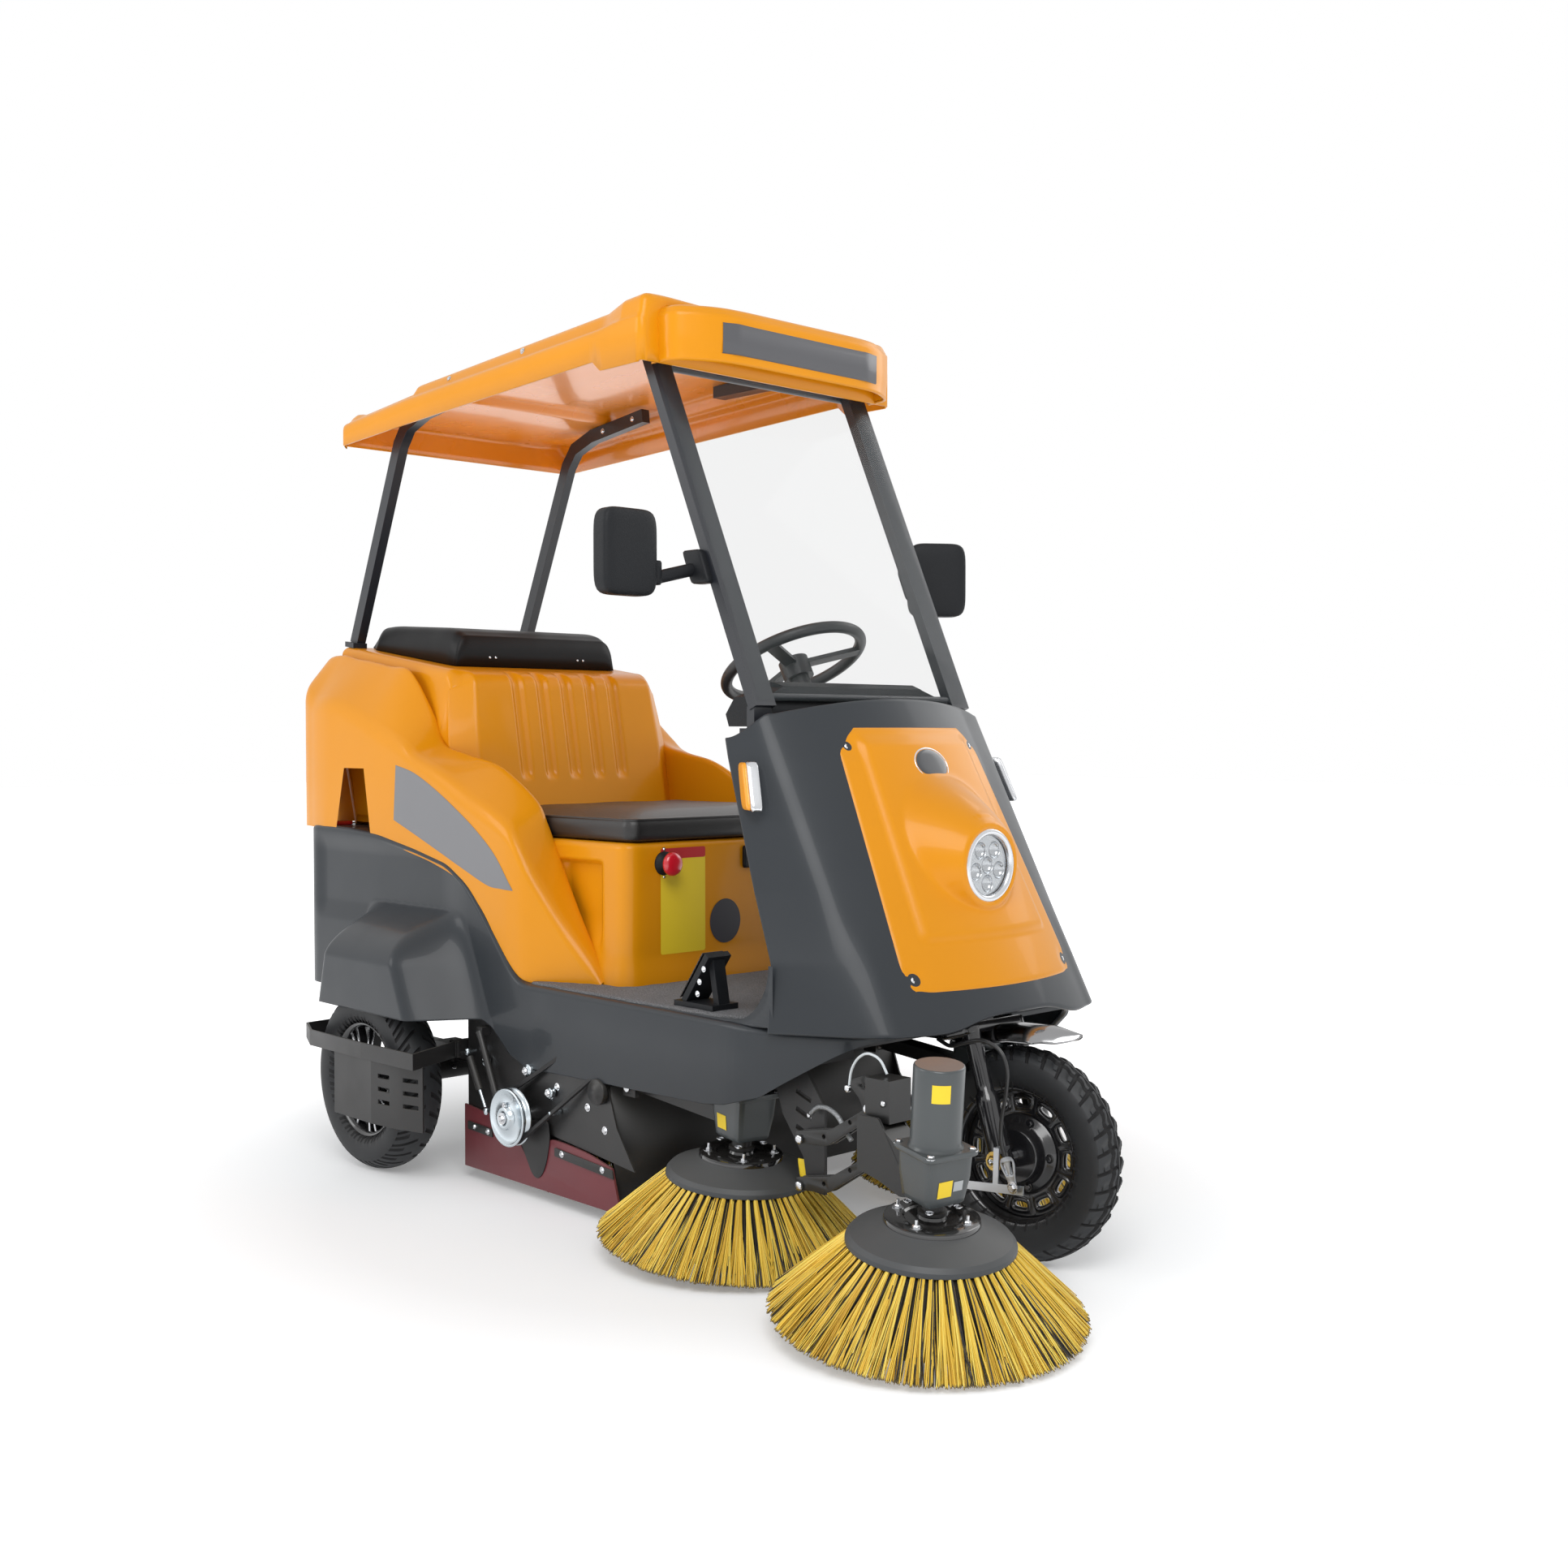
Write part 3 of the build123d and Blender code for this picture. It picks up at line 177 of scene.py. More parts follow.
def rounded_path(corners, radii, steps=6):
    """Polylines with each inner corner replaced by a quadratic curve that starts and ends its radius away.

    corners is an array of any number of polylines by corner by coordinate."""
    corners = np.asarray(corners, dtype=float)
    parts = [corners[..., :1, :]]
    t = np.linspace(0, 1, steps + 1)[:, None]
    for index in range(1, corners.shape[-2] - 1):
        here = corners[..., index:index + 1, :]
        back = corners[..., index - 1:index, :] - here
        ahead = corners[..., index + 1:index + 2, :] - here
        back_length = np.linalg.norm(back, axis=-1, keepdims=True) + 1e-9
        ahead_length = np.linalg.norm(ahead, axis=-1, keepdims=True) + 1e-9
        start = here + back / back_length * np.minimum(radii[index - 1], back_length * 0.48)
        end = here + ahead / ahead_length * np.minimum(radii[index - 1], ahead_length * 0.48)
        parts.append((1 - t) ** 2 * start + 2 * t * (1 - t) * here + t ** 2 * end)
    parts.append(corners[..., -1:, :])
    return np.concatenate(parts, axis=-2)


def flow(table, count):
    """Rows of a table joined by a smooth cubic whose slope at each row is the mean of its two neighbours'."""
    table = np.asarray(table, dtype=float)
    last = len(table) - 1
    t = np.linspace(0, last, count)
    row = np.minimum(t.astype(int), last - 1)
    f = (t - row).reshape((-1,) + (1,) * (table.ndim - 1))
    slope = np.gradient(table, axis=0)
    a, b, sa, sb = table[row], table[row + 1], slope[row], slope[row + 1]
    return (a * (2 * f ** 3 - 3 * f ** 2 + 1) + sa * (f ** 3 - 2 * f ** 2 + f)
            + b * (3 * f ** 2 - 2 * f ** 3) + sb * (f ** 3 - f ** 2))


def resample(path, count):
    """The same path with its points spread evenly along it."""
    path = np.asarray(path, dtype=float)
    run = np.concatenate([[0], np.cumsum(np.linalg.norm(np.diff(path, axis=0), axis=1))])
    even = np.linspace(0, run[-1], count)
    return np.stack([np.interp(even, run, path[:, k]) for k in range(path.shape[1])], axis=1)


def step(low, high, value):
    """Smooth rise from 0 at low to 1 at high."""
    t = np.clip((value - low) / (high - low), 0, 1)
    return t * t * (3 - 2 * t)


def paint(name, colour, roughness, metallic=0.0, coat=0.0):
    """Material with one Principled shader; returns the material, its node tree and the shader."""
    material = bpy.data.materials.new(name)
    material.use_nodes = True
    tree = material.node_tree
    shader = tree.nodes["Principled BSDF"]
    shader.inputs["Base Color"].default_value = (*colour, 1)
    shader.inputs["Roughness"].default_value = roughness
    shader.inputs["Metallic"].default_value = metallic
    shader.inputs["Coat Weight"].default_value = coat
    shader.inputs["Coat Roughness"].default_value = 0.08
    return material, tree, shader


def surface_group(name, scale, detail):
    """Node group: a noise on Object coordinates gives a tinted colour, a roughness and a bumped normal."""
    group = bpy.data.node_groups.new(name, "ShaderNodeTree")
    for socket, kind, value in (("Colour", "NodeSocketColor", (1, 1, 1, 1)), ("Tint", "NodeSocketFloat", 0.1),
                                ("Roughness", "NodeSocketFloat", 0.4), ("Spread", "NodeSocketFloat", 0.1),
                                ("Bump", "NodeSocketFloat", 0.1), ("Dust", "NodeSocketFloat", 0.2)):
        made = group.interface.new_socket(socket, in_out="INPUT", socket_type=kind)
        made.default_value = value
    for socket, kind in (("Colour", "NodeSocketColor"), ("Roughness", "NodeSocketFloat"),
                         ("Normal", "NodeSocketVector")):
        group.interface.new_socket(socket, in_out="OUTPUT", socket_type=kind)
    nodes, links = group.nodes, group.links
    inside = nodes.new("NodeGroupInput")
    outside = nodes.new("NodeGroupOutput")
    place = nodes.new("ShaderNodeTexCoord")
    fine = nodes.new("ShaderNodeTexNoise")
    fine.inputs["Scale"].default_value = scale
    fine.inputs["Detail"].default_value = detail
    broad = nodes.new("ShaderNodeTexNoise")
    broad.inputs["Scale"].default_value = 3.5
    broad.inputs["Detail"].default_value = 4.0
    for noise in (fine, broad):
        links.new(place.outputs["Object"], noise.inputs["Vector"])

    def maths(kind, first, second):
        node = nodes.new("ShaderNodeMath")
        node.operation = kind
        for socket, value in zip(node.inputs, (first, second)):
            if isinstance(value, (int, float)):
                socket.default_value = value
            else:
                links.new(value, socket)
        return node.outputs[0]

    shade = maths("MULTIPLY_ADD", maths("SUBTRACT", broad.outputs["Fac"], 0.5), inside.outputs["Tint"])
    shade.node.inputs[2].default_value = 1.0
    tinted = nodes.new("ShaderNodeMix")
    tinted.data_type = "RGBA"
    tinted.blend_type = "MULTIPLY"
    tinted.inputs["Factor"].default_value = 1.0
    links.new(inside.outputs["Colour"], tinted.inputs["A"])
    links.new(shade, tinted.inputs["B"])
    # dust settles on what faces upwards, and near the ground
    geometry = nodes.new("ShaderNodeNewGeometry")
    split = nodes.new("ShaderNodeSeparateXYZ")
    links.new(geometry.outputs["Normal"], split.inputs[0])
    height = nodes.new("ShaderNodeSeparateXYZ")
    links.new(place.outputs["Object"], height.inputs[0])
    low = nodes.new("ShaderNodeMapRange")
    low.inputs["From Min"].default_value = 0.0
    low.inputs["From Max"].default_value = 0.55
    low.inputs["To Min"].default_value = 1.0
    low.inputs["To Max"].default_value = 0.12
    links.new(height.outputs["Z"], low.inputs["Value"])
    upward = maths("MAXIMUM", split.outputs["Z"], 0.15)
    dusty = maths("MULTIPLY", maths("MULTIPLY", upward, low.outputs["Result"]),
                  maths("MULTIPLY", broad.outputs["Fac"], inside.outputs["Dust"]))
    powdered = nodes.new("ShaderNodeMix")
    powdered.data_type = "RGBA"
    links.new(dusty, powdered.inputs["Factor"])
    links.new(tinted.outputs["Result"], powdered.inputs["A"])
    powdered.inputs["B"].default_value = (0.34, 0.31, 0.26, 1)
    links.new(powdered.outputs["Result"], outside.inputs["Colour"])
    rough = maths("MULTIPLY_ADD", maths("SUBTRACT", fine.outputs["Fac"], 0.5), inside.outputs["Spread"])
    links.new(inside.outputs["Roughness"], rough.node.inputs[2])
    links.new(maths("MULTIPLY_ADD", dusty, 0.8), outside.inputs["Roughness"])
    links.new(rough, outside.inputs["Roughness"].links[0].from_node.inputs[2])
    bump = nodes.new("ShaderNodeBump")
    bump.inputs["Distance"].default_value = 0.002
    links.new(inside.outputs["Bump"], bump.inputs["Strength"])
    links.new(fine.outputs["Fac"], bump.inputs["Height"])
    links.new(bump.outputs["Normal"], outside.inputs["Normal"])
    return group


smooth_finish = surface_group("smooth_finish", 9.0, 2.0)
grain_finish = surface_group("grain_finish", 520.0, 3.0)


def finished(name, colour, roughness, finish, tint=0.1, spread=0.1, bump=0.05, dust=0.2, metallic=0.0, coat=0.0):
    """Material whose colour, roughness and normal come from a finish group."""
    material, tree, shader = paint(name, colour, roughness, metallic, coat)
    group = tree.nodes.new("ShaderNodeGroup")
    group.node_tree = finish
    for socket, value in (("Tint", tint), ("Roughness", roughness), ("Spread", spread), ("Bump", bump), ("Dust", dust)):
        group.inputs[socket].default_value = value
    group.inputs["Colour"].default_value = (*colour, 1)
    tree.links.new(group.outputs["Colour"], shader.inputs["Base Color"])
    tree.links.new(group.outputs["Roughness"], shader.inputs["Roughness"])
    tree.links.new(group.outputs["Normal"], shader.inputs["Normal"])
    return material


orange_gelcoat = finished("orange_gelcoat", (0.72, 0.272, 0.003), 0.33, smooth_finish, tint=0.1, spread=0.12,
                          bump=0.2, dust=0.03, coat=0.16)
orange_gelcoat.node_tree.nodes["Principled BSDF"].inputs["Specular IOR Level"].default_value = 0.2

hood_rise = (1284 - 1206) / (-572 + 14)


def hood_height(x):
    """Height of the hood's top, a straight slope down to the front."""
    return 1206 + hood_rise * (x + 14)


# flanks: station x, inner crest height, outer edge y, outer edge height, lower edge height, crest inner y
flank_table = np.array([
    (-588, 1230, 352, 1180, 800, 335), (-572, 1262, 420, 1165, 800, 338), (-500, 1268, 440, 1128, 800, 340),
    (-430, 1256, 447, 1128, 795, 340), (-361, 1248, 447, 1118, 788, 340), (-260, 1232, 447, 1086, 784, 342),
    (-164, 1216, 447, 1050, 780, 342), (-60, 1110, 447, 1018, 765, 342), (-8, 1030, 447, 996, 755, 340),
    (94, 1003, 447, 960, 735, 338), (209, 984, 447, 906, 700, 336), (300, 945, 447, 872, 640, 335),
    (381, 893, 446, 838, 545, 334), (412, 840, 444, 815, 500, 333), (450, 774, 438, 762, 484, 332),
    (490, 706, 420, 694, 482, 331), (550, 612, 390, 600, 482, 330), (632, 500, 356, 492, 482, 329),
], dtype=float)
station_x = np.concatenate([np.linspace(-588, -460, 16), np.linspace(-445, -325, 8), np.linspace(-309, -243, 5),
                            np.linspace(-227, -120, 8), np.linspace(-112, 632, 90)])
fine_x = flow(flank_table, 400)
station = np.stack([np.interp(station_x, fine_x[:, 0], fine_x[:, k]) for k in range(6)], axis=1)
station[:, 0] = station_x
for side, name in ((-1, "flank_right"), (1, "flank_left")):
    x, inner_z, outer_y, outer_z, lower_z, inner_y = station.T
    foot_z = np.minimum(inner_z - 30, 812)
    one = np.ones_like(x)
    corners = np.stack([
        np.stack([x, side * inner_y, np.minimum(foot_z, inner_z - 8)], -1),
        np.stack([x, side * inner_y, inner_z], -1),
        np.stack([x, side * outer_y, outer_z], -1),
        np.stack([x, side * outer_y, np.minimum(lower_z, outer_z - 4)], -1),
    ], axis=1)
    section = rounded_path(corners, (26, 30), steps=8)
    # wall rows: down to the top of the lamp recess, then on to the lower edge
    wall_top, wall_foot = section[:, -2, :], section[:, -1, :]
    recess_top = np.maximum(np.minimum(958, wall_top[:, 2] - 3), wall_foot[:, 2] + 4)
    levels = [wall_top[:, 2] + (recess_top - wall_top[:, 2]) * part for part in (0.33, 0.67, 1.0)]
    levels += [recess_top + (wall_foot[:, 2] - recess_top) * part for part in np.linspace(0, 1, 10)[1:]]
    walls = []
    for level in levels:
        fall = np.clip((958 - level) / 150, 0, 1.2)
        lean = fall * np.interp(x, (-460, -325, -227, -120), (0, -40, 28, 0))
        walls.append(np.stack([x + lean, wall_top[:, 1] + 0 * x, level], -1))
    section = np.concatenate([section[:, :-1], np.stack(walls, axis=1)], axis=1)
    cut = np.zeros((section.shape[0] - 1, section.shape[1] - 1), dtype=bool)
    between = (x[:-1] > -326) & (x[1:] < -226)
    cut[between, -9:] = True
    flank = sheet(name, section, orange_gelcoat, "chassis", flip=side < 0, cut=cut)
    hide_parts("rear_housing")

# hood, backrest and rear wall in one strip, with rounded side edges and five pressed ribs
strip = rounded_path(np.array([
    (-470, 800), (-560, 1100), (-584, 1235), (-568, 1284), (-14, 1206), (24, 1188), (76, 915), (98, 800),
], dtype=float), (60, 26, 18, 26, 26, 60), steps=8)
strip = resample(strip, 260)
along = np.gradient(strip, axis=0)
along /= np.linalg.norm(along, axis=1, keepdims=True)
outward = np.stack([-along[:, 1], along[:, 0]], -1)
edge_run = 345 - 62 * (1 - np.cos(np.linspace(math.pi / 2, 0, 17)))
across = np.concatenate([-edge_run[::-1], np.linspace(-283, 283, 191)[1:-1], edge_run])
over = np.clip((np.abs(across) - 315) / 30, 0, 1)
inset = 30 * (1 - np.sqrt(1 - over ** 2))
# the front corners are cut back by a broad flat chamfer
bevel = np.clip((np.abs(across) - 283) / 62, 0, 1)
bevel = 50 * np.where(bevel < 0.15, bevel ** 2 / 0.3, bevel - 0.075)
front_end = step(-45, 15, strip[:, 0])[:, None]
ribs = np.zeros((len(strip), len(across)))
reach = step(-30, 20, strip[:, 0]) * (1 - step(955, 925, strip[:, 1])[:])
for rib_y in (-152, -76, 0, 76, 152):
    ribs += reach[:, None] * 9 * np.exp(-((across[None, :] - rib_y) / 15.0) ** 4)
depth = inset[None, :] * (1 - front_end) + np.maximum(inset * 0.4, bevel)[None, :] * front_end + ribs
shift_y = 1 - 0.07 * step(1000, 1250, strip[:, 1])[:, None] * step(200, 345, np.abs(across))[None, :]
hood_points = np.stack([
    strip[:, 0][:, None] - outward[:, 0][:, None] * depth * np.sign(1),
    across[None, :] * shift_y,
    strip[:, 1][:, None] - outward[:, 1][:, None] * depth,
], -1)
# side walls: from each edge in to a spine low inside
spine = np.stack([np.clip(strip[:, 0], -440, -60), np.zeros(len(strip)), np.full(len(strip), 830.0)], -1)
cheeks = []
for side, edge_points in ((-1, hood_points[:, 0]), (1, hood_points[:, -1])):
    spine[:, 1] = side * 345
    share = np.array((0.0, 0.06, 0.14, 0.3, 0.6, 1.0))[1:, None, None]
    wall = edge_points[None] * (1 - share) + spine[None] * share
    wall[..., 1] = edge_points[None, :, 1] + (side * 346 - edge_points[None, :, 1]) * step(0, 0.35, share[..., 0])
    cheeks.append(wall.transpose(1, 0, 2))
hood_points = np.concatenate([cheeks[0][:, ::-1], hood_points, cheeks[1]], axis=1)
hood = sheet("hood", hood_points, orange_gelcoat, "chassis")

# seat box below the cushion, with a pocket pressed into each front corner
plan = rounded_path(np.array([(150, -336), (700, -336), (700, 336), (150, 336)], dtype=float), (46, 46), steps=10)
plan = resample(plan, 220)
face_out = np.gradient(plan, axis=0)
face_out = np.stack([face_out[:, 1], -face_out[:, 0]], -1)
face_out /= np.linalg.norm(face_out, axis=1, keepdims=True)
rise = np.concatenate([np.linspace(482, 790, 60), 790 + 15 * np.sin(np.linspace(0.2, math.pi / 2, 7))])
roll = np.concatenate([np.zeros(60), 15 * (1 - np.cos(np.linspace(0.2, math.pi / 2, 7)))])
flare = 12 * (1 - step(482, 560, rise))
pocket = (step(440, 470, plan[:, 0]) * (1 - step(600, 612, plan[:, 0])))[None, :] \
    * (step(545, 640, rise) * (1 - step(754, 762, rise)))[:, None]
move = (flare - roll)[:, None] - 22 * pocket
box_points = np.stack([plan[:, 0][None, :] + face_out[:, 0][None, :] * move,
                       plan[:, 1][None, :] + face_out[:, 1][None, :] * move,
                       np.repeat(rise[:, None], len(plan), 1)], -1)
box_top = np.stack([np.linspace(box_points[-1, :, 0], np.full(len(plan), 425.0), 4),
                    np.linspace(box_points[-1, :, 1], np.zeros(len(plan)), 4),
                    np.full((4, len(plan)), 805.0)], -1)
seat_box = sheet("seat_box", np.concatenate([box_points, box_top[1:]]), orange_gelcoat, "chassis")

# ---------------------------------------------------------------- grey lower body
# One grey moulding: raised tail with smooth swellings over the rear wheels, a low sill beside the
# foot floor, and the nose under the cowl. It is bolted down on the frame rails.
grey_gelcoat = finished("grey_gelcoat", (0.027, 0.031, 0.036), 0.38, smooth_finish, tint=0.12, spread=0.16,
                        bump=0.2, dust=0.1, coat=0.14)
grey_gelcoat.node_tree.nodes["Principled BSDF"].inputs["Specular IOR Level"].default_value = 0.25
skirt_plan = rounded_path(np.array([
    (-556, 0), (-556, -340), (-505, -453), (1232, -453), (1402, -348), (1402, -130),
], dtype=float), (60, 50, 90, 60), steps=8)
skirt_plan = resample(skirt_plan, 480)
wall_out = np.gradient(skirt_plan, axis=0)
wall_out = np.stack([wall_out[:, 1], -wall_out[:, 0]], -1)
wall_out /= np.linalg.norm(wall_out, axis=1, keepdims=True)
plan_x = skirt_plan[:, 0]
sill_top = np.interp(plan_x, (-560, -400, -300, -161, 10, 155, 241, 291, 357, 430, 462, 1150, 1262, 1402),
                     (806, 806, 804, 795, 767, 738, 694, 650, 580, 500, 484, 482, 476, 472))
sill_top = np.convolve(np.pad(sill_top, 4, mode="edge"), np.ones(9) / 9, mode="valid")
sill_low = np.interp(plan_x, (-560, 326, 423, 486, 638, 917, 1095, 1150, 1237, 1402),
                     (392, 388, 317, 296, 300, 306, 311, 318, 343, 452))
up = np.linspace(0, 1, 80)
for side, name in ((1, "lower_shell_right"), (-1, "lower_shell_left")):
    height = sill_low[None, :] + (sill_top - 12 - sill_low)[None, :] * up[:, None]
    x = np.repeat(plan_x[None, :], len(up), 0)
    on_side = step(-500, -470, x) * (1 - step(1100, 1200, x))
    # swelling over the wheel: full width low down, a flat shoulder, then back into the wall
    fore_aft = step(-270, -160, x - (height - 392) * 0.25) * (1 - step(216, 346, x + (height - 392) * 0.45))
    level = 1 - step(505, 628, height)
    swell = 158 * fore_aft * np.sqrt(np.clip(level, 0, 1)) * on_side
    # tail hollow above the swelling and a soft shoulder line along the sill
    dish = -10 * step(-480, -420, x) * (1 - step(120, 260, x)) * step(560, 620, height) * (1 - step(740, 790, height))
    band = 5 * step(500, 600, x) * (1 - step(1180, 1260, x)) * np.sin(np.clip(up[:, None], 0, 1) * math.pi)
    move = swell + dish + band
    shell = np.stack([x + wall_out[:, 0][None, :] * move, skirt_plan[:, 1][None, :] + wall_out[:, 1][None, :] * move,
                      height], -1)
    turn = np.linspace(0, math.pi / 2, 6)[1:, None]
    rim = np.stack([plan_x[None, :] - wall_out[:, 0][None, :] * 12 * (1 - np.cos(turn)),
                    skirt_plan[:, 1][None, :] - wall_out[:, 1][None, :] * 12 * (1 - np.cos(turn)),
                    (sill_top - 12)[None, :] + 12 * np.sin(turn)], -1)
    ledge = np.stack([plan_x - wall_out[:, 0] * 36, skirt_plan[:, 1] - wall_out[:, 1] * 36, sill_top], -1)[None]
    under = np.stack([plan_x - wall_out[:, 0] * 14, skirt_plan[:, 1] - wall_out[:, 1] * 14, sill_low + 3], -1)[None]
    points = np.concatenate([under, shell, rim, ledge])
    points[..., 1] *= side
    lower_shell = sheet(name, points, grey_gelcoat, "chassis", thickness=6, flip=side < 0)
    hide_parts("lower_body")

# foot floor, open at the front for the steering head
floor_plan = np.array([(462, 440), (1235, 440), (1385, 340)], dtype=float)
floor_rows = np.stack([np.interp(np.linspace(462, 1385, 40), floor_plan[:, 0], floor_plan[:, 1])] * 2)
for side, name in ((-1, "foot_floor_right"), (1, "foot_floor_left")):
    x = np.linspace(462, 1385, 40)
    inner = np.where(x > 1212, 130.0, 0.0)
    rows = np.stack([np.stack([x, side * inner, np.full(40, 479.0)], -1),
                     np.stack([x, side * floor_rows[0], np.full(40, 479.0)], -1)])
    foot_floor = sheet(name, rows, grey_gelcoat, "chassis", thickness=5, flip=side > 0)
# shelf over the tail, under the hood
tail_x_run = np.linspace(-548, 462, 80)
tail_z = np.interp(tail_x_run, (-560, -400, -161, 10, 155, 241, 291, 357, 430, 462),
                   (804, 804, 793, 765, 736, 692, 648, 578, 498, 482))
for side, name in ((-1, "tail_shelf_right"), (1, "tail_shelf_left")):
    reach = np.where(tail_x_run < -500, 385 + (tail_x_run + 548) * 0.95, 430)
    rows = np.stack([np.stack([tail_x_run, np.full(80, side * 300.0), tail_z], -1),
                     np.stack([tail_x_run, side * reach, tail_z], -1)])
    tail_shelf = sheet(name, rows, grey_gelcoat, "chassis", flip=side > 0)

# ---------------------------------------------------------------- front cowl
# Grey glass-fibre cowl round the steering head: a bowed front, folded corners, and cheeks that run
# down into the sill. Its rolled edges are about as thick as a finger.


def cowl_x(across, height, out=0.0):
    """Forward reach of the cowl: the nearer of a bowed front and a raked cheek, blended over 9 mm."""
    a = np.abs(across)
    front = 1215 + 0.53 * (1085 - height) + out
    bow = front - (625.6 - np.sqrt(np.maximum(625.6 ** 2 - a ** 2, 1.0)))
    edge_x = np.interp(height, (470, 600, 735, 1000, 1120), (1262, 1250, 1184, 1082, 1036))
    edge_y = np.interp(height, (470, 600, 735, 1000, 1120), (440, 420, 402, 380, 362)) + out
    corner = front - 96
    cheek = corner + (a - 333 - out) / (edge_y - 333 - out) * (edge_x - corner)
    k = 7.0
    low = np.minimum(bow, cheek)
    return low - k * np.log(np.exp(-(bow - low) / k) + np.exp(-(cheek - low) / k)) + k * 0.35


def cowl_edge_y(height):
    """Half width of the cowl at its rear edge."""
    return np.interp(height, (470, 600, 735, 1000, 1120), (440, 420, 402, 380, 362))


t = np.linspace(-1, 1, 241)
u = np.sign(t) * np.where(np.abs(t) < 0.72, np.abs(t) / 0.72 * 0.84, 0.84 + (np.abs(t) - 0.72) / 0.28 * 0.16)
v = np.linspace(0, 1, 90)
low_edge = 470 + 26 * np.exp(-(u * 420 / 150) ** 4)
top_edge = np.where(np.abs(u) < 0.84, 1085 + 32 * (1 - (u / 0.84) ** 2), 1085 - 48 * step(0.86, 1.0, np.abs(u)))
z = low_edge[None, :] + (top_edge - low_edge)[None, :] * v[:, None]
y = u[None, :] * cowl_edge_y(z)
crease = 5 * np.exp(-((np.abs(y) - (300 + (z - 470) * -0.02)) / 26) ** 2) * (1 - step(560, 700, z))
points = np.stack([cowl_x(y, z) + crease, y, z], -1)
cowl = sheet("cowl", points, grey_gelcoat, "chassis", thickness=9, flip=True)
edge = cowl.modifiers.new("rolled_edge", "BEVEL")
edge.width = 0.003
edge.segments = 2
edge.angle_limit = math.radians(50)
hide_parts("front_cowl")

# fillet where each cheek runs down into the sill
for side, name in ((-1, "cheek_foot_right"), (1, "cheek_foot_left")):
    a = np.linspace(0, math.pi / 2, 12)
    curve = np.stack([1262 - 120 * (1 - np.sin(a)) + 4, 482 + 120 * (1 - np.cos(a))], -1)
    rows = np.stack([
        np.stack([np.full(12, 1275.0), np.full(12, side * 438.0), curve[:, 1]], -1),
        np.stack([curve[:, 0], np.full(12, side * 441.0), curve[:, 1]], -1),
        np.stack([curve[:, 0], np.full(12, side * 430.0), curve[:, 1] - 1], -1),
    ])
    cheek_foot = sheet(name, rows, grey_gelcoat, "chassis", flip=side > 0)

# ---------------------------------------------------------------- orange nose panel and headlamp
# Orange cover screwed over the cowl's front by four screws in pressed dimples, with a nacelle that
# carries a round lamp of six reflectors in a bright bezel, and a plain oval badge.
zz = np.linspace(0, 1, 150)
yy = np.linspace(-1, 1, 171)
z = 545 + (1060 - 545) * zz[:, None] + 0 * yy[None, :]
half = 258 + (z - 545) * (212 - 258) / (1020 - 545)
corner_top = 46 * step(1000, 1060, z) ** 2
corner_low = 34 * (1 - np.sqrt(np.clip(1 - ((575 - np.minimum(z, 575)) / 30) ** 2, 0, 1)))
y = yy[None, :] * (half - corner_top - corner_low)
rim_y = half - corner_top - corner_low - np.abs(y)
rim_z = np.minimum(z - 545, 1060 - z)
rim_gap = np.minimum(rim_y, rim_z)
edge_roll = 9.5 * np.sqrt(np.clip(1 - (1 - np.clip(rim_gap / 12, 0, 1)) ** 2, 0, 1))
# pressed field inside a raised border, opened out round the nacelle
field = step(0, 26, half - 46 - np.abs(y) + (z - 800) * 0.03) * step(0, 26, z - 632) * (1 - step(1020, 1050, z))
raised = 9 * field
for screw_y, screw_z in ((-1, 572), (1, 572), (-1, 1020), (1, 1020)):
    sy = screw_y * (np.interp(screw_z, (545, 1060), (258, 208)) - 24)
    near = np.exp(-(((y - sy) / 24) ** 2 + ((z - screw_z) / 24) ** 2) ** 2)
    raised = raised * (1 - near) - 3 * near
base = cowl_x(y, z) + edge_roll + raised
distance = np.sqrt(y ** 2 + (z - 782) ** 2)
above = np.sqrt(y ** 2 + ((z - 790) / 1.15) ** 2)
nacelle = 1449 - np.maximum(distance - 82, 0) * 1.12 - np.maximum(distance - 82, 0) ** 2 * 0.0045
nacelle = np.maximum(nacelle, 1432 - np.maximum(above - 80, 0) * 2.4)
nacelle = np.where(distance < 82, 1449 - (np.maximum(82 - distance, 0) / 8) ** 3 * 2.0, nacelle)
nacelle = np.where(distance < 72, 1424, nacelle)
k = 7.0
high = np.maximum(base, nacelle)
front = high + k * np.log(np.exp((base - high) / k) + np.exp((nacelle - high) / k)) - k * 0.1
front = np.where(distance < 72, 1424, front)
nose_cover = sheet("nose_cover", np.stack([front, y, z], -1), orange_gelcoat, "chassis", thickness=4, flip=True)
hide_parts("nose_panel")

bright_steel = finished("bright_steel", (0.62, 0.63, 0.65), 0.2, smooth_finish, tint=0.1, spread=0.15, bump=0.05,
                        dust=0.05, metallic=1.0)


def turned(name, profile, material, body, centre, axis=(0, 0, 1), segments=48):
    """Profile of radius and height turned round an axis through the centre; closed where its radius is zero."""
    profile = np.asarray(profile, dtype=float)
    axis = np.asarray(axis, dtype=float) / np.linalg.norm(axis)
    helper = np.array((0, 1, 0)) if abs(axis[1]) < 0.9 else np.array((1, 0, 0))
    first = np.cross(helper, axis)
    first /= np.linalg.norm(first)
    second = np.cross(axis, first)
    angle = np.linspace(0, 2 * math.pi, segments, endpoint=False)
    round_way = first[None, :] * np.cos(angle)[:, None] + second[None, :] * np.sin(angle)[:, None]
    points = (np.asarray(centre, dtype=float) + profile[:, None, 0:1] * round_way[None]
              + profile[:, None, 1:2] * axis)
    piece = sheet(name, points, material, body, wrap=True)
    return piece


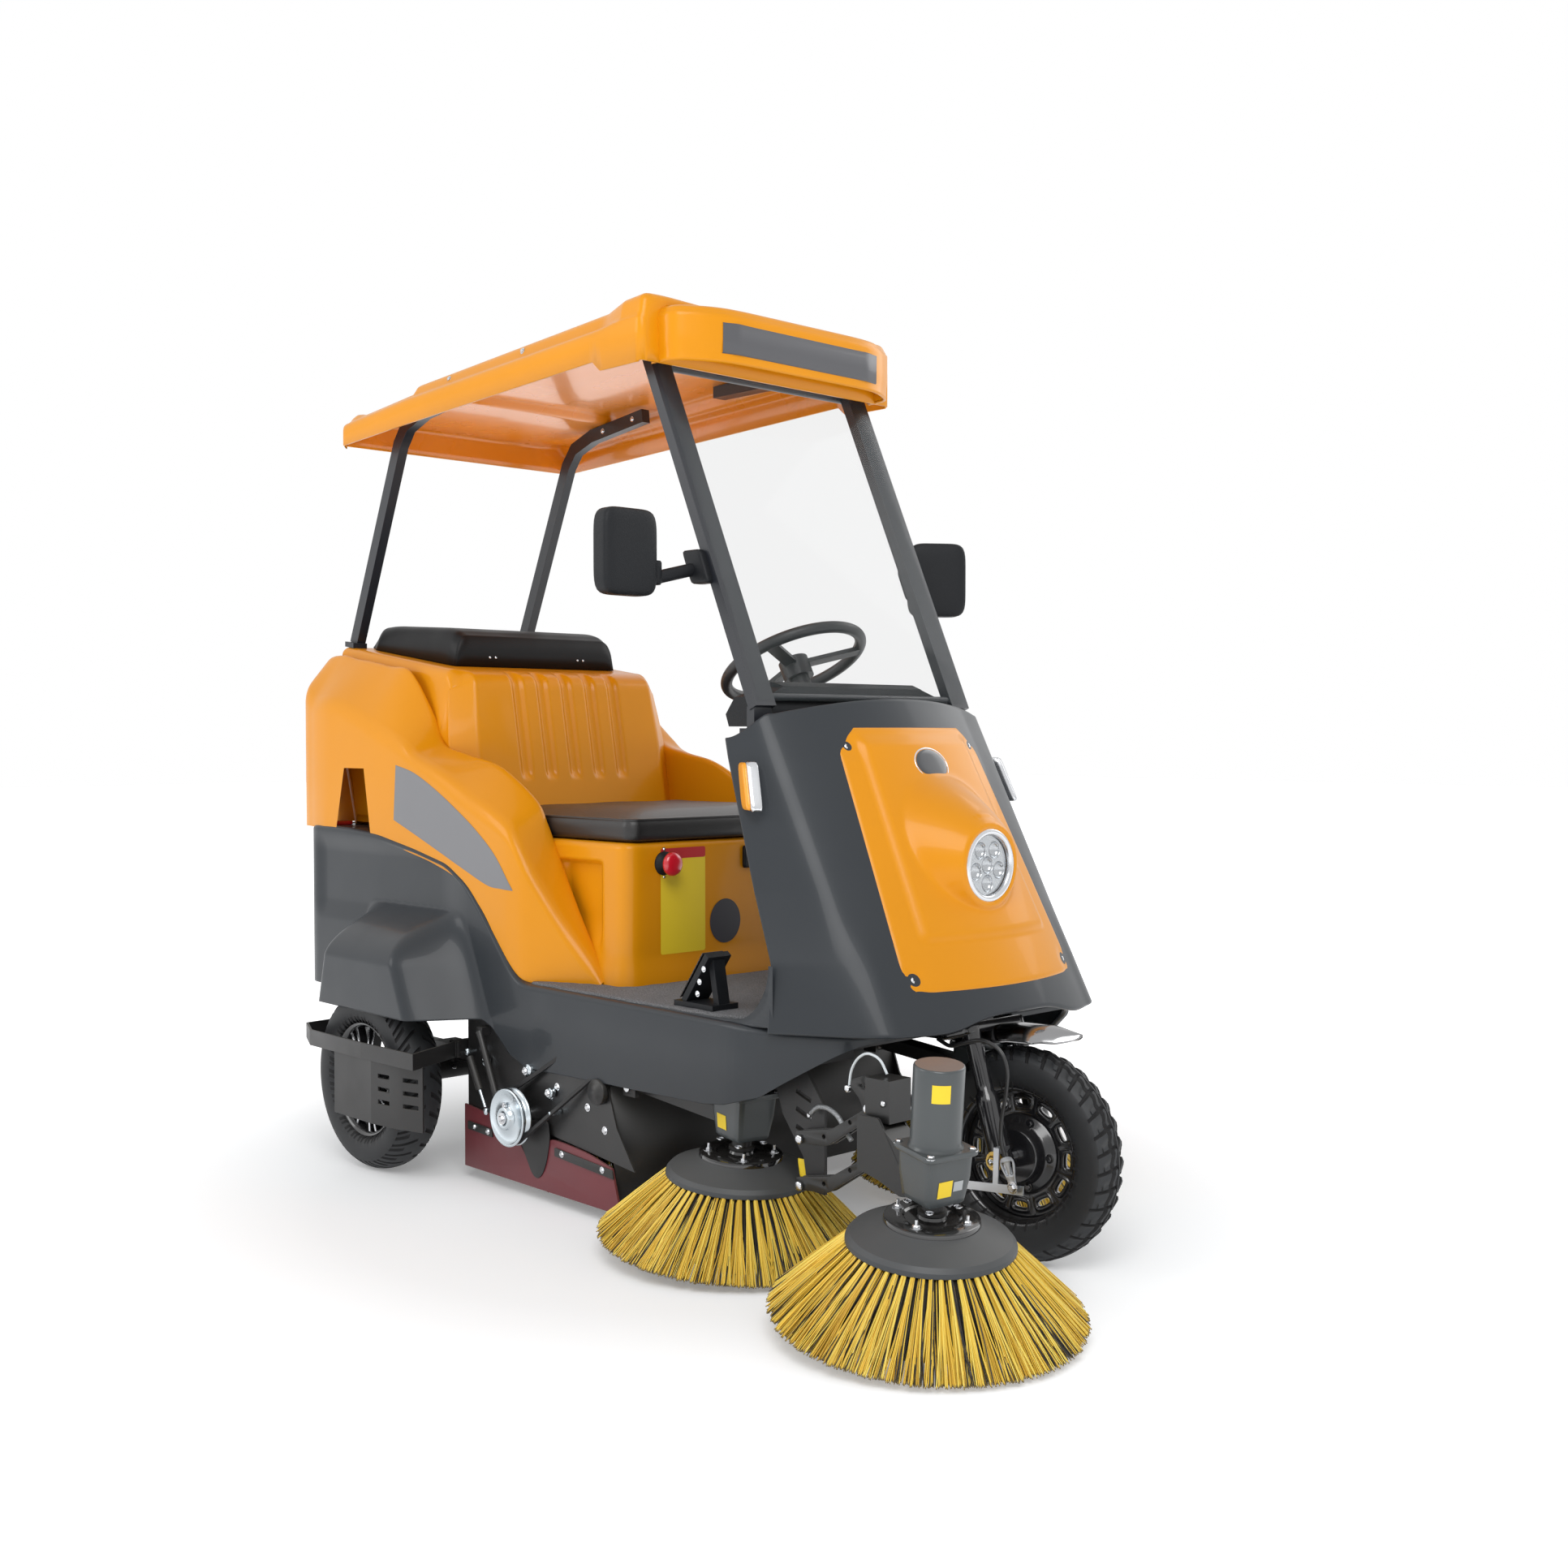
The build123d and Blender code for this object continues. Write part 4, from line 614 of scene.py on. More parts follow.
turned("lamp_bezel", [(60, 1444), (61, 1449), (66, 1453), (72, 1452), (76.5, 1447), (77, 1440), (77, 1426)],
       bright_steel, "chassis", (0, 0, 782), (1, 0, 0), segments=72)
lamp_silver, tree, shader = paint("lamp_silver", (0.60, 0.62, 0.64), 0.16, metallic=1.0)
g = np.linspace(-61, 61, 123)
a, b = np.meshgrid(g, g, indexing="ij")
disc_a = a * np.sqrt(np.clip(1 - b ** 2 / (2 * 61 ** 2), 0, 1))
disc_b = b * np.sqrt(np.clip(1 - a ** 2 / (2 * 61 ** 2), 0, 1))
# one cup in the middle and five round it
cup_radius, cup_depth, cup_circle = 17.5, 13, 37
cups = np.full_like(a, 6.0)
for index in range(6):
    cy = 0.0 if index == 0 else cup_circle * math.sin(math.radians(72 * index + 36))
    cz = 0.0 if index == 0 else cup_circle * math.cos(math.radians(72 * index + 36))
    near = np.hypot(disc_a - cy, disc_b - cz)
    cups = np.where(near < cup_radius, 6 - cup_depth * np.sqrt(np.clip(1 - (near / cup_radius) ** 2, 0, 1)), cups)
reflectors = sheet("lamp_reflectors", np.stack([1436 + cups, disc_a, 782 + disc_b], -1), lamp_silver, "chassis")
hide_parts("headlamp")

lamp_glass, tree, shader = paint("lamp_glass", (0.30, 0.32, 0.34), 0.12)
shader.inputs["Alpha"].default_value = 0.12
shader.inputs["IOR"].default_value = 1.45
turned("lamp_glass", [(0.01, 1451.5), (30, 1451), (60.5, 1449), (60.5, 1447), (30, 1449), (0.01, 1449.5)],
       lamp_glass, "chassis", (0, 0, 782), (1, 0, 0), segments=64)

badge_face = finished("badge_face", (0.035, 0.037, 0.042), 0.3, smooth_finish, coat=0.5, dust=0.05)
v = np.linspace(0, 1, 14)
w = np.linspace(0, 2 * math.pi, 65)[:-1]
ring_y = 47 * v[:, None] * np.cos(w)[None, :]
ring_z = 984 + 32 * v[:, None] * np.sin(w)[None, :]
dome = 4.5 * np.sqrt(np.clip(1 - v ** 8, 0, 1))[:, None]
badge = sheet("badge", np.stack([cowl_x(ring_y, ring_z) + 20.5 + dome, ring_y, ring_z], -1), badge_face, "chassis",
              wrap=True, flip=True)
loop = np.linspace(0, 2 * math.pi, 65)[:-1]
rim_turn = np.linspace(0, 2 * math.pi, 9)[:-1]
ry = (48 + 1.8 * np.cos(rim_turn))[:, None] * np.cos(loop)[None, :]
rz = 984 + (33 + 1.8 * np.cos(rim_turn))[:, None] * np.sin(loop)[None, :]
rim_x = cowl_x(ry, rz) + 21.5 + 1.8 * np.sin(rim_turn)[:, None]
rim_points = np.stack([rim_x, ry, rz], -1)
badge_rim = sheet("badge_rim", np.concatenate([rim_points, rim_points[:1]]), bright_steel, "chassis", wrap=True,
                  flip=True)

screw_spots = [(side * (np.interp(sz, (545, 1060), (258, 208)) - 24), sz) for side in (-1, 1) for sz in (572, 1020)]
for index, (sy, sz) in enumerate(screw_spots):
    centre = (float(cowl_x(np.array(sy), np.array(sz))) + 5.5, float(sy), float(sz))
    turned(f"nose_screw_{index}", [(0.01, 1.0), (2.5, 1.2), (3, 4), (7, 3.4), (8.6, 1), (8.6, -3)],
           bright_steel, "chassis", centre, (0.88, 0.0, 0.47), segments=20)

# ---------------------------------------------------------------- canopy
# Orange glass-fibre roof, open below: a plain side band, a raised deck, small horns at its corners
# and a bowed band with a blank sign plate at the front. Screws hold the deck to its dark arms.
canopy_inside = finished("canopy_inside", (0.80, 0.24, 0.006), 0.28, smooth_finish, tint=0.12, bump=0.3, dust=0.0,
                         coat=0.5)
x = np.concatenate([np.linspace(-446, -300, 12), np.linspace(-290, -100, 30), np.linspace(-90, 700, 60),
                    np.linspace(706, 800, 24)])
half = np.interp(x, (-460, -150, 700, 816), (372, 378, 386, 386))
low = np.interp(x, (-460, -150, 646, 672, 816), (1808, 1822, 1856, 1833, 1833))
shoulder = np.interp(x, (-460, -150, 700, 816), (1860, 1884, 1925, 1926))
deck = np.interp(x, (-460, -148, -132, 700, 816), (1880, 1908, 1927, 1976, 1982))
deck_y = np.interp(x, (-460, 640, 740, 816), (338, 338, 372, 374))
ledge_y = np.interp(x, (-460, 640, 740, 816), (352, 352, 380, 382))
horn = 12 * np.exp(-((x + 432) / 24) ** 2)
corners = np.stack([
    np.stack([x, half, low], -1), np.stack([x, half, shoulder], -1),
    np.stack([x, ledge_y, np.maximum(shoulder + 9, 0)], -1), np.stack([x, deck_y, deck + horn], -1),
    np.stack([x, deck_y - 60, deck + 2 + horn * 0.2], -1), np.stack([x, 0 * x, deck + 4 - 14 * step(690, 790, x)], -1),
], axis=1)
half_section = rounded_path(corners, (15, 9, 20, 30), steps=6)
inner = half_section[:, -1:] + (half_section[:, -2:-1] - half_section[:, -1:]) * np.linspace(0, 1, 16)[None, :-1, None]
one_side = np.concatenate([half_section[:, :-2], inner[:, ::-1]], axis=1)
other = one_side[:, ::-1][:, 1:].copy()
other[..., 1] *= -1
rows = np.concatenate([one_side, other], axis=1)


def closed_end(row, low_z, move, steps=6, roll=16.0):
    """Rows that round an open section over its end and drop it as a wall to its lower edge."""
    middle = np.array((row[:, 0].mean(), 0, low_z))
    out = []
    for turn in np.linspace(0, math.pi / 2, steps)[1:]:
        shrink = roll * (1 - math.cos(turn))
        moved = row.copy()
        moved[:, 1] -= np.sign(row[:, 1]) * np.minimum(shrink, np.abs(row[:, 1]))
        moved[:, 2] = np.maximum(row[:, 2] - shrink * step(low_z, low_z + 40, row[:, 2]), low_z)
        moved[:, 0] += move * math.sin(turn)
        out.append(moved)
    last = out[-1].copy()
    last[:, 2] = low_z
    for part in np.linspace(0.25, 1, 4):
        out.append(out[steps - 2] * (1 - part) + last * part)
    return np.stack(out)


rows = np.concatenate([closed_end(rows[0], 1808, -14)[::-1], rows, closed_end(rows[-1], 1836, 16)])
canopy = sheet("canopy_shell", rows, orange_gelcoat, "chassis", thickness=7)
canopy.data.materials.append(canopy_inside)
canopy.modifiers["wall"].material_offset = 1
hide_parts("canopy")

# bowed front band
bow = rounded_path(np.array([(792, -338), (858, -332), (900, -262), (915, -200), (915, 200), (900, 262),
                             (858, 332), (792, 338)], dtype=float), (26, 50, 60, 60, 50, 26), steps=8)
bow = resample(bow, 150)
bow_out = np.gradient(bow, axis=0)
bow_out = np.stack([bow_out[:, 1], -bow_out[:, 0]], -1)
bow_out /= np.linalg.norm(bow_out, axis=1, keepdims=True)
levels = np.concatenate([[1838], np.linspace(1836, 1938, 14), 1938 + 18 * np.sin(np.linspace(0.2, math.pi / 2, 7))])
moves = np.concatenate([[-6], np.zeros(14), -18 * (1 - np.cos(np.linspace(0.2, math.pi / 2, 7)))])
moves[1:15] += 3 * step(1850, 1890, levels[1:15])
band_rows = np.stack([bow[:, 0][None] + bow_out[:, 0][None] * moves[:, None],
                      bow[:, 1][None] + bow_out[:, 1][None] * moves[:, None],
                      np.repeat(levels[:, None], len(bow), 1)], -1)
back = band_rows[-1].copy()
back[:, 0] = np.minimum(back[:, 0], 786)
back[:, 2] = 1966
roof_band = sheet("canopy_band", np.concatenate([band_rows, back[None]]), orange_gelcoat, "chassis", thickness=6)
sign_face = finished("sign_face", (0.075, 0.075, 0.082), 0.45, smooth_finish, dust=0.1, coat=0.2)
sign_y = np.linspace(-238, 238, 60)
sign_rows = []
for level, lift in ((1856, -2), (1858, 1), (1920, 2), (1922, -1)):
    sign_rows.append(np.stack([np.interp(np.abs(sign_y), (0, 200, 262), (918.4, 918.4, 903.6)) + lift - 1, sign_y,
                               np.full(60, float(level))], -1))
sign = sheet("sign_plate", np.stack(sign_rows), sign_face, "chassis")
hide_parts("roof_sign")


def fasteners(name, spots, axis, size, material, body, washer=True):
    """Hexagon heads on washers, one at each spot, with size the head's radius; all in one mesh."""
    axis = np.asarray(axis, dtype=float) / np.linalg.norm(axis)
    helper = np.array((0, 0, 1)) if abs(axis[2]) < 0.9 else np.array((1, 0, 0))
    first = np.cross(helper, axis)
    first /= np.linalg.norm(first)
    second = np.cross(axis, first)
    layers = [(0.01, 0.85, 6), (0.72, 0.85, 6), (1.0, 0.6, 6), (1.0, 0.12, 6)]
    if washer:
        layers = [(0.01, 0.85, 6), (0.72, 0.85, 6), (1.0, 0.6, 6), (1.0, 0.16, 6), (1.5, 0.14, 12), (1.5, -0.1, 12)]
    turn = np.linspace(0, 2 * math.pi, 13)[:-1]
    points = []
    for radius, height, sides in layers:
        flat = np.cos(math.pi / 6) / np.cos((turn % (math.pi / 3)) - math.pi / 6) if sides == 6 else 1.0
        points.append(size * radius * flat * np.ones_like(turn))
    radii = np.stack(points)
    heights = np.array([layer[1] for layer in layers]) * size
    shape = (radii[..., None] * (first * np.cos(turn)[None, :, None] + second * np.sin(turn)[None, :, None])
             + heights[:, None, None] * axis)
    spots = np.asarray(spots, dtype=float)
    count, rings = len(spots), len(layers)
    vertices = (spots[:, None, None, :] + shape[None]).reshape(-1, 3)
    ring_index, column = np.meshgrid(np.arange(rings - 1), np.arange(12), indexing="ij")
    after = (column + 1) % 12
    one = np.stack([ring_index * 12 + column, ring_index * 12 + after, (ring_index + 1) * 12 + after,
                    (ring_index + 1) * 12 + column], -1).reshape(-1, 4)
    faces = (one[None] + (np.arange(count) * rings * 12)[:, None, None]).reshape(-1, 4)
    mesh = bpy.data.meshes.new(name)
    mesh.from_pydata(metres(vertices).tolist(), [], faces[:, ::-1].tolist())
    mesh.shade_flat()
    piece = bpy.data.objects.new(name, mesh)
    bpy.context.scene.collection.objects.link(piece)
    mesh.materials.append(material)
    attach(piece, body)
    return piece


fasteners("deck_screws", [(330, side * 345.5, 1936) for side in (-1, 1)] + [(20, side * 345.5, 1917) for side in (-1,
        1)],
          (0, -1, 0.2), 5, bright_steel, "chassis")


def dressed(node, material, edge=2.0, segments=2, name=None, angle=32):
    """Copy of a CAD node with its triangles merged, flat faces joined, edges rounded and shading made even."""
    mesh = frame["nodes"][node].data.copy()
    mesh.materials.clear()
    mesh.materials.append(material)
    work = bmesh.new()
    work.from_mesh(mesh)
    bmesh.ops.remove_doubles(work, verts=work.verts, dist=1e-5)
    bmesh.ops.dissolve_limit(work, angle_limit=math.radians(0.6), verts=work.verts, edges=work.edges)
    work.to_mesh(mesh)
    work.free()
    for face in mesh.polygons:
        face.material_index = 0
    mesh.shade_smooth()
    mesh.set_sharp_from_angle(angle=math.radians(angle))
    piece = bpy.data.objects.new(name or node + "_finished", mesh)
    bpy.context.scene.collection.objects.link(piece)
    if edge:
        ease = piece.modifiers.new("eased_edges", "BEVEL")
        ease.width = edge / 1000.0
        ease.segments = segments
        ease.limit_method = "ANGLE"
        ease.angle_limit = math.radians(angle)
        ease.harden_normals = True
    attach(piece, body_of_node[node])
    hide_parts(node)
    return piece


# ---------------------------------------------------------------- posts, windscreen and mirrors
# Square steel posts and windscreen pillars in blue-black powder coat, bent over under the canopy and
# bolted to it; a flat glass windscreen on the pillars, and moulded mirrors on clamps.
post_paint = finished("post_paint", (0.012, 0.014, 0.019), 0.38, smooth_finish, tint=0.2, spread=0.2, bump=0.12,
                      dust=0.2,
                      coat=0.15)
for node in ("rear_post_right", "rear_post_left", "windscreen_frame"):
    dressed(node, post_paint, edge=3.0)
fasteners("arm_screws", [(x, side * 287.5, z) for side in (-1, 1) for x, z in ((330, 1932), (600, 1930))],
          (0, 1, 0), 5, bright_steel, "chassis")
fasteners("post_screws", [(x, side * 259.5, z) for side in (-1, 1) for x, z in ((-150, 1884), (-20, 1900))],
          (0, -1, 0), 5, bright_steel, "chassis")

screen_glass, tree, shader = paint("screen_glass", (0.10, 0.12, 0.12), 0.02)
shader.inputs["IOR"].default_value = 1.45
shader.inputs["Alpha"].default_value = 0.07
shader.inputs["Specular IOR Level"].default_value = 0.5
dressed("windscreen", screen_glass, edge=1.0)

grained_black = finished("grained_black", (0.007, 0.008, 0.010), 0.5, grain_finish, tint=0.15, spread=0.2, bump=0.35,
                         dust=0.06)
grained_black.node_tree.nodes["Principled BSDF"].inputs["Specular IOR Level"].default_value = 0.25


def pillow(name, centre, half_size, turn_z, material, body, power=5.0, count=28, lean=0.0):
    """Closed rounded box: each point of a sphere is pushed out to a superellipsoid of the given power."""
    polar = np.linspace(-math.pi / 2, math.pi / 2, count)
    round_angle = np.linspace(0, 2 * math.pi, count * 2 + 1)[:-1]
    direction = np.stack([np.cos(polar)[:, None] * np.cos(round_angle)[None],
                          np.cos(polar)[:, None] * np.sin(round_angle)[None],
                          np.sin(polar)[:, None] * np.ones_like(round_angle)[None]], -1)
    reach = (np.abs(direction) ** power).sum(-1, keepdims=True) ** (-1 / power)
    points = direction * reach * np.asarray(half_size, dtype=float)
    points[..., 0] += points[..., 2] * lean
    c, s = math.cos(turn_z), math.sin(turn_z)
    points = np.stack([points[..., 0] * c - points[..., 1] * s, points[..., 0] * s + points[..., 1] * c,
                       points[..., 2]], -1) + np.asarray(centre, dtype=float)
    piece = sheet(name, points, material, body, wrap=True)
    return piece


mirror_face, tree, shader = paint("mirror_face", (0.72, 0.75, 0.78), 0.03, metallic=1.0)
for side, name, reach, swing in ((-1, "mirror_right", 165, 0.0), (1, "mirror_left", 95, -35.0)):
    turn_z = math.radians(swing)
    centre = np.array((918, side * (345 + reach), 1414))
    shell = pillow(name + "_shell", centre, (25, 69, 88), turn_z, grained_black, "chassis", power=6.0, count=40)
    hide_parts(name)
    back = np.array((-math.cos(turn_z), -math.sin(turn_z), 0))
    glass = pillow(name + "_glass", centre + back * 22.5, (3, 60, 79), turn_z, mirror_face, "chassis", power=9.0,
                   count=24)
    knuckle = centre + np.array((2, -side * 62, -34.0))
    turned(name + "_knuckle", [(0.01, 22), (13, 21), (15, 17), (15, -24), (12, -28), (0.01, -29)], grained_black,
           "chassis",
           knuckle + np.array((0, -side * 12, 0)), (0, 0, 1), segments=28)
    arm_from = knuckle + np.array((0, -side * 12, -14))
    arm_to = np.array((932, side * 338, 1390.0))
    run = np.linspace(0, 1, 6)[:, None]
    path = arm_from * (1 - run) + arm_to * run
    ring_turn = np.linspace(0, 2 * math.pi, 17)[:-1]
    arm_rows = path[:, None, :] + np.stack([10 * np.cos(ring_turn), 0 * ring_turn, 14 * np.sin(ring_turn)], -1)[None]
    sheet(name + "_arm", arm_rows, grained_black, "chassis", wrap=True, flip=side > 0)
    clamp = pillow(name + "_clamp", (942, side * 332, 1394), (28, 15, 36), 0.0, grained_black, "chassis", power=10.0,
                   count=24, lean=-0.42)

# ---------------------------------------------------------------- dash, steering wheel, lamps and switches
# Black grained dash moulding with the steering column through it; amber indicators in bright holders,
# red tail lamps, and the mushroom stop switch with its latch on the seat box.
dressed("dash", grained_black, edge=7.0, segments=3)
wheel_rubber = finished("wheel_rubber", (0.018, 0.018, 0.019), 0.42, grain_finish, tint=0.1, spread=0.15, bump=0.2,
                        dust=0.1)
dressed("steering_wheel", wheel_rubber, edge=2.0)
for side, name in ((-1, "indicator_right"), (1, "indicator_left")):
    turn_z = math.radians(side * 28)
    centre = np.array((1152, side * 380, 943.0))
    holder = pillow(name + "_holder", centre, (31, 12, 50), turn_z, bright_steel, "chassis", power=9.0, count=26,
                    lean=-0.42)
    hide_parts(name)
    forward = np.array((math.cos(turn_z), math.sin(turn_z), 0))
    outwards = np.array((-math.sin(turn_z), math.cos(turn_z), 0)) * side
    amber = bpy.data.materials.get("amber_lens") or finished("amber_lens", (0.86, 0.26, 0.01), 0.16, smooth_finish,
                                                            tint=0.5, bump=0.5, dust=0.0, coat=0.8)
    lens = pillow(name + "_lens", centre - forward * 5 + outwards * 4.5, (25, 14, 47), turn_z, amber, "chassis",
                  power=7.0,
                  count=26, lean=-0.42)
red_lens = finished("red_lens", (0.55, 0.02, 0.015), 0.15, smooth_finish, tint=0.3, bump=0.4, dust=0.1, coat=0.8)
for side, name in ((-1, "tail_lamp_right"), (1, "tail_lamp_left")):
    lens = pillow(name + "_lens", (-473, side * 394, 809), (33, 44, 6.5), 0.0, red_lens, "chassis", power=5.0)
    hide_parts(name)
stop_red = finished("stop_red", (0.62, 0.01, 0.025), 0.25, smooth_finish, dust=0.0, coat=0.7)
turned("stop_head", [(0.01, 43), (12, 42.6), (21, 40), (26.5, 34), (27, 29), (22, 24), (15, 22), (15, 16)], stop_red,
       "chassis", (700, -230, 757), (1, 0, 0))
collar = turned("stop_collar", [(12, 20), (16, 19), (19, 15), (20, 8), (26, 6), (27, 0.4)], grained_black, "chassis",
                (700, -230, 757), (1, 0, 0))
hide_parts("stop_button")
fasteners("stop_screws", [(700, -230, 788), (700, -230, 726)], (1, 0, 0), 3.4, bright_steel, "chassis")
pillow("seat_latch", (704, 20, 760), (5, 13, 26), 0.0, grained_black, "chassis", power=8.0, count=20)

# ---------------------------------------------------------------- lid over the bin
# Black plastic lid on the hood, hinged along its front edge, with a raised step and hinge screws.
lid_plastic = finished("lid_plastic", (0.0055, 0.0055, 0.006), 0.45, smooth_finish, tint=0.2, spread=0.16, bump=0.3,
                       dust=0.0)
lid_plastic.node_tree.nodes["Principled BSDF"].inputs["Specular IOR Level"].default_value = 0.22
x = np.linspace(-540, -103, 90)
base_z = hood_height(x) + 0.6
crown = np.interp(x, (-540, -500, -430, -163, -118, -103), (1318, 1332, 1334, 1318, 1306, 1290))
crown = np.convolve(np.pad(crown, 4, mode="edge"), np.ones(9) / 9, mode="valid")
wide = 256 - 26 * (1 - step(-540, -470, x)) - 3 * step(-130, -103, x)
corners = np.stack([np.stack([x, -wide, base_z], -1), np.stack([x, -wide + 10, crown - 26], -1),
                    np.stack([x, -wide + 26, crown - 1], -1), np.stack([x, wide - 26, crown - 1], -1),
                    np.stack([x, wide - 10, crown - 26], -1), np.stack([x, wide, base_z], -1)], axis=1)
section = rounded_path(corners, (14, 16, 16, 14), steps=6)
front_end = section[-1].copy()
front_end[:, 2] = np.minimum(front_end[:, 2], hood_height(-103) + 0.6)
rear_end = section[0].copy()
rear_end[:, 2] = hood_height(-540) + 0.6
roll_front = section[-1] * 0.5 + front_end * 0.5
roll_rear = section[0] * 0.5 + rear_end * 0.5
lid = sheet("lid_shell", np.concatenate([rear_end[None], roll_rear[None], section, roll_front[None], front_end[None]]),
            lid_plastic, "lid", thickness=4)
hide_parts("rear_lid")
pillow("lid_step", (-110, 0, 1260), (9, 190, 26), 0.0, lid_plastic, "lid", power=8.0)
fasteners("lid_screws", [(-100.6, y, 1244) for y in (-150, -132, 132, 150)], (1, 0, 0), 3.4, bright_steel, "lid")

# ---------------------------------------------------------------- seat cushion
# Black leathercloth over foam, with a low crown, a piped seam round the top and plain boxed sides.
# It rests on the seat box and is held by its own hooks.
seat_leather = finished("seat_leather", (0.009, 0.008, 0.008), 0.42, grain_finish, tint=0.2, spread=0.25, bump=0.3,
                        dust=0.12,
                        coat=0.1)


def rounded_loop(x0, x1, y0, y1, radius, per_corner=12, per_side=24):
    """Closed loop round a rectangle with round corners, with its outward direction at each point."""
    points, normals = [], []
    for cx, cy, start in ((x1 - radius, y1 - radius, 0), (x0 + radius, y1 - radius, 90),
                          (x0 + radius, y0 + radius, 180), (x1 - radius, y0 + radius, 270)):
        angle = np.radians(np.linspace(start, start + 90, per_corner))
        points.append(np.stack([cx + radius * np.cos(angle), cy + radius * np.sin(angle)], -1))
        normals.append(np.stack([np.cos(angle), np.sin(angle)], -1))
    loop_points, loop_normals = [], []
    for index in range(4):
        loop_points.append(points[index])
        loop_normals.append(normals[index])
        share = np.linspace(0, 1, per_side + 2)[1:-1, None]
        loop_points.append(points[index][-1] * (1 - share) + points[(index + 1) % 4][0] * share)
        loop_normals.append(np.repeat(normals[index][-1:], per_side, 0))
    return np.concatenate(loop_points), np.concatenate(loop_normals)


loop, out = rounded_loop(110, 706, -329, 329, 34)
middle = np.array((405.0, 0.0))
span = np.array((300.0, 330.0))
corner_pull = np.prod(np.abs((loop - middle) / span), axis=1)
rings = []
# boxed side, from the underside out over the edge to the piping, then the crowned top
for move, height in ((-16, 807), (-7, 808.5), (-1, 814), (0.5, 822), (1.5, 834), (0.5, 846), (-2, 851.5),
                     (-2.6, 852.6), (-1.2, 854), (-1.0, 856.2), (-2.6, 858.2), (-5, 858.6), (-6.2, 857.4)):
    ring = np.concatenate([loop + out * (move - 4 * corner_pull[:, None]), np.full((len(loop), 1), float(height))], 1)
    rings.append(ring)
base_ring = rings[-1]
for share in np.concatenate([np.linspace(0.03, 0.3, 9), np.linspace(0.36, 1.0, 16)]):
    flat = base_ring[:, :2] * (1 - share) + middle * share
    rise = 857.2 + 20 * (1 - (1 - np.minimum(share / 0.55, 1)) ** 2.2)
    # soft hollows where people sit, and shallow puckers that run in from the corners
    rise = rise - 4.0 * np.exp(-(((flat[:, 0] - 330) / 170) ** 2 + ((np.abs(flat[:,
            1]) - 120) / 120) ** 2)) * min(share * 3, 1)
    rise = rise + 0.8 * np.sin(flat[:, 0] / 17 + flat[:, 1] / 29) * (1 - share) * corner_pull
    rings.append(np.concatenate([flat, rise[:, None]], 1))
rings.insert(0, np.concatenate([rings[0][:, :2] * 0.02 + middle * 0.98, np.full((len(loop), 1), 806.0)], 1))
cushion = sheet("seat_pad", np.stack(rings), seat_leather, "chassis", wrap=True, flip=True)
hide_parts("seat_cushion")

# ---------------------------------------------------------------- foot mat and pedals
# Grey needle-felt mat, cut by hand to the foot well so its edge wanders, laid on the floor; black
# cast pedals on brackets that are bolted through it.
mat_felt, tree, shader = paint("mat_felt", (0.16, 0.16, 0.165), 0.95)
place = tree.nodes.new("ShaderNodeTexCoord")
flock = tree.nodes.new("ShaderNodeTexNoise")
flock.inputs["Scale"].default_value = 620.0
flock.inputs["Detail"].default_value = 4.0
flock.inputs["Roughness"].default_value = 0.75
tree.links.new(place.outputs["Object"], flock.inputs["Vector"])
speckle = tree.nodes.new("ShaderNodeValToRGB")
speckle.color_ramp.elements[0].position = 0.36
speckle.color_ramp.elements[0].color = (0.010, 0.010, 0.011, 1)
speckle.color_ramp.elements[1].position = 0.66
speckle.color_ramp.elements[1].color = (0.36, 0.36, 0.37, 1)
tree.links.new(flock.outputs["Fac"], speckle.inputs["Fac"])
tree.links.new(speckle.outputs["Color"], shader.inputs["Base Color"])
felt_bump = tree.nodes.new("ShaderNodeBump")
felt_bump.inputs["Strength"].default_value = 0.9
felt_bump.inputs["Distance"].default_value = 0.003
tree.links.new(flock.outputs["Fac"], felt_bump.inputs["Height"])
tree.links.new(felt_bump.outputs["Normal"], shader.inputs["Normal"])
mat_edge = rounded_path(np.array([
    (476, 438), (500, 422), (560, 396), (640, 376), (705, 345), (705, 300), (705, -300), (705, -345), (640, -376),
    (560, -396), (500, -422), (476, -438), (900, -441), (1160, -432), (1206, -330), (1206, 330), (1160, 432),
    (900, 441),
    (476, 438),
], dtype=float), (20, 30, 30, 24, 16, 16, 24, 30, 30, 20, 8, 200, 60, 50, 50, 60, 200), steps=6)
mat_edge = resample(mat_edge, 360)[:-1]
run = np.linspace(0, 2 * math.pi, 360)[:-1]
wander = 1.8 * np.sin(17 * run) + 1.3 * np.sin(41 * run + 1.0) + 0.8 * np.sin(83 * run + 2.0)
inward = np.array((860.0, 0.0)) - mat_edge
inward /= np.linalg.norm(inward, axis=1, keepdims=True)
mat_edge = mat_edge + inward * (2.0 + np.maximum(wander, -1.5))[:, None]
rows = []
for share, height in ((0.97, 480.6), (0.002, 480.6), (0.0, 483), (0.0, 486.5), (0.006, 489), (0.02, 489.6)):
    rows.append(np.concatenate([mat_edge * (1 - share) + np.array((860.0, 0.0)) * share,
                                np.full((len(mat_edge), 1), float(height))], 1))
for share in np.linspace(0.05, 0.99, 40):
    flat = mat_edge * (1 - share) + np.array((860.0, 0.0)) * share
    ripple = 489.6 + 0.7 * np.sin(flat[:, 0] / 31) * np.sin(flat[:, 1] / 37) + 0.5 * np.sin(flat[:, 0] / 9 + flat[:,
            1] / 13)
    rows.append(np.concatenate([flat, ripple[:, None]], 1))
foot_mat = sheet("foot_mat", np.stack(rows), mat_felt, "chassis", wrap=True)
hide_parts("floor_mat")
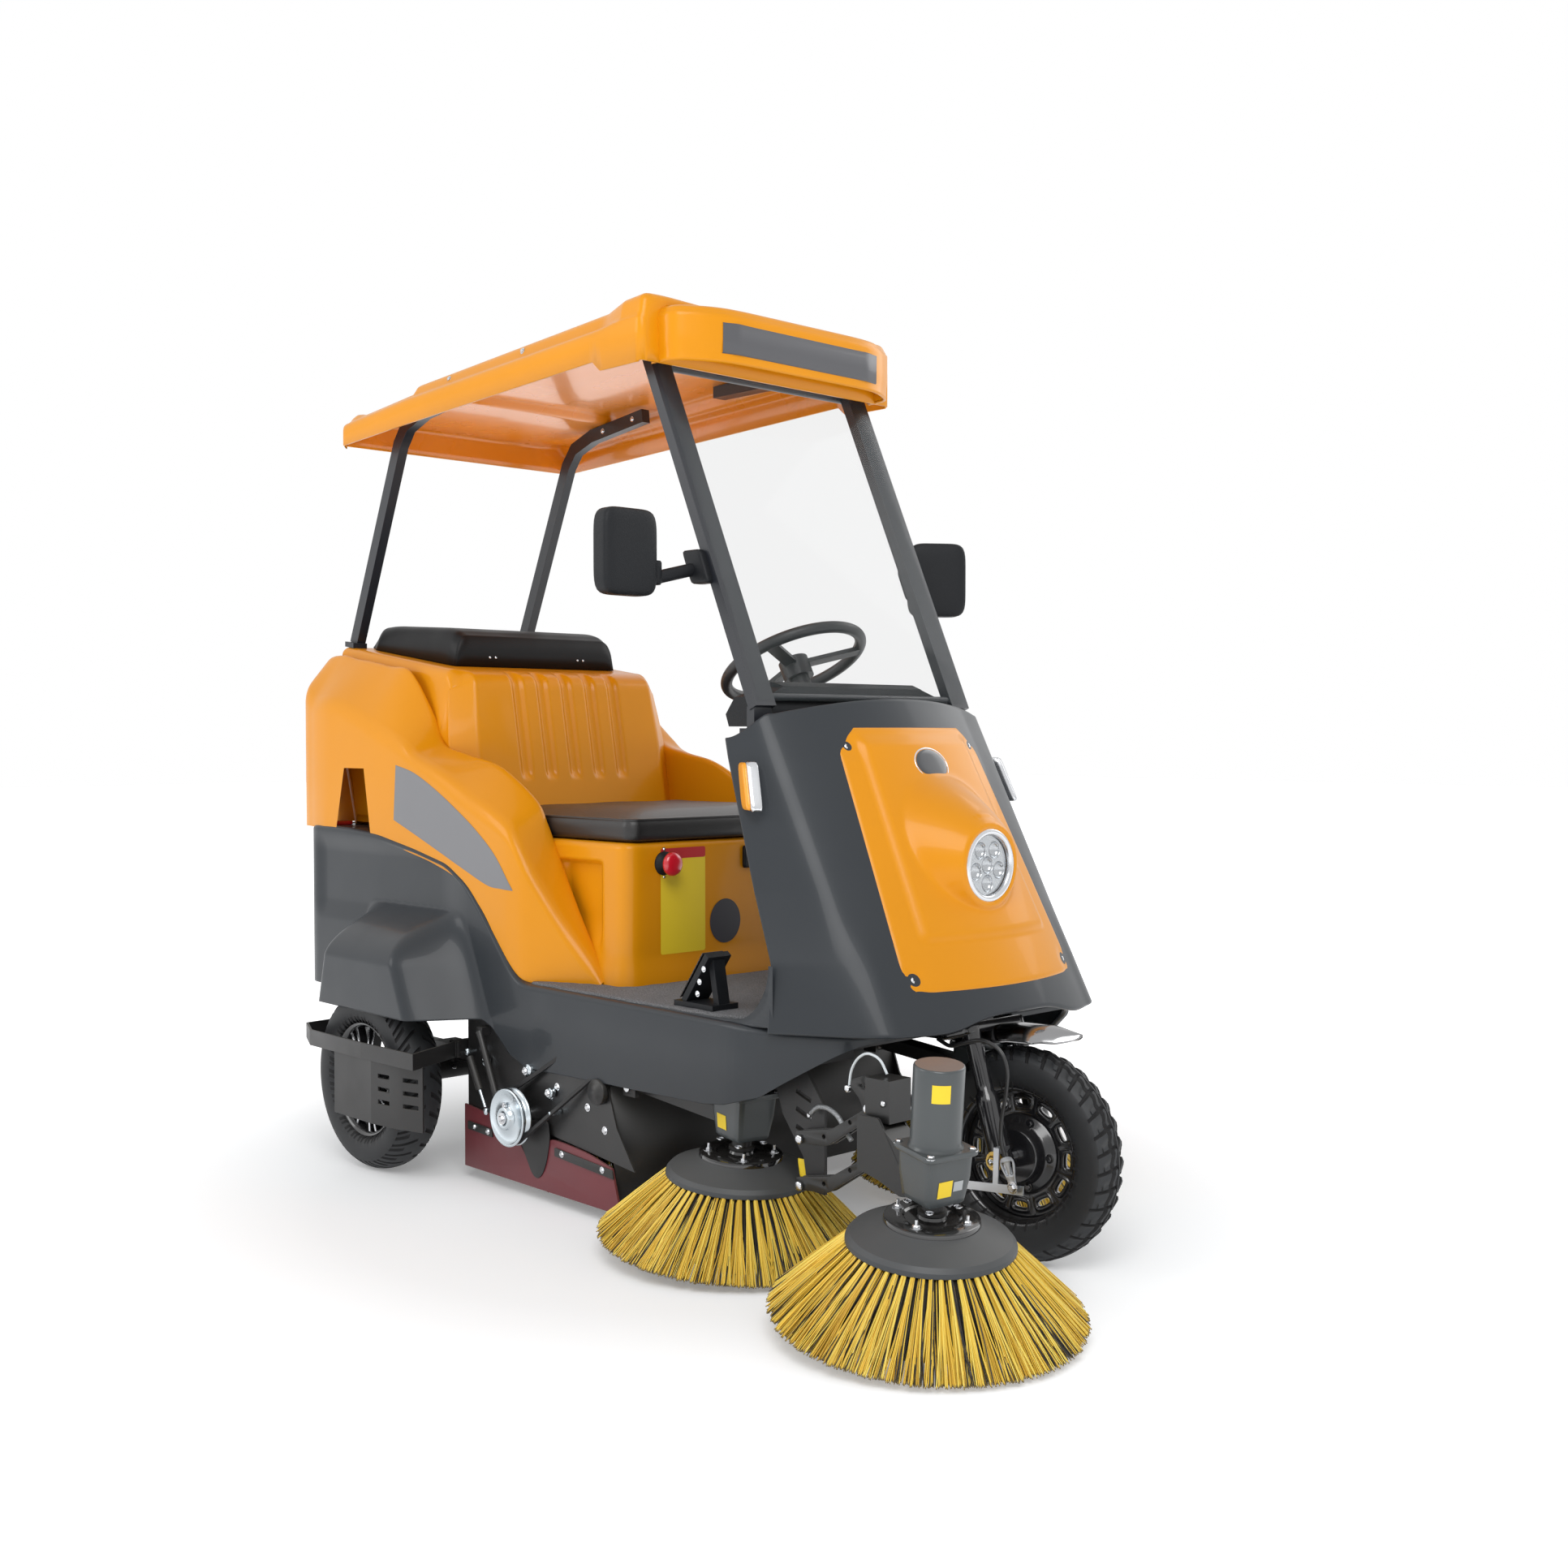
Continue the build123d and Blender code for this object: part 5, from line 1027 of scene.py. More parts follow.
for node in ("throttle_pedal", "brake_pedal"):
    dressed(node, grained_black, edge=3.0, segments=3)
fasteners("pedal_bolts", [(970, -365, 492.6), (970, -405, 492.6), (1066, -362, 492.6), (1066, -408, 492.6)], (0, 0, 1),
          5.5,
          bright_steel, "chassis")
fasteners("pedal_side_bolts", [(1036, -416, 545), (1049, -416, 572), (1030, -416, 520)], (0, -1, 0), 4.2, bright_steel,
          "chassis")
# ribbed rubber face on the throttle
pad_run = np.linspace(0, 1, 41)
pad_x = 980 + 70 * pad_run
pad_z = 506 + 96 * pad_run
lift = np.where((np.arange(41) % 4) < 2, 2.6, 0.8)
pad_rows = np.stack([
    np.stack([pad_x - 9, np.full(41, -414.0), pad_z], -1),
    np.stack([pad_x - 8.6 - 0.8 * lift, np.full(41, -412.0), pad_z + 0.58 * lift], -1),
    np.stack([pad_x - 8.6 - 0.8 * lift, np.full(41, -358.0), pad_z + 0.58 * lift], -1),
    np.stack([pad_x - 9, np.full(41, -356.0), pad_z], -1),
])
sheet("throttle_pad", pad_rows, wheel_rubber, "chassis", thickness=2)

# ---------------------------------------------------------------- plain stickers
# Vinyl stickers with no words: a grey swoosh along the flank, a yellow sheet with a red head and a
# dark oval on the front of the seat box.
vinyl_grey = finished("vinyl_grey", (0.19, 0.19, 0.20), 0.38, smooth_finish, tint=0.05, dust=0.1)
vinyl_yellow = finished("vinyl_yellow", (0.86, 0.62, 0.02), 0.4, smooth_finish, tint=0.05, dust=0.1)
vinyl_red = finished("vinyl_red", (0.52, 0.015, 0.02), 0.4, smooth_finish, tint=0.05, dust=0.1)
vinyl_dark = finished("vinyl_dark", (0.028, 0.026, 0.034), 0.4, smooth_finish, tint=0.05, dust=0.1)


def flat_sticker(name, outline_points, face_x, material, lift=0.5):
    """Sticker on the seat box's front, from its outline in y and z."""
    edge_points = np.asarray(outline_points, dtype=float)
    centre = edge_points.mean(0)
    rows = []
    for share in np.linspace(0, 1, 5):
        flat = edge_points * (1 - share) + centre * share
        rows.append(np.stack([np.full(len(flat), face_x + lift), flat[:, 0], flat[:, 1]], -1))
    sticker = sheet(name, np.stack(rows), material, "chassis", wrap=True, flip=True)
    return sticker


card, _ = rounded_loop(-240, -108, 552, 772, 6, 5, 8)
flat_sticker("notice_sheet", card, 700, vinyl_yellow, 0.8)
card, _ = rounded_loop(-240, -108, 766, 790, 5, 5, 8)
flat_sticker("notice_head", card, 700, vinyl_red, 1.0)
oval = np.linspace(0, 2 * math.pi, 49)[:-1]
flat_sticker("oval_sticker", np.stack([-47 + 47 * np.cos(oval), 615 + 51 * np.sin(oval)], -1), 700, vinyl_dark, 1.0)
swoosh_top = flow([(-72, 969), (12, 951), (100, 916), (190, 872), (280, 822), (357, 766), (421, 691)], 60)
swoosh_foot = flow([(-83, 833), (20, 799), (120, 765), (225, 729), (324, 697), (375, 692), (421, 690)], 60)
for side, name in ((-1, "swoosh_right"), (1, "swoosh_left")):
    rows = []
    for share in np.linspace(0, 1, 12):
        flat = swoosh_top * (1 - share) + swoosh_foot * share
        out_y = np.interp(flat[:, 0], fine_x[:, 0], fine_x[:, 2]) + 0.7
        rows.append(np.stack([flat[:, 0], side * out_y, flat[:, 1]], -1))
    sheet(name, np.stack(rows), vinyl_grey, "chassis", flip=side > 0)

# ---------------------------------------------------------------- wheels
# Scooter-type tyres with plain sidewalls: swept grooves in two staggered rows behind, and blocks cut
# by zigzag grooves in front, on black rims that are held by one gold nut in front.
tyre_rubber = finished("tyre_rubber", (0.009, 0.010, 0.012), 0.6, smooth_finish, tint=0.25, spread=0.15, bump=0.12,
                       dust=0.08)
tyre_tread = finished("tyre_tread", (0.016, 0.018, 0.021), 0.6, smooth_finish, tint=0.4, spread=0.2, bump=0.2,
                      dust=0.14)
# the groove material is darker than the tread rubber: painted shade in the tyre's grooves
tyre_groove_painted_shade = finished("tyre_groove_painted_shade", (0.004, 0.004, 0.005), 0.8, smooth_finish, tint=0.1, dust=0.05)
rim_black = finished("rim_black", (0.010, 0.010, 0.012), 0.22, smooth_finish, tint=0.1, spread=0.15, bump=0.05,
                     dust=0.1,
                     coat=0.6)
brass = finished("brass", (0.62, 0.42, 0.12), 0.28, smooth_finish, tint=0.2, dust=0.1, metallic=1.0)

rake, turned_by = math.radians(17.5), math.radians(8)
steer_up = np.array((-math.sin(rake), 0, math.cos(rake)))
steer_fwd = np.array((math.cos(rake), 0, math.sin(rake)))
front_centre = np.array((1532, 40 * math.sin(turned_by), 212.819))
steer_point = front_centre - 40 * (steer_fwd * math.cos(turned_by) + np.array((0, math.sin(turned_by), 0)))
straight_centre = steer_point + 40 * steer_fwd


def turned_about(points, centre, axis, angle):
    """Points turned by an angle about an axis through a centre."""
    points = np.asarray(points, dtype=float) - centre
    axis = np.asarray(axis, dtype=float) / np.linalg.norm(axis)
    return (points * math.cos(angle) + np.cross(axis, points) * math.sin(angle)
            + axis * (points @ axis)[..., None] * (1 - math.cos(angle)) + centre)


def in_front(points):
    """Points about the straight front wheel's centre, carried to where the steered wheel stands."""
    return turned_about(np.asarray(points, dtype=float) + straight_centre, steer_point, steer_up, turned_by)


def at_rear(side):
    """Same for a rear wheel."""
    return lambda points: np.asarray(points, dtype=float) + np.array((0, side * 540, 218.0))


def tyre(name, node, body, radius, half, put, lugs, sweep, front):
    """Tyre about the Y axis: a section carried round, sheared so that its grooves run along the grid's columns."""
    per_lug = 10
    columns = lugs * per_lug
    # section from the right bead over the tread to the left bead: radius, offset
    side_wall = np.array([(radius - 79, -half + 16), (radius - 74, -half + 8), (radius - 66, -half + 3.5),
                          (radius - 56, -half + 1), (radius - 44, -half), (radius - 33, -half + 1),
                          (radius - 24, -half + 3.5)])
    crown_offset = np.array([-1, -0.985, -0.93, -0.86, -0.78, -0.68, -0.58, -0.47, -0.46, -0.36, -0.30, -0.29, -0.2,
                             -0.12,
                             -0.11, -0.04]) * (half - 5)
    crown_offset = np.concatenate([crown_offset, -crown_offset[::-1]])
    crown_radius = radius - 21.5 * np.abs(crown_offset / (half - 5)) ** 2.4
    offset = np.concatenate([side_wall[:, 1], crown_offset, -side_wall[::-1, 1]])
    reach = np.concatenate([side_wall[:, 0], crown_radius, side_wall[::-1, 0]])
    across = np.abs(offset) / half
    column = np.arange(columns)
    phase = column % per_lug
    ramp = np.array((0.0, 0.17, 0.22, 0.33, 0.38, 0.55, 0.67, 0.78, 0.83, 0.92))
    angle = (column // per_lug + ramp[phase]) * (2 * math.pi / lugs)
    shear = sweep * np.minimum(across, 1.0) ** 1.5
    angles = angle[None, :] + shear[:, None]
    on_tread = ((np.abs(offset) <= half - 4.9) & (np.abs(offset) > (7 if not front else 0)))[:, None]
    groove = np.zeros((len(offset), columns))
    right = (phase == 2) | (phase == 3)
    left = (phase == 6) | (phase == 7)
    low_side = (offset < 0)[:, None]
    groove += np.where(low_side, right[None, :], left[None, :]) * on_tread * (across > 0.14)[:, None] * 5.0
    if not front:
        short = np.where(low_side, left[None, :], right[None, :]) * (across > 0.55)[:, None] * on_tread
        groove += short * 3.5
        groove *= (across < 0.93)[:, None]
    zig = np.zeros((len(offset), columns))
    if front:
        wave = np.abs((column / per_lug) % 1.0 - 0.5) * 4 - 1
        zig = wave[None, :] * 5.0 * ((across > 0.05) & (across < 0.75))[:, None] * np.sign(offset)[:, None]
        ring_cut = (np.isclose(np.abs(offset), 0.47 * (half - 5)) | np.isclose(np.abs(offset), 0.46 * (half - 5))
                    | np.isclose(np.abs(offset), 0.12 * (half - 5)) | np.isclose(np.abs(offset), 0.11 * (half - 5)))
        groove = np.maximum(groove, 4.5 * ring_cut[:, None])
    reach = reach[:, None] - groove
    points = put(np.stack([reach * np.sin(angles), offset[:, None] + zig, reach * np.cos(angles)], -1))
    inside = put(np.stack([(radius - 79 + 0 * reach[:1]) * np.sin(angles[:1]),
                           -(half - 16) + 0 * reach[:1] + 2 * (half - 16),
                           (radius - 79) * np.cos(angles[:1])], -1))
    piece = sheet(name, np.concatenate([points, inside]), tyre_rubber, body, wrap=True, flip=True)
    piece.data.set_sharp_from_angle(angle=math.radians(38))
    piece.data.materials.append(tyre_tread)
    piece.data.materials.append(tyre_groove_painted_shade)
    # faces in and beside the grooves get the darker groove material: painted shade in the recesses
    low = groove > 1.5
    low = low[:-1] | low[1:]
    low = low | np.roll(low, -1, axis=1)
    top = (np.abs(offset[:-1]) < half - 4) & (np.abs(offset[1:]) < half - 4)
    kind = np.where(low, 2, np.where(top[:, None], 1, 0))
    kind = np.concatenate([kind, np.zeros((1, columns), dtype=int)])
    piece.data.polygons.foreach_set("material_index", kind.ravel().astype(np.int32))
    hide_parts(node)
    return piece


for side, word in ((-1, "right"), (1, "left")):
    tyre(f"tyre_{word}", f"rear_tyre_{word}", f"rear_wheel_{word}", 218, 55, at_rear(side), 30, 0.20, False)
tyre("tyre_front", "front_tyre", "front_wheel", 212, 46, in_front, 34, 0.10, True)


def ring_shape(name, profile, put, material, body, segments=96):
    """Profile of radius and offset carried round the Y axis."""
    profile = np.asarray(profile, dtype=float)
    angle = np.linspace(0, 2 * math.pi, segments, endpoint=False)
    points = np.stack([profile[:, :1] * np.sin(angle)[None], profile[:, 1:2] + 0 * angle[None],
                       profile[:, :1] * np.cos(angle)[None]], -1)
    piece = sheet(name, put(points), material, body, wrap=True, flip=True)
    piece.data.set_sharp_from_angle(angle=math.radians(42))
    return piece


def bars(name, rows, put, material, body):
    """Many closed four-sided bars in one mesh: rows of (count, rings, 4, xyz) points, capped at both ends."""
    rows = np.asarray(rows, dtype=float)
    count, rings = rows.shape[:2]
    one = []
    for ring in range(rings - 1):
        for corner in range(4):
            after = (corner + 1) % 4
            one.append((ring * 4 + corner, ring * 4 + after, ring * 4 + 4 + after, ring * 4 + 4 + corner))
    one.append((3, 2, 1, 0))
    last = (rings - 1) * 4
    one.append((last, last + 1, last + 2, last + 3))
    faces = (np.array(one)[None] + (np.arange(count) * rings * 4)[:, None, None]).reshape(-1, 4)
    mesh = bpy.data.meshes.new(name)
    mesh.from_pydata(metres(put(rows.reshape(-1, 3))).tolist(), [], faces.tolist())
    work = bmesh.new()
    work.from_mesh(mesh)
    bmesh.ops.recalc_face_normals(work, faces=work.faces)
    work.to_mesh(mesh)
    work.free()
    piece = bpy.data.objects.new(name, mesh)
    bpy.context.scene.collection.objects.link(piece)
    mesh.materials.append(material)
    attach(piece, body)
    return piece


def same(points):
    """Points that are in place already."""
    return points


for side, word in ((-1, "right"), (1, "left")):
    put, body = at_rear(side), f"rear_wheel_{word}"
    rim = ring_shape(f"rim_{word}", [(124, side * 30), (123, side * 10), (123, -side * 38), (134, -side * 42),
                                     (137.6, -side * 41),
                                     (137.6, side * 41), (135, side * 43.5), (131, side * 42), (128, side * 38),
                                     (124, side * 30)],
                     put, rim_black, body)
    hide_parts(f"rear_rim_{word}")
    ring_shape(f"hub_{word}", [(29.4, -side * 36), (44, -side * 36), (44, side * 8), (60, side * 10), (64, side * 16),
                               (60, side * 30),
                               (48, side * 36), (0.02, side * 37)], put, rim_black, body, segments=64)
    rows, faces_lit = [], []
    for index in range(9):
        for lean in (-1, 1):
            turn = 2 * math.pi * index / 9
            spoke = []
            lit = []
            for distance, spread, wide, near, far in ((40, 7, 4.6, 6, 35), (84, 8.5, 4.0, 12, 33),
                                                      (127, 14.5, 4.6, 12, 32)):
                middle = lean * spread
                spoke.append([(distance, side * near, middle - wide), (distance, side * near, middle + wide),
                              (distance, side * far, middle + wide), (distance, side * far, middle - wide)])
                lit.append([(distance, side * (far - 0.5), middle - wide * 0.72),
                            (distance, side * (far - 0.5), middle + wide * 0.72),
                            (distance, side * (far + 1.2), middle + wide * 0.72),
                            (distance, side * (far + 1.2), middle - wide * 0.72)])
            for made, kept in ((spoke, rows), (lit, faces_lit)):
                made = np.array(made, dtype=float)
                kept.append(np.stack([made[..., 0] * math.cos(turn) + made[..., 2] * math.sin(turn), made[..., 1],
                                      -made[..., 0] * math.sin(turn) + made[..., 2] * math.cos(turn)], -1))
    bars(f"spokes_{word}", rows, put, rim_black, body)
    bars(f"spoke_faces_{word}", faces_lit, put, bright_steel, body)
    ring_shape(f"hub_cap_{word}", [(28, side * 36), (28, side * 40), (22, side * 44), (0.02, side * 45)], put,
               rim_black, body,
               segments=48)

# pressed front disc with twelve oblong holes, each with a rolled lip
rows = []
sector = math.pi / 6
points_round = 48
turn = np.linspace(0, 2 * math.pi, points_round, endpoint=False)
hole = np.stack([np.sign(np.cos(turn)) * np.abs(np.cos(turn)) ** 0.75 * 8.5,
                 np.sign(np.sin(turn)) * np.abs(np.sin(turn)) ** 0.75 * 17.5], -1)
square = np.stack([np.cos(turn), np.sin(turn)], -1)
square /= np.abs(square).max(axis=1, keepdims=True)
disc_points = []
for index in range(12):
    centre_turn = sector * index
    out_radius = 102 + square[:, 0] * 24
    out_turn = square[:, 1] * sector / 2
    outer = np.stack([out_radius * np.cos(out_turn), out_radius * np.sin(out_turn)], -1)
    inner = np.stack([102 + hole[:, 0], hole[:, 1]], -1)
    rings = []
    for share, height in ((0.0, -6.0), (0.0, -1.0), (0.05, 2.2), (0.13, 3.4), (0.24, 2.0), (0.36, 0.0), (0.7, 0.0),
                          (1.0, 0.0)):
        flat = inner * (1 - share) + outer * share
        rings.append(np.stack([flat[:, 0] * math.cos(centre_turn) + flat[:, 1] * math.sin(centre_turn),
                               np.full(points_round, -2 - height),
                               -flat[:, 0] * math.sin(centre_turn) + flat[:, 1] * math.cos(centre_turn)], -1))
    disc_points.append(np.stack(rings))
disc_points = np.concatenate([np.concatenate([part, part[:, :1]], axis=1) for part in disc_points])
cut = np.zeros((len(disc_points) - 1, points_round), dtype=bool)
cut[7::8] = True
front_disc = sheet("front_disc", in_front(disc_points), rim_black, "front_wheel", thickness=3, cut=cut)
rim = ring_shape("rim_front", [(126, -2), (125, -22), (127, -30), (133, -36), (137.6, -37), (137.6, 37), (133, 36),
                               (127, 30),
                               (125, 22), (126, -2)], in_front, rim_black, "front_wheel")
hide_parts("front_rim")
ring_shape("hub_front", [(79, -2), (74, -8), (62, -12), (56, -20), (54, -38), (51, -41), (14, -41), (14, 41), (51, 41),
                         (54, 38), (56, 12),
                         (79, 3)], in_front, rim_black, "front_wheel", segments=72)
fasteners("hub_bolts", [in_front(np.array((66 * math.cos(t), -12.5, 66 * math.sin(t)))) for t in np.linspace(0,
        2 * math.pi, 6)[:-1]],
          in_front(np.array((0, -1.0, 0))) - in_front(np.zeros(3)), 6, rim_black, "front_wheel")

# ---------------------------------------------------------------- front fork and mudguard
# Welded tube fork in gloss black with thicker lower legs, its stem held in the frame's steering head,
# and a small leaf mudguard of polished sheet on a black stay near the crown.
fork_paint = finished("fork_paint", (0.009, 0.009, 0.011), 0.2, smooth_finish, tint=0.1, spread=0.12, bump=0.08,
                      dust=0.12,
                      coat=0.7)
side_way = np.array((0.0, 1.0, 0.0))


def tube(name, path, radius, material, body, segments=16, caps=True):
    """Round tube along a path, with a radius for each point."""
    path = np.asarray(path, dtype=float)
    radius = np.broadcast_to(np.asarray(radius, dtype=float), (len(path),))
    along = np.gradient(path, axis=0)
    along /= np.linalg.norm(along, axis=1, keepdims=True) + 1e-12
    first = np.cross(along[0], (0.3, 0.9, 0.2))
    normals = []
    for way in along:
        first = first - way * (first @ way)
        first /= np.linalg.norm(first)
        normals.append(first)
    normals = np.array(normals)
    sides = np.cross(along, normals)
    turn = np.linspace(0, 2 * math.pi, segments, endpoint=False)
    rows = path[:, None] + radius[:, None, None] * (normals[:, None] * np.cos(turn)[None, :, None]
                                                    + sides[:, None] * np.sin(turn)[None, :, None])
    if caps:
        rows = np.concatenate([path[:1, None] + (rows[:1] - path[:1, None]) * 0.01, rows,
                               path[-1:, None] + (rows[-1:] - path[-1:, None]) * 0.01])
    piece = sheet(name, rows, material, body, wrap=True)
    piece.data.set_sharp_from_angle(angle=math.radians(50))
    return piece


def steered(points):
    """Points given about the straight wheel's place, turned with the fork."""
    return turned_about(np.asarray(points, dtype=float), steer_point, steer_up, turned_by)


for side, word in ((-1, "right"), (1, "left")):
    foot = straight_centre + side_way * side * 84
    reach = np.array([-24, -22, 110, 128, 134, 150, 262])
    leg = tube(f"fork_leg_{word}", steered(foot + steer_up * reach[:, None]), (20, 24, 24, 22, 17.4, 17, 17),
               fork_paint, "fork",
               segments=32)
    if side < 0:
        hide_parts("fork")
    axle_end = straight_centre + side_way * side * 84
    tube(f"axle_seat_{word}", steered(axle_end + side_way * side * np.array([-22, 0, 22, 24])[:, None]),
         (16, 16, 16, 14), fork_paint,
         "fork", segments=24)
    fasteners(f"axle_nut_{word}", [steered(axle_end + side_way * side * 24)],
              steered(side_way * side + steer_point) - steer_point, 13,
              brass, "fork")
    tube(f"axle_stub_{word}", steered(axle_end + side_way * side * np.array([26, 41, 42])[:, None]), (6.5, 6.5, 5),
         bright_steel, "fork",
         segments=16)
tube("front_axle", steered(straight_centre + side_way * np.array([-70.0, 70.0])[:, None]), 13.6, bright_steel, "fork",
     segments=24)
crown = steer_point + steer_up * 262
crown_outline, _ = rounded_loop(-106, 106, -56, 28, 20, 8, 10)
crown_rows = []
for height, shrink in ((-14, 3), (-12, 0.6), (-9, 0), (3, 0), (6, 0.6), (8, 3)):
    plate = crown_outline * (1 - shrink / np.array((106.0, 42.0)))
    crown_rows.append(crown + plate[:, :1] * side_way + plate[:, 1:] * steer_fwd * -1 + steer_up * height)
crown_rows = np.stack(crown_rows)
crown_rows = np.concatenate([crown_rows[:1] * 0.02 + crown_rows[:1].mean(1, keepdims=True) * 0.98, crown_rows,
                             crown_rows[-1:] * 0.02 + crown_rows[-1:].mean(1, keepdims=True) * 0.98])
sheet("fork_crown", steered(crown_rows), fork_paint, "fork", wrap=True, flip=True)
tube("fork_stem", steered(steer_point + steer_up * np.array([250.0, 262, 400, 405])[:, None]), (19, 17, 17, 14),
     fork_paint, "fork",
     segments=24)
tube("leaf_stay", steered(straight_centre + steer_up * np.array([228.0, 252.0])[:, None]), 20, fork_paint, "fork",
     segments=24)
# the polished sheet's base colour is kept dark: a painted dark reflection, as bright metal would mirror the pale studio
leaf_metal = finished("leaf_metal", (0.30, 0.30, 0.305), 0.14, smooth_finish, tint=0.1, spread=0.06, bump=0.05,
                      dust=0.05,
                      metallic=1.0)
leaf_ridge = flow([(-100, 44.5 + 200), (-12, 260), (58, 261.5), (124, 249)], 40)
leaf_ridge[:, 1] = np.interp(leaf_ridge[:, 0], (-100, -12, 58, 124), (244, 259, 261, 250))
across = np.linspace(-1, 1, 31)
half = np.interp(leaf_ridge[:, 0], (-100, 40, 85, 112, 124), (54, 54, 36, 14, 3))
leaf_rows = np.stack([
    straight_centre[0] + leaf_ridge[:, :1] + 0 * across[None],
    half[:, None] * across[None],
    straight_centre[2] + leaf_ridge[:, 1:] - 34 * (half[:, None] / 54) ** 0.6 * np.abs(across[None]) ** 2.4,
], -1)
sheet("mudguard_leaf", steered(leaf_rows), leaf_metal, "fork", thickness=2.0, flip=True)

# ---------------------------------------------------------------- brake lever and cable
# Zinc-plated lever beside the right leg with a slotted clevis, pulled by a black sleeved cable that
# loops from the crown down to the lever's front end.
zinc_plate = finished("zinc_plate", (0.56, 0.58, 0.61), 0.32, smooth_finish, tint=0.15, spread=0.25, bump=0.15,
                      dust=0.1,
                      metallic=1.0)
dressed("brake_lever", zinc_plate, edge=1.2)
cable_black = finished("cable_black", (0.015, 0.015, 0.016), 0.35, smooth_finish, tint=0.1, dust=0.05, coat=0.2)


def rounded_loop_of(points, radius, steps=4):
    """Closed outline with its corners rounded."""
    points = np.asarray(points, dtype=float)
    start = (points[0] + points[-1]) / 2
    path = np.concatenate([start[None], points, start[None]])
    return rounded_path(path, [radius] * len(points), steps=steps)[:-1]


def disc_loop(centre, radius, segments=20, long=0.0, lean=0.0):
    """Round hole, or a slot when it is long."""
    turn = np.linspace(0, 2 * math.pi, segments, endpoint=False)
    flat = np.stack([radius * np.cos(turn) + np.sign(np.cos(turn)) * long / 2, radius * np.sin(turn)], -1)
    c, s = math.cos(lean), math.sin(lean)
    return np.stack([flat[:, 0] * c - flat[:, 1] * s, flat[:, 0] * s + flat[:, 1] * c], -1) + np.asarray(centre,
            dtype=float)


def plate(name, loops, put, thickness, material, body, slot, bevel=0.7):
    """Flat plate: the first loop is its edge and the others are holes; put carries (u, v, w) into place."""
    curve = bpy.data.curves.new(name, "CURVE")
    curve.dimensions = "2D"
    curve.fill_mode = "BOTH"
    curve.extrude = thickness / 2 - bevel
    curve.bevel_depth = bevel
    curve.bevel_resolution = 1
    curve.offset = -bevel
    for loop in loops:
        spline = curve.splines.new("POLY")
        spline.points.add(len(loop) - 1)
        spline.points.foreach_set("co", np.concatenate([loop, np.zeros((len(loop), 1)), np.ones((len(loop), 1))],
                                                       1).ravel())
        spline.use_cyclic_u = True
    drawn = bpy.data.objects.new(name + "_drawn", curve)
    mesh = bpy.data.meshes.new_from_object(drawn)
    bpy.data.objects.remove(drawn)
    bpy.data.curves.remove(curve)
    points = np.empty(len(mesh.vertices) * 3, dtype=np.float32)
    mesh.vertices.foreach_get("co", points)
    mesh.vertices.foreach_set("co", metres(put(points.reshape(-1, 3).astype(float))).astype(np.float32).ravel())
    mesh.update()
    work = bmesh.new()
    work.from_mesh(mesh)
    bmesh.ops.remove_doubles(work, verts=work.verts, dist=1e-6)
    bmesh.ops.recalc_face_normals(work, faces=work.faces)
    work.to_mesh(mesh)
    work.free()
    mesh.materials.clear()
    mesh.materials.append(material)
    mesh.shade_smooth()
    mesh.set_sharp_from_angle(angle=math.radians(30))
    piece = bpy.data.objects.new(name, mesh)
    bpy.context.scene.collection.objects.link(piece)
    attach(piece, body)
    return piece


lever_y = -84 - 38
cable_last = np.array((14.0, 1.0, -40.0)) / np.linalg.norm((14.0, 1.0, -40.0))
cable_corners = straight_centre + np.array([
    (-138, -110, 222), (-100, -124, 212), (-69, -131, 223), (-19, -137, 238), (25, -138, 223), (41, -136, 185),
    (36, -132, 139),
    (24, -127, 94), (21, -124, 45), (35, lever_y - 1, 5),
], dtype=float) * (1, 1, 1)
cable_corners[:, 1] = [-110, -124, -131, -137, -138, -136, -132, -127, -124, lever_y - 1]


def filleted(corners, share=0.45, steps=10):
    """Path of straight runs joined by arcs; each arc leaves its corner at the given share of the shorter run."""
    corners = np.asarray(corners, dtype=float)
    parts = [corners[:1]]
    for index in range(1, len(corners) - 1):
        here, back, ahead = corners[index], corners[index - 1] - corners[index], corners[index + 1] - corners[index]
        back_length, ahead_length = np.linalg.norm(back), np.linalg.norm(ahead)
        back, ahead = back / back_length, ahead / ahead_length
        reach = share * min(back_length, ahead_length)
        half_open = math.acos(np.clip(back @ ahead, -1, 1)) / 2
        middle = here + (back + ahead) / np.linalg.norm(back + ahead) * reach / math.cos(half_open)
        first, last = here + back * reach - middle, here + ahead * reach - middle
        swing = math.pi - 2 * half_open
        turn = np.linspace(0, swing, steps)[:, None]
        parts.append(middle + (first * np.sin(swing - turn) + last * np.sin(turn)) / math.sin(swing))
    parts.append(corners[-1:])
    return np.concatenate(parts)


cable_route = steered(filleted(cable_corners))
brake_line = tube("brake_line", cable_route, 4.0, cable_black, "fork", segments=14)
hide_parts("brake_cable")
clevis = steered(np.array([cable_corners[-1] + cable_last * at for at in (-2.0, 0.0, 1.0, 9.0, 10.0)]))
tube("cable_ferrule", clevis, (4.2, 6.2, 7.6, 7.6, 6.0), bright_steel, "fork", segments=20)
tip = cable_corners[-1] + cable_last * 30
fan_way = np.array((cable_last[0], cable_last[2])) / math.hypot(cable_last[0], cable_last[2])


def on_lever(points):
    """Puts a plate's (u, v) beside the lever: u across the cable's end, v back along it."""
    points = np.asarray(points, dtype=float)
    flat = points[:, :1] * np.array((-fan_way[1], fan_way[0])) - points[:, 1:2] * fan_way
    return steered(np.stack([tip[0] + 12 + flat[:, 0], lever_y - 9 + points[:, 2], tip[2] - 14 + flat[:, 1]], -1))


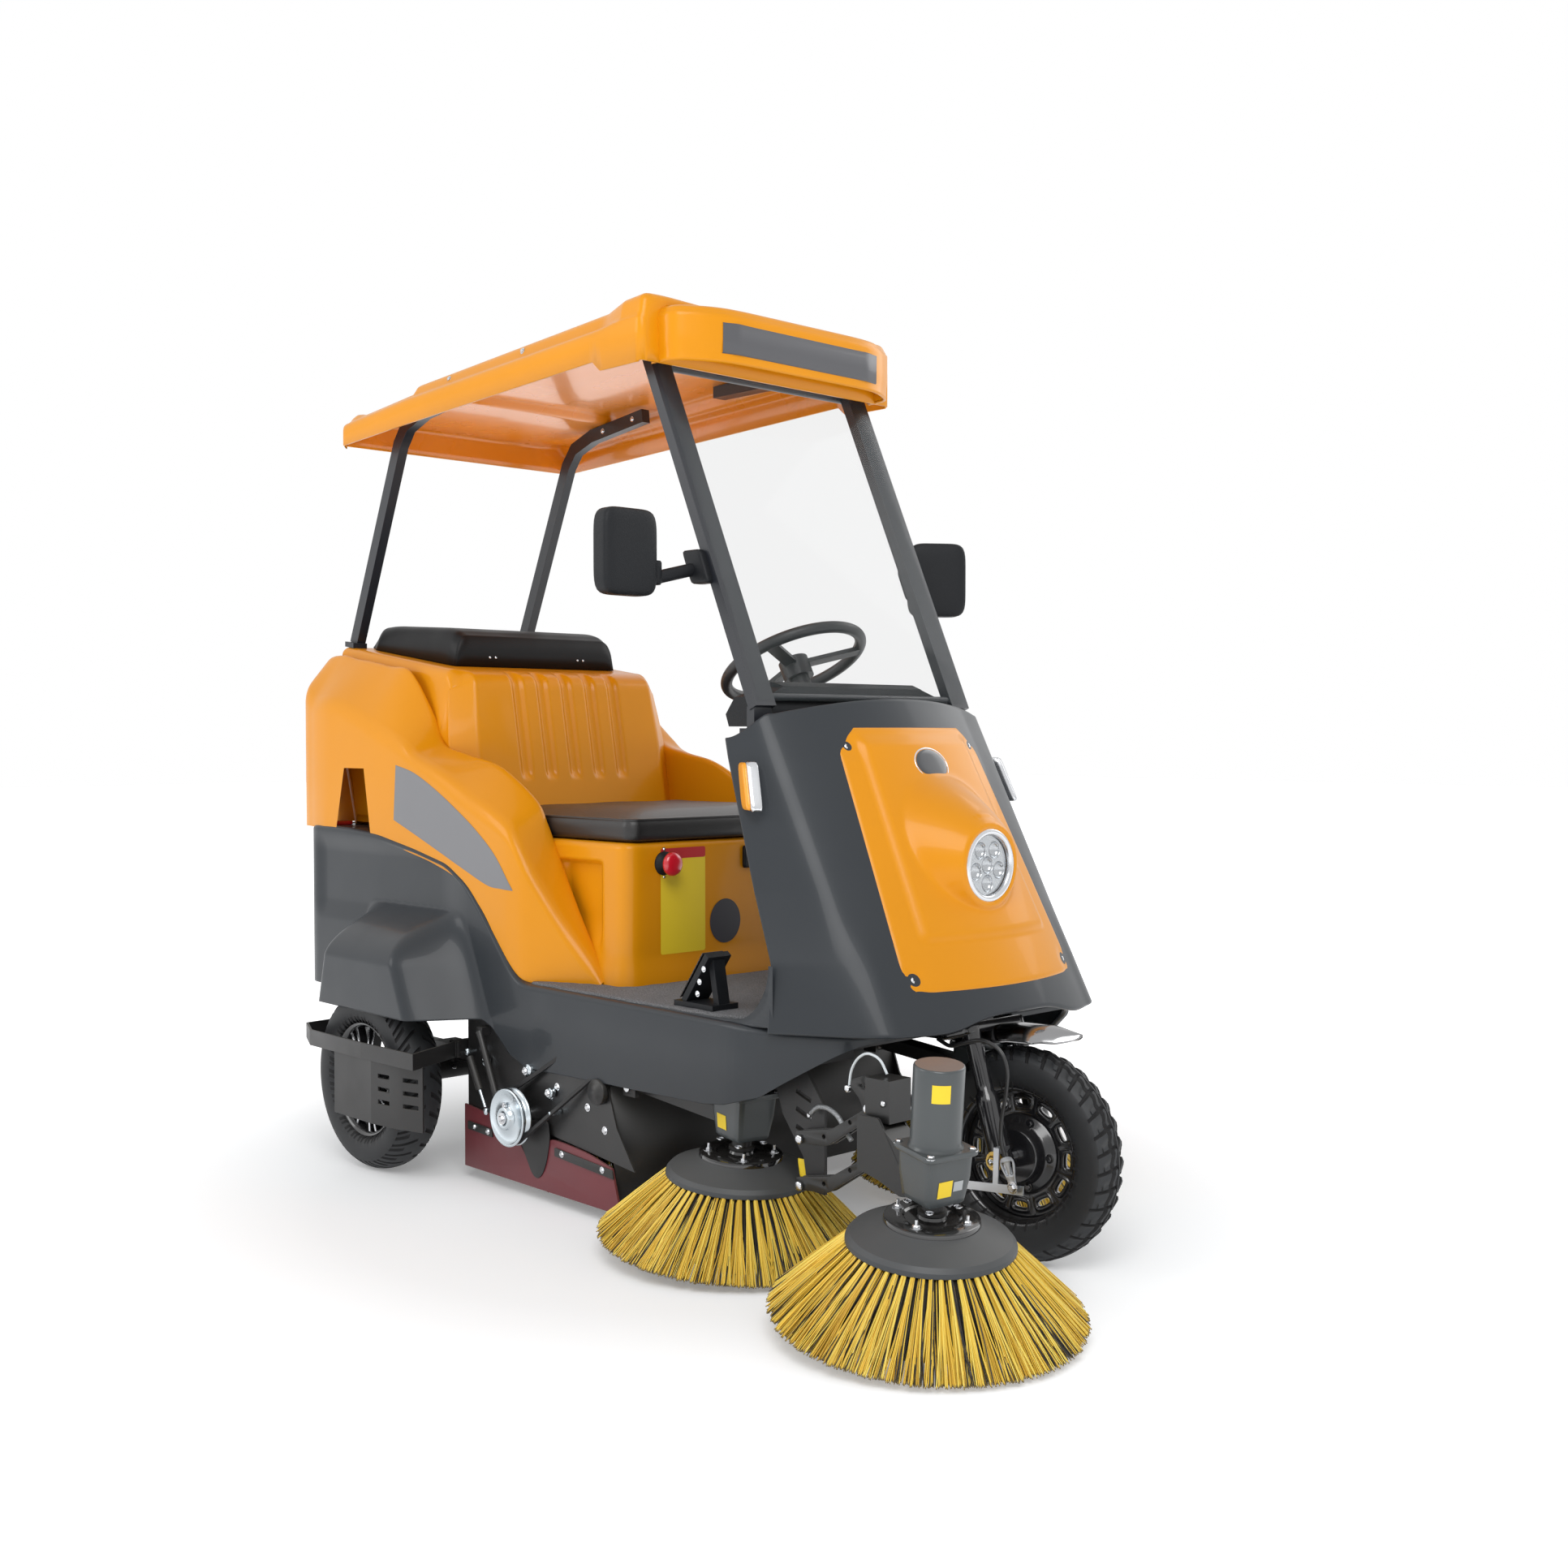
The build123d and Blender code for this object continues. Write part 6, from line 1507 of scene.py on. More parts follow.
fan = rounded_loop_of([(-7, -8), (-9, 16), (-17, 44), (-12, 58), (12, 58), (17, 44), (9, 16), (7, -8)], 7)
slots = [disc_loop((side * 7.2, 36), 3.0, 20, 20, math.pi / 2 - side * 0.2) for side in (-1, 1)]
plate("cable_clevis", [fan] + slots, on_lever, 4, zinc_plate, "fork", "zinc", bevel=0.9)
fasteners("clevis_bolt", [steered(tip + (12, -12, -14))], (0, -1, 0), 8, bright_steel, "fork")

# ---------------------------------------------------------------- rotating brushes
# Slate plastic discs carry two rows of tufts of yellow plastic filament, some of it black; a glossy
# steel hub plate is bolted on top of each disc.
disc_plastic = finished("disc_plastic", (0.034, 0.039, 0.045), 0.45, smooth_finish, tint=0.35, spread=0.25, bump=0.2,
                        dust=0.35)
hub_gloss = finished("hub_gloss", (0.007, 0.007, 0.008), 0.1, smooth_finish, tint=0.1, spread=0.2, bump=0.05, dust=0.12,
                     coat=0.8)
# dark colour for the cone inside the tufts: painted shade of the dense bristle mass
painted_bristle_shade = finished("painted_bristle_shade", (0.022, 0.017, 0.011), 0.7, smooth_finish, tint=0.3, dust=0.0)
bristle_plastic, tree, shader = paint("bristle_plastic", (0.8, 0.5, 0.05), 0.36)
place = tree.nodes.new("ShaderNodeUVMap")
place.uv_map = "strand"
split = tree.nodes.new("ShaderNodeSeparateXYZ")
hue = tree.nodes.new("ShaderNodeValToRGB")
hue.color_ramp.interpolation = "CONSTANT"
stops = ((0.0, (0.014, 0.012, 0.010)), (0.12, (0.70, 0.42, 0.035)), (0.30, (0.92, 0.62, 0.07)),
         (0.6, (0.97, 0.74, 0.13)),
         (0.85, (0.84, 0.54, 0.05)))
hue.color_ramp.elements[1].position = stops[1][0]
for index, (where, colour) in enumerate(stops):
    stop = hue.color_ramp.elements[index] if index < 2 else hue.color_ramp.elements.new(where)
    stop.color = (*colour, 1)
worn = tree.nodes.new("ShaderNodeMapRange")
worn.inputs["From Min"].default_value = 0.978
worn.inputs["From Max"].default_value = 0.996
tipped = tree.nodes.new("ShaderNodeMix")
tipped.data_type = "RGBA"
tipped.inputs["B"].default_value = (0.20, 0.14, 0.05, 1)
tree.links.new(place.outputs["UV"], split.inputs[0])
tree.links.new(split.outputs["X"], hue.inputs["Fac"])
tree.links.new(split.outputs["Y"], worn.inputs["Value"])
tree.links.new(worn.outputs["Result"], tipped.inputs["Factor"])
tree.links.new(hue.outputs["Color"], tipped.inputs["A"])
tree.links.new(tipped.outputs["Result"], shader.inputs["Base Color"])


def tilted(place, about_x, about_y):
    """Carries points of a brush's own frame, its disc's rim at height zero, to where the brush hangs."""
    cx, sx, cy, sy = math.cos(about_x), math.sin(about_x), math.cos(about_y), math.sin(about_y)
    turn = np.array(((1, 0, 0), (0, cx, -sx), (0, sx, cx))) @ np.array(((cy, 0, sy), (0, 1, 0), (-sy, 0, cy)))
    return lambda points: (np.asarray(points, dtype=float) + (0, 0, 133)) @ turn.T + np.asarray(place, dtype=float)


def upright(profile, segments=96, turn_by=0.0):
    """Profile of radius and height carried round the Z axis."""
    profile = np.asarray(profile, dtype=float)
    angle = np.linspace(0, 2 * math.pi, segments, endpoint=False) + turn_by
    return np.stack([profile[:, :1] * np.cos(angle)[None], profile[:, :1] * np.sin(angle)[None],
                     profile[:, 1:2] + 0 * angle[None]], -1)


def strands(name, paths, radius, chance, body):
    """Three-sided strands in one mesh from (count, steps, xyz) paths; U is each strand's chance number, V its length."""
    paths = np.asarray(paths, dtype=float)
    count, steps = paths.shape[:2]
    along = paths[:, -1] - paths[:, 0]
    along /= np.linalg.norm(along, axis=1, keepdims=True)
    first = np.cross(along, (0.21, 0.13, 0.97))
    first /= np.linalg.norm(first, axis=1, keepdims=True)
    second = np.cross(along, first)
    turn = np.arange(3) * 2 * math.pi / 3
    ring = radius * (first[:, None] * np.cos(turn)[None, :, None] + second[:, None] * np.sin(turn)[None, :, None])
    points = paths[:, :, None] + ring[:, None]
    piece_of, at, corner = np.meshgrid(np.arange(count), np.arange(steps - 1), np.arange(3), indexing="ij")
    base, after = piece_of * steps * 3, (corner + 1) % 3
    faces = np.stack([base + at * 3 + corner, base + at * 3 + after, base + at * 3 + 3 + after,
                      base + at * 3 + 3 + corner],
                     -1).reshape(-1, 4)
    mesh = bpy.data.meshes.new(name)
    mesh.vertices.add(count * steps * 3)
    mesh.vertices.foreach_set("co", metres(points.reshape(-1, 3)).astype(np.float32).ravel())
    mesh.loops.add(faces.size)
    mesh.loops.foreach_set("vertex_index", faces.ravel().astype(np.int32))
    mesh.polygons.add(len(faces))
    mesh.polygons.foreach_set("loop_start", np.arange(0, faces.size, 4, dtype=np.int32))
    mesh.polygons.foreach_set("loop_total", np.full(len(faces), 4, dtype=np.int32))
    mesh.update(calc_edges=True)
    layer = mesh.uv_layers.new(name="strand")
    length = (faces // 3 % steps) / (steps - 1)
    layer.data.foreach_set("uv", np.stack([np.asarray(chance)[faces // (3 * steps)], length],
                                          -1).astype(np.float32).ravel())
    mesh.shade_smooth()
    piece = bpy.data.objects.new(name, mesh)
    bpy.context.scene.collection.objects.link(piece)
    mesh.materials.append(bristle_plastic)
    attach(piece, body)
    return piece


brushes = (
    ("front_brush", "front_brush", "carrier", tilted((1683, -452, 39.01), math.radians(3), math.radians(6)), 4, 0.3),
    ("mid_brush_right", "mid_brush_right", "mid_arm_right", tilted((1095, -370, 30.67), 0.0, math.radians(5)), 5, 0.9),
    ("mid_brush_left", "mid_brush_left", "mid_arm_left", tilted((1095, 370, 30.67), 0.0, math.radians(5)), 6, -0.2),
)
disc_node = {"front_brush": "front_brush_disc", "mid_brush_right": "mid_brush_disc_right",
             "mid_brush_left": "mid_brush_disc_left"}
bristle_node = {"front_brush": "front_brush_bristles", "mid_brush_right": "mid_brush_bristles_right",
                "mid_brush_left": "mid_brush_bristles_left"}
for brush, body, carried_by, put, seed, spin in brushes:
    disc = sheet(f"{brush}_plate", put(upright([(0.02, 33), (86, 33), (92, 29.5), (136, 12), (142, 9.5), (149, 1.5),
                                                (150, -2),
                                                (150, -7), (147, -9), (110, 4), (0.02, 8)])), disc_plastic, body,
                                                wrap=True)
    disc.data.set_sharp_from_angle(angle=math.radians(20))
    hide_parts(disc_node[brush])
    hub = sheet(f"{brush}_hub", put(upright([(0.02, 46), (24, 46), (26, 41), (48, 40), (52, 43), (80, 43), (84, 41.5),
                                             (85, 39),
                                             (85, 32), (0.02, 32)], 72)), hub_gloss, body, wrap=True)
    hub.data.set_sharp_from_angle(angle=math.radians(25))
    spots = [(66 * math.cos(spin + k * math.pi / 2), 66 * math.sin(spin + k * math.pi / 2), 43) for k in range(4)]
    up = put((0, 0, 1.0)) - put((0, 0, 0.0))
    fasteners(f"{brush}_hub_nuts", [put(spot) for spot in spots], up, 7, bright_steel, body)
    for index, spot in enumerate(spots):
        tube(f"{brush}_stud_{index}", [put(spot), put(np.array(spot) + (0, 0, 15))], 3.2, bright_steel, body,
             segments=10)

    chance = np.random.default_rng(seed)
    share = np.array((0, 0.28, 0.62, 1.0))
    kept, shades = [], []
    for tufts, each, root, dark, turn_by in ((60, 46, 146.5, 0.07, 0.0), (60, 12, 136.0, 0.8, math.pi / 60)):
        count = tufts * each
        tuft = np.repeat(np.arange(tufts), each) * 2 * math.pi / tufts + turn_by + np.repeat(chance.normal(0, 0.004,
                tufts), each)
        bundle_turn, bundle = chance.uniform(0, 2 * math.pi, count), 3.6 * np.sqrt(chance.uniform(0, 1, count))
        spread = (bundle * np.cos(bundle_turn) / 3.6 * 0.036 + chance.normal(0, 0.014, count)) + np.repeat(
            chance.normal(0, 0.010, tufts), each)
        deep = bundle * np.sin(bundle_turn) / 3.6
        tip_radius = np.clip(272 + 8.5 * deep + chance.normal(0, 3.5, count), 246, 282.5)
        tip_height = np.clip(-132.0 + (tip_radius - 272) * 0.05 + np.abs(chance.normal(0, 1.6, count)), -133.5, -120)
        radius_at = root + 2.6 * deep[:, None] + (tip_radius - root - 2.6 * deep)[:, None] * share
        height_at = -9 + 2.6 * deep[:, None] + (tip_height + 9 - 2.6 * deep)[:,
                None] * share + 7 * (share * (1 - share))
        angle_at = (tuft + bundle * np.cos(bundle_turn) / root)[:, None] + spread[:, None] * share ** 1.6
        kept.append(np.stack([radius_at * np.cos(angle_at), radius_at * np.sin(angle_at), height_at], -1))
        shades.append(np.where(chance.uniform(0, 1, count) < dark, 0.05, chance.uniform(0.13, 1.0, count)))
    tufted = strands(f"{brush}_strands", put(np.concatenate(kept)), 1.15, np.concatenate(shades), body)
    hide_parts(bristle_node[brush])
    # dark cone inside the tufts: painted shade in the dense bristle mass, so that the gaps between tufts read dark
    core = sheet(f"{brush}_core", put(upright([(122, -6), (142, -11), (238, -109), (234, -112), (118, -20)], 72)),
                 painted_bristle_shade,
                 body, wrap=True)


# ---------------------------------------------------------------- brush drives
# Geared motors: a painted steel motor on a cast gearbox whose square flange is held by four bolts,
# with blank rating labels. The middle ones hang on welded arms under the floor.
drive_paint = finished("drive_paint", (0.046, 0.054, 0.057), 0.34, smooth_finish, tint=0.25, spread=0.2, bump=0.1,
                       dust=0.2,
                       coat=0.25)
motor_cap = finished("motor_cap", (0.14, 0.115, 0.11), 0.4, smooth_finish, tint=0.4, spread=0.2, dust=0.3)
steel_black = finished("steel_black", (0.009, 0.009, 0.010), 0.36, smooth_finish, tint=0.25, spread=0.25, bump=0.15,
                       dust=0.3)
label_yellow = finished("label_yellow", (0.88, 0.62, 0.02), 0.5, smooth_finish, tint=0.05, dust=0.05)
label_pale = finished("label_pale", (0.42, 0.44, 0.45), 0.5, smooth_finish, tint=0.05, dust=0.05)


def squared(half, height, turn_by, power=12.0, segments=64):
    """Rounded square of that half width at a height, turned about the Z axis."""
    angle = np.linspace(0, 2 * math.pi, segments, endpoint=False)
    reach = (np.abs(np.cos(angle)) ** power + np.abs(np.sin(angle)) ** power) ** (-1 / power)
    return np.stack([half * reach * np.cos(angle + turn_by), half * reach * np.sin(angle + turn_by),
                     np.full(segments, float(height))], -1)


for brush, body, carried_by, put, seed, spin in brushes:
    tall = 146 if brush == "front_brush" else 70
    swing = math.radians(-11) if brush == "front_brush" else math.radians(-6)
    up = put((0, 0, 1.0)) - put((0, 0, 0.0))
    neck = sheet(f"{brush}_neck", put(upright([(0.02, 48), (26, 48), (26, 54), (20, 56), (20, 78), (0.02, 78)], 48)),
                 steel_black,
                 carried_by, wrap=True)
    neck.data.set_sharp_from_angle(angle=math.radians(40))
    body_rows = [squared(half, height, swing) for half, height in (
        (0.02, 74), (38, 74), (40, 77), (41, 84), (46.5, 122), (47.5, 150), (48, 159), (54, 160), (55, 162), (55, 168),
        (54, 170), (0.02, 170))]
    gearbox = sheet(f"{brush}_gearbox", put(np.stack(body_rows)), drive_paint, carried_by, wrap=True)
    gearbox.data.set_sharp_from_angle(angle=math.radians(35))
    motor = sheet(f"{brush}_motor", put(upright([(50, 167), (50, 169), (46, 173), (45, 180), (45, 164 + tall),
                                                 (44, 167 + tall),
                                                 (42, 168 + tall)], 96)), drive_paint, carried_by, wrap=True)
    motor.data.set_sharp_from_angle(angle=math.radians(50))
    sheet(f"{brush}_motor_cap", put(upright([(42.2, 168 + tall), (0.02, 168.6 + tall)], 96)), motor_cap,
                  carried_by,
                  wrap=True)
    corners = [(46 * math.cos(swing + turn) * 1.38, 46 * math.sin(swing + turn) * 1.38, 168)
               for turn in (math.pi / 4, 3 * math.pi / 4, 5 * math.pi / 4, 7 * math.pi / 4)]
    fasteners(f"{brush}_flange_bolts", [put(spot) for spot in corners], up, 6.5, bright_steel, carried_by)
    low_corners = [(34 * math.cos(swing + turn) * 1.3, 34 * math.sin(swing + turn) * 1.3, 65)
                   for turn in (math.pi / 4, 3 * math.pi / 4, 5 * math.pi / 4, 7 * math.pi / 4)]
    fasteners(f"{brush}_base_bolts", [put(spot) for spot in low_corners], -up, 5, bright_steel, carried_by)
    # blank labels: one on the gearbox's face, one curved round the front motor
    ways = {"front_brush": 0.0, "mid_brush_right": -math.pi / 2, "mid_brush_left": math.pi / 2}
    face = swing + ways[brush]
    u, v = np.meshgrid(np.linspace(-1, 1, 8), np.linspace(0, 1, 6))
    for part, low, high, first, last, colour in (("label", 92, 122, -26, 4, label_yellow),
                                                 ("label_strip", 100, 118, 7, 27, label_pale)):
        across = first + (last - first) * (u + 1) / 2
        height = low + (high - low) * v
        reach = 46.6 + (height - 122) * 6 / 46 + 0.6
        points = np.stack([reach * math.cos(face) - across * math.sin(face),
                           reach * math.sin(face) + across * math.cos(face),
                           height], -1)
        if part == "label" or brush == "front_brush":
            sheet(f"{brush}_{part}", put(points), colour, carried_by)
    if brush == "front_brush":
        turn = -0.74 + 0.36 * u
        sheet("motor_label", put(np.stack([45.5 * np.cos(turn), 45.5 * np.sin(turn), 258 + 32 * v], -1)),
                      label_yellow,
                      carried_by)
    else:
        side = 1 if brush == "mid_brush_left" else -1
        beam_rows = [np.array([(x, -25, z), (x, 25, z), (x, 25, z + 30), (x, -25, z + 30)]) for x,
                     z in ((-30, 95), (-300, 95))]
        arm = bars(f"{brush}_arm", [np.stack(beam_rows)], put, steel_black, carried_by)
        tube(f"{brush}_arm_tube", put([(-300, -53, 110), (-300, 53, 110)]), 20, steel_black, carried_by,
             segments=28)
        tube(f"{brush}_arm_bolt", put([(-300, -62, 110), (-300, 62, 110)]), 9, bright_steel, carried_by,
             segments=16)
        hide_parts("mid_brush_drive_left" if side > 0 else "mid_brush_drive_right")


# ---------------------------------------------------------------- front brush carrier and its arm
# Laser-cut steel plates in satin black: two dog-leg links a side form an open parallelogram between
# the frame's slotted bracket and the plate that the drive is welded to, on zinc-plated pins.


def upright_plate(y):
    """Puts a plate's (u, v) at x and z in the plane y."""
    return lambda points: np.stack([points[:, 0], y + points[:, 2], points[:, 1]], -1)


plate_steel = finished("plate_steel", (0.011, 0.011, 0.011), 0.34, smooth_finish, tint=0.3, spread=0.25, bump=0.1,
                       dust=0.16)
arm_rear, arm_front = np.array((1307.0, 268.0)), np.array((1487.0, 355.0))
for drop, body, node in ((0, "arm_upper", "brush_arm_upper"), (90, "arm_lower", "brush_arm_lower")):
    start, end = arm_rear - (0, drop), arm_front - (0, drop)
    middle = (start + end) / 2 + (-8, -26)
    edge = rounded_loop_of([start + (-12, -10), middle + (-8, -18), end + (11, -13), end + (14, 12), middle + (2, 16),
                            start + (-13, 14)], 7)
    holes = [disc_loop(middle + (-18, -2), 4.5), disc_loop((middle + end) / 2 + (2, 2), 4.5)]
    for word, y in (("near", -393), ("far", -375)):
        piece = plate(f"{body}_{word}", [edge] + holes, upright_plate(y), 6, plate_steel, body, "frame_black")
    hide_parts(node)
    tube(f"{body}_spacer", [(middle[0], -390, middle[1]), (middle[0], -378, middle[1])], 8, plate_steel, body)
    for spot, holder, word in ((start, "chassis", "rear"), (end, "carrier", "front")):
        pin = [(8.4, 0), (9, 0.8), (9, 5), (8, 6.4), (4, 7), (0.02, 7.1)]
        turned(f"{body}_pin_{word}", pin[::-1], bright_steel, holder, (spot[0], -396.3, spot[1]), (0, -1, 0),
               segments=28)
        tube(f"{body}_pin_rod_{word}", [(spot[0], -396, spot[1]), (spot[0], -366, spot[1])], 6.6, bright_steel, holder)

edge = rounded_loop_of([(1411, 384), (1417, 396), (1450, 408), (1500, 410), (1500, 244), (1476, 236), (1462, 250),
                        (1462, 306),
                        (1478, 330), (1448, 340), (1436, 362), (1424, 372)], 5)
holes = [disc_loop((1432 + 10 * k, 389 - 1.5 * k), 2.6, 14) for k in range(1, 4)]
carrier_plate = plate("carrier_plate", [edge] + holes, upright_plate(-364), 6, plate_steel, "carrier", "frame_black")
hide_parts("brush_carrier")
gusset = rounded_loop_of([(1496, 352), (1548, 352), (1562, 332), (1632, 226), (1600, 222), (1528, 250), (1496, 250)], 4)
for word, y in (("near", -432), ("far", -372)):
    plate(f"carrier_gusset_{word}", [gusset], upright_plate(y), 5, plate_steel, "carrier", "frame_black")
carrier_box = [np.array([(x, -434, low), (x, -370, low), (x, -370, high), (x, -434, high)]) for x, low, high in (
    (1508, 250, 350), (1560, 238, 334), (1606, 228, 300), (1650, 262, 300))]
bars("carrier_box", [np.stack(carrier_box)], same, plate_steel, "carrier")
block_rows = [np.array([(x, -420, 342), (x, -362, 342), (x, -362, 420), (x, -420, 420)]) for x in (1502, 1562)]
bars("carrier_block", [np.stack(block_rows)], same, plate_steel, "carrier")
turned("carrier_block_bolt", [(0.02, 4), (5.5, 3.6), (6, 0)], bright_steel, "carrier", (1547, -420, 377), (0, -1, 0),
       segments=20)

# braided lifting strap hung in the upper link, and a thin white safety cable with its pin
strap_steel = finished("strap_steel", (0.30, 0.31, 0.32), 0.35, grain_finish, tint=0.9, spread=0.5, bump=1.0, dust=0.1,
                       metallic=0.8)
strap_path = filleted(np.array([(1322, -381, 318), (1340, -381, 334), (1368, -381, 336), (1396, -381, 324),
                                (1412, -381, 302),
                                (1430, -381, 284)], dtype=float))
lifting_strap = tube("lifting_strap", strap_path, 5.0, strap_steel, "arm_upper", segments=10)
cable_white = finished("cable_white", (0.62, 0.66, 0.68), 0.3, smooth_finish, tint=0.1, dust=0.1, coat=0.3)
cable_path = filleted(np.array([(1428, -385, 390), (1432, -385, 417), (1447, -385, 441), (1473, -385, 457),
                                (1507, -385, 450),
                                (1527, -388, 424)], dtype=float))
white_line = tube("white_line", cable_path, 2.6, cable_white, "carrier", segments=10)
turned("white_line_pin", [(0.02, 6), (6, 5.4), (7, 4), (7, -2)], bright_steel, "carrier", (1428, -389, 383), (0, -1, 0),
       segments=24)

# ---------------------------------------------------------------- frame, rear axle and springs
# Welded box-section frame, the motor axle on leaf springs and the wheel guards, all in satin black
# chassis paint; the guards are bolted to outriggers.
chassis_black = finished("chassis_black", (0.009, 0.009, 0.010), 0.42, smooth_finish, tint=0.25, spread=0.25, bump=0.2,
                         dust=0.4)
for node, edge in (("frame", 2.5), ("rear_axle", 2.0), ("wheel_guard_right", 1.2), ("wheel_guard_left", 1.2)):
    dressed(node, chassis_black, edge=edge)
for side, word in ((-1, "right"), (1, "left")):
    outwards = (0, side, 0)
    fasteners(f"guard_bolts_{word}", [(x, side * 474.4, z) for x in (221, -262) for z in (298, 316)], outwards, 5,
              bright_steel,
              "chassis")
    # second and third leaves of each spring, with its clamps
    for index, (half, drop) in enumerate(((150, 8), (105, 15), (65, 22))):
        leaf = np.stack([np.array([(x, side * 330 - 24, 246 - drop), (x, side * 330 + 24, 246 - drop),
                                   (x, side * 330 + 24, 252 - drop), (x, side * 330 - 24, 252 - drop)])
                         for x in np.linspace(-half, half, 7)])
        bars(f"spring_leaf_{word}_{index}", [leaf], same, chassis_black, "chassis")
    fasteners(f"spring_nuts_{word}", [(x, side * 330 + y, 222) for x in (-32, 32) for y in (-20, 20)], (0, 0, -1), 6,
              bright_steel, "chassis")
fasteners("bracket_bolts", [(1300, -362, 308), (1276, -362, 256)], (0, -1, 0), 5.5, bright_steel, "chassis")
pillow("bracket_label", (1284, -362.5, 200), (14, 1.2, 19), 0.0, label_yellow, "chassis", power=12.0, count=12,
       lean=-0.2)

# ---------------------------------------------------------------- broom box, skirts and broom
# Black steel broom box under the floor, a maroon rubber skirt clamped to each side with two steel
# strips, the broom's belt pulley on the right, and a gas spring that takes the broom's weight.
box_black = finished("box_black", (0.010, 0.010, 0.011), 0.35, smooth_finish, tint=0.3, spread=0.3, bump=0.25,
                     dust=0.35)
dressed("broom_box", box_black, edge=1.0)
skirt_rubber = finished("skirt_rubber", (0.145, 0.018, 0.026), 0.42, smooth_finish, tint=0.35, spread=0.25, bump=0.25,
                        dust=0.35)
flap_rubber = finished("flap_rubber", (0.010, 0.010, 0.011), 0.5, smooth_finish, tint=0.2, dust=0.3)
for side, word in ((-1, "right"), (1, "left")):
    edge = np.concatenate([
        [(231, 176), (231, 30), (820, 30), (790, 124)],
        rounded_path(np.array([(790, 124), (706, 142), (620, 149), (575, 150), (560, 142), (548, 118)], dtype=float),
                     (30, 20, 12, 10), 3)[1:],
        rounded_path(np.array([(540, 100), (528, 78), (508, 76), (488, 84), (448, 128), (420, 160)], dtype=float),
                     (8, 10, 12, 30), 3),
    ])
    piece = plate(f"skirt_{word}_sheet", [edge], upright_plate(side * 447.3), 6, skirt_rubber, "chassis", "skirt_red",
                  bevel=0.8)
    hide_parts(f"skirt_{word}")
    flap = np.array([(x, z) for x, z in [(566, 190), (572, 150), (560, 100), (544, 66), (524, 52), (504, 60), (480, 96),
                                         (430, 170)]],
                    dtype=float)
    plate(f"broom_flap_{word}", [rounded_loop_of(flap, 14)], upright_plate(side * 451.6), 2, flap_rubber, "chassis",
          "frame_black",
          bevel=0.5)
    for index, (first, last, low_first, low_last) in enumerate(((248, 350, 120, 116), (590, 800, 116, 103))):
        strip = np.array([(first, low_first), (last, low_last), (last - 4, low_last + 19), (first, low_first + 19)],
                         dtype=float)
        plate(f"skirt_strip_{word}_{index}", [rounded_loop_of(strip, 3)], upright_plate(side * 452.2), 3, chassis_black,
              "chassis",
              "frame_black", bevel=0.5)
    fasteners(f"skirt_bolts_{word}", [(x, side * 453.8, z) for x,
                                      z in ((276, 129), (332, 127), (618, 125), (762, 117))],
              (0, side, 0), 5, bright_steel, "chassis")

front_flap = sheet("chamber_flap", np.array([[(800.0, y, 40.0) for y in (-440.0, 440.0)],
                                             [(786.0, y, 150.0) for y in (-440.0, 440.0)],
                                             [(775.0, y, 296.0) for y in (-440.0, 440.0)]]), flap_rubber, "chassis",
                                             thickness=4)

zinc_bright = finished("zinc_bright", (0.58, 0.64, 0.68), 0.22, smooth_finish, tint=0.2, spread=0.25, bump=0.1,
                       dust=0.08,
                       metallic=1.0)
pulley_profile = [(14.4, 34), (16, 36), (24, 36), (26, 34), (26, 27), (30, 25.5), (58, 24.6), (60, 26), (64, 26.5),
                  (65.4, 25),
                  (65.4, 22.5), (63, 20), (57, 17), (57, 11), (63, 8), (65.4, 5.5), (65.4, 3), (64, 2), (20, 2)]
turned("pulley_wheel", pulley_profile, zinc_bright, "broom", (476, -476, 190), (0, -1, 0), segments=96)
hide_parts("broom_pulley")
tube("pulley_shaft", [(476, -440, 190), (476, -514, 190)], 13.6, bright_steel, "broom", segments=32)
turned("pulley_key", [(0.02, 6), (5, 5.5), (6, 4), (6, -6)], bright_steel, "broom", (476, -506, 214.5), (0, 0, 1),
       segments=20)
fasteners("pulley_bolt", [(476, -514, 190)], (0, -1, 0), 7, bright_steel, "broom")
fasteners("pulley_set_screw", [(476, -507, 221)], (0, 0, 1), 4.5, bright_steel, "broom")

# the belt runs from the broom's pulley up to a pulley that the floor hides
belt_rubber = finished("belt_rubber", (0.012, 0.012, 0.013), 0.6, smooth_finish, tint=0.15, dust=0.2)
low_centre, high_centre = np.array((476.0, 190.0)), np.array((742.0, 372.0))
lean = math.atan2(high_centre[1] - low_centre[1], high_centre[0] - low_centre[0])
low_arc = np.linspace(lean + math.pi / 2, lean + 3 * math.pi / 2, 40)
high_arc = np.linspace(lean - math.pi / 2, lean + math.pi / 2, 30)
belt = np.concatenate([low_centre + 59 * np.stack([np.cos(low_arc), np.sin(low_arc)], -1),
                       high_centre + 38 * np.stack([np.cos(high_arc), np.sin(high_arc)], -1)])
belt_way = np.concatenate([np.stack([np.cos(low_arc), np.sin(low_arc)], -1),
                           np.stack([np.cos(high_arc), np.sin(high_arc)], -1)])
belt_rows = []
inwards = 48 * np.clip((belt[:, 1] - 150) / 190, 0, 1)
for y, move in ((-494, 4), (-484, 4), (-486, -4), (-492, -4), (-494, 4)):
    belt_rows.append(np.stack([belt[:, 0] + belt_way[:, 0] * move, y + inwards, belt[:, 1] + belt_way[:, 1] * move],
                              -1))
piece = sheet("broom_belt", np.stack(belt_rows), belt_rubber, "chassis", wrap=True)
piece.data.set_sharp_from_angle(angle=math.radians(40))
turned("drive_pulley", [(0.02, 12), (14, 12), (16, 9), (42, 9), (44, 6), (36, 2), (36, -2), (44, -6), (42, -9),
                        (0.02, -9)], chassis_black,
       "chassis", (742, -430, 372), (0, -1, 0), segments=64)
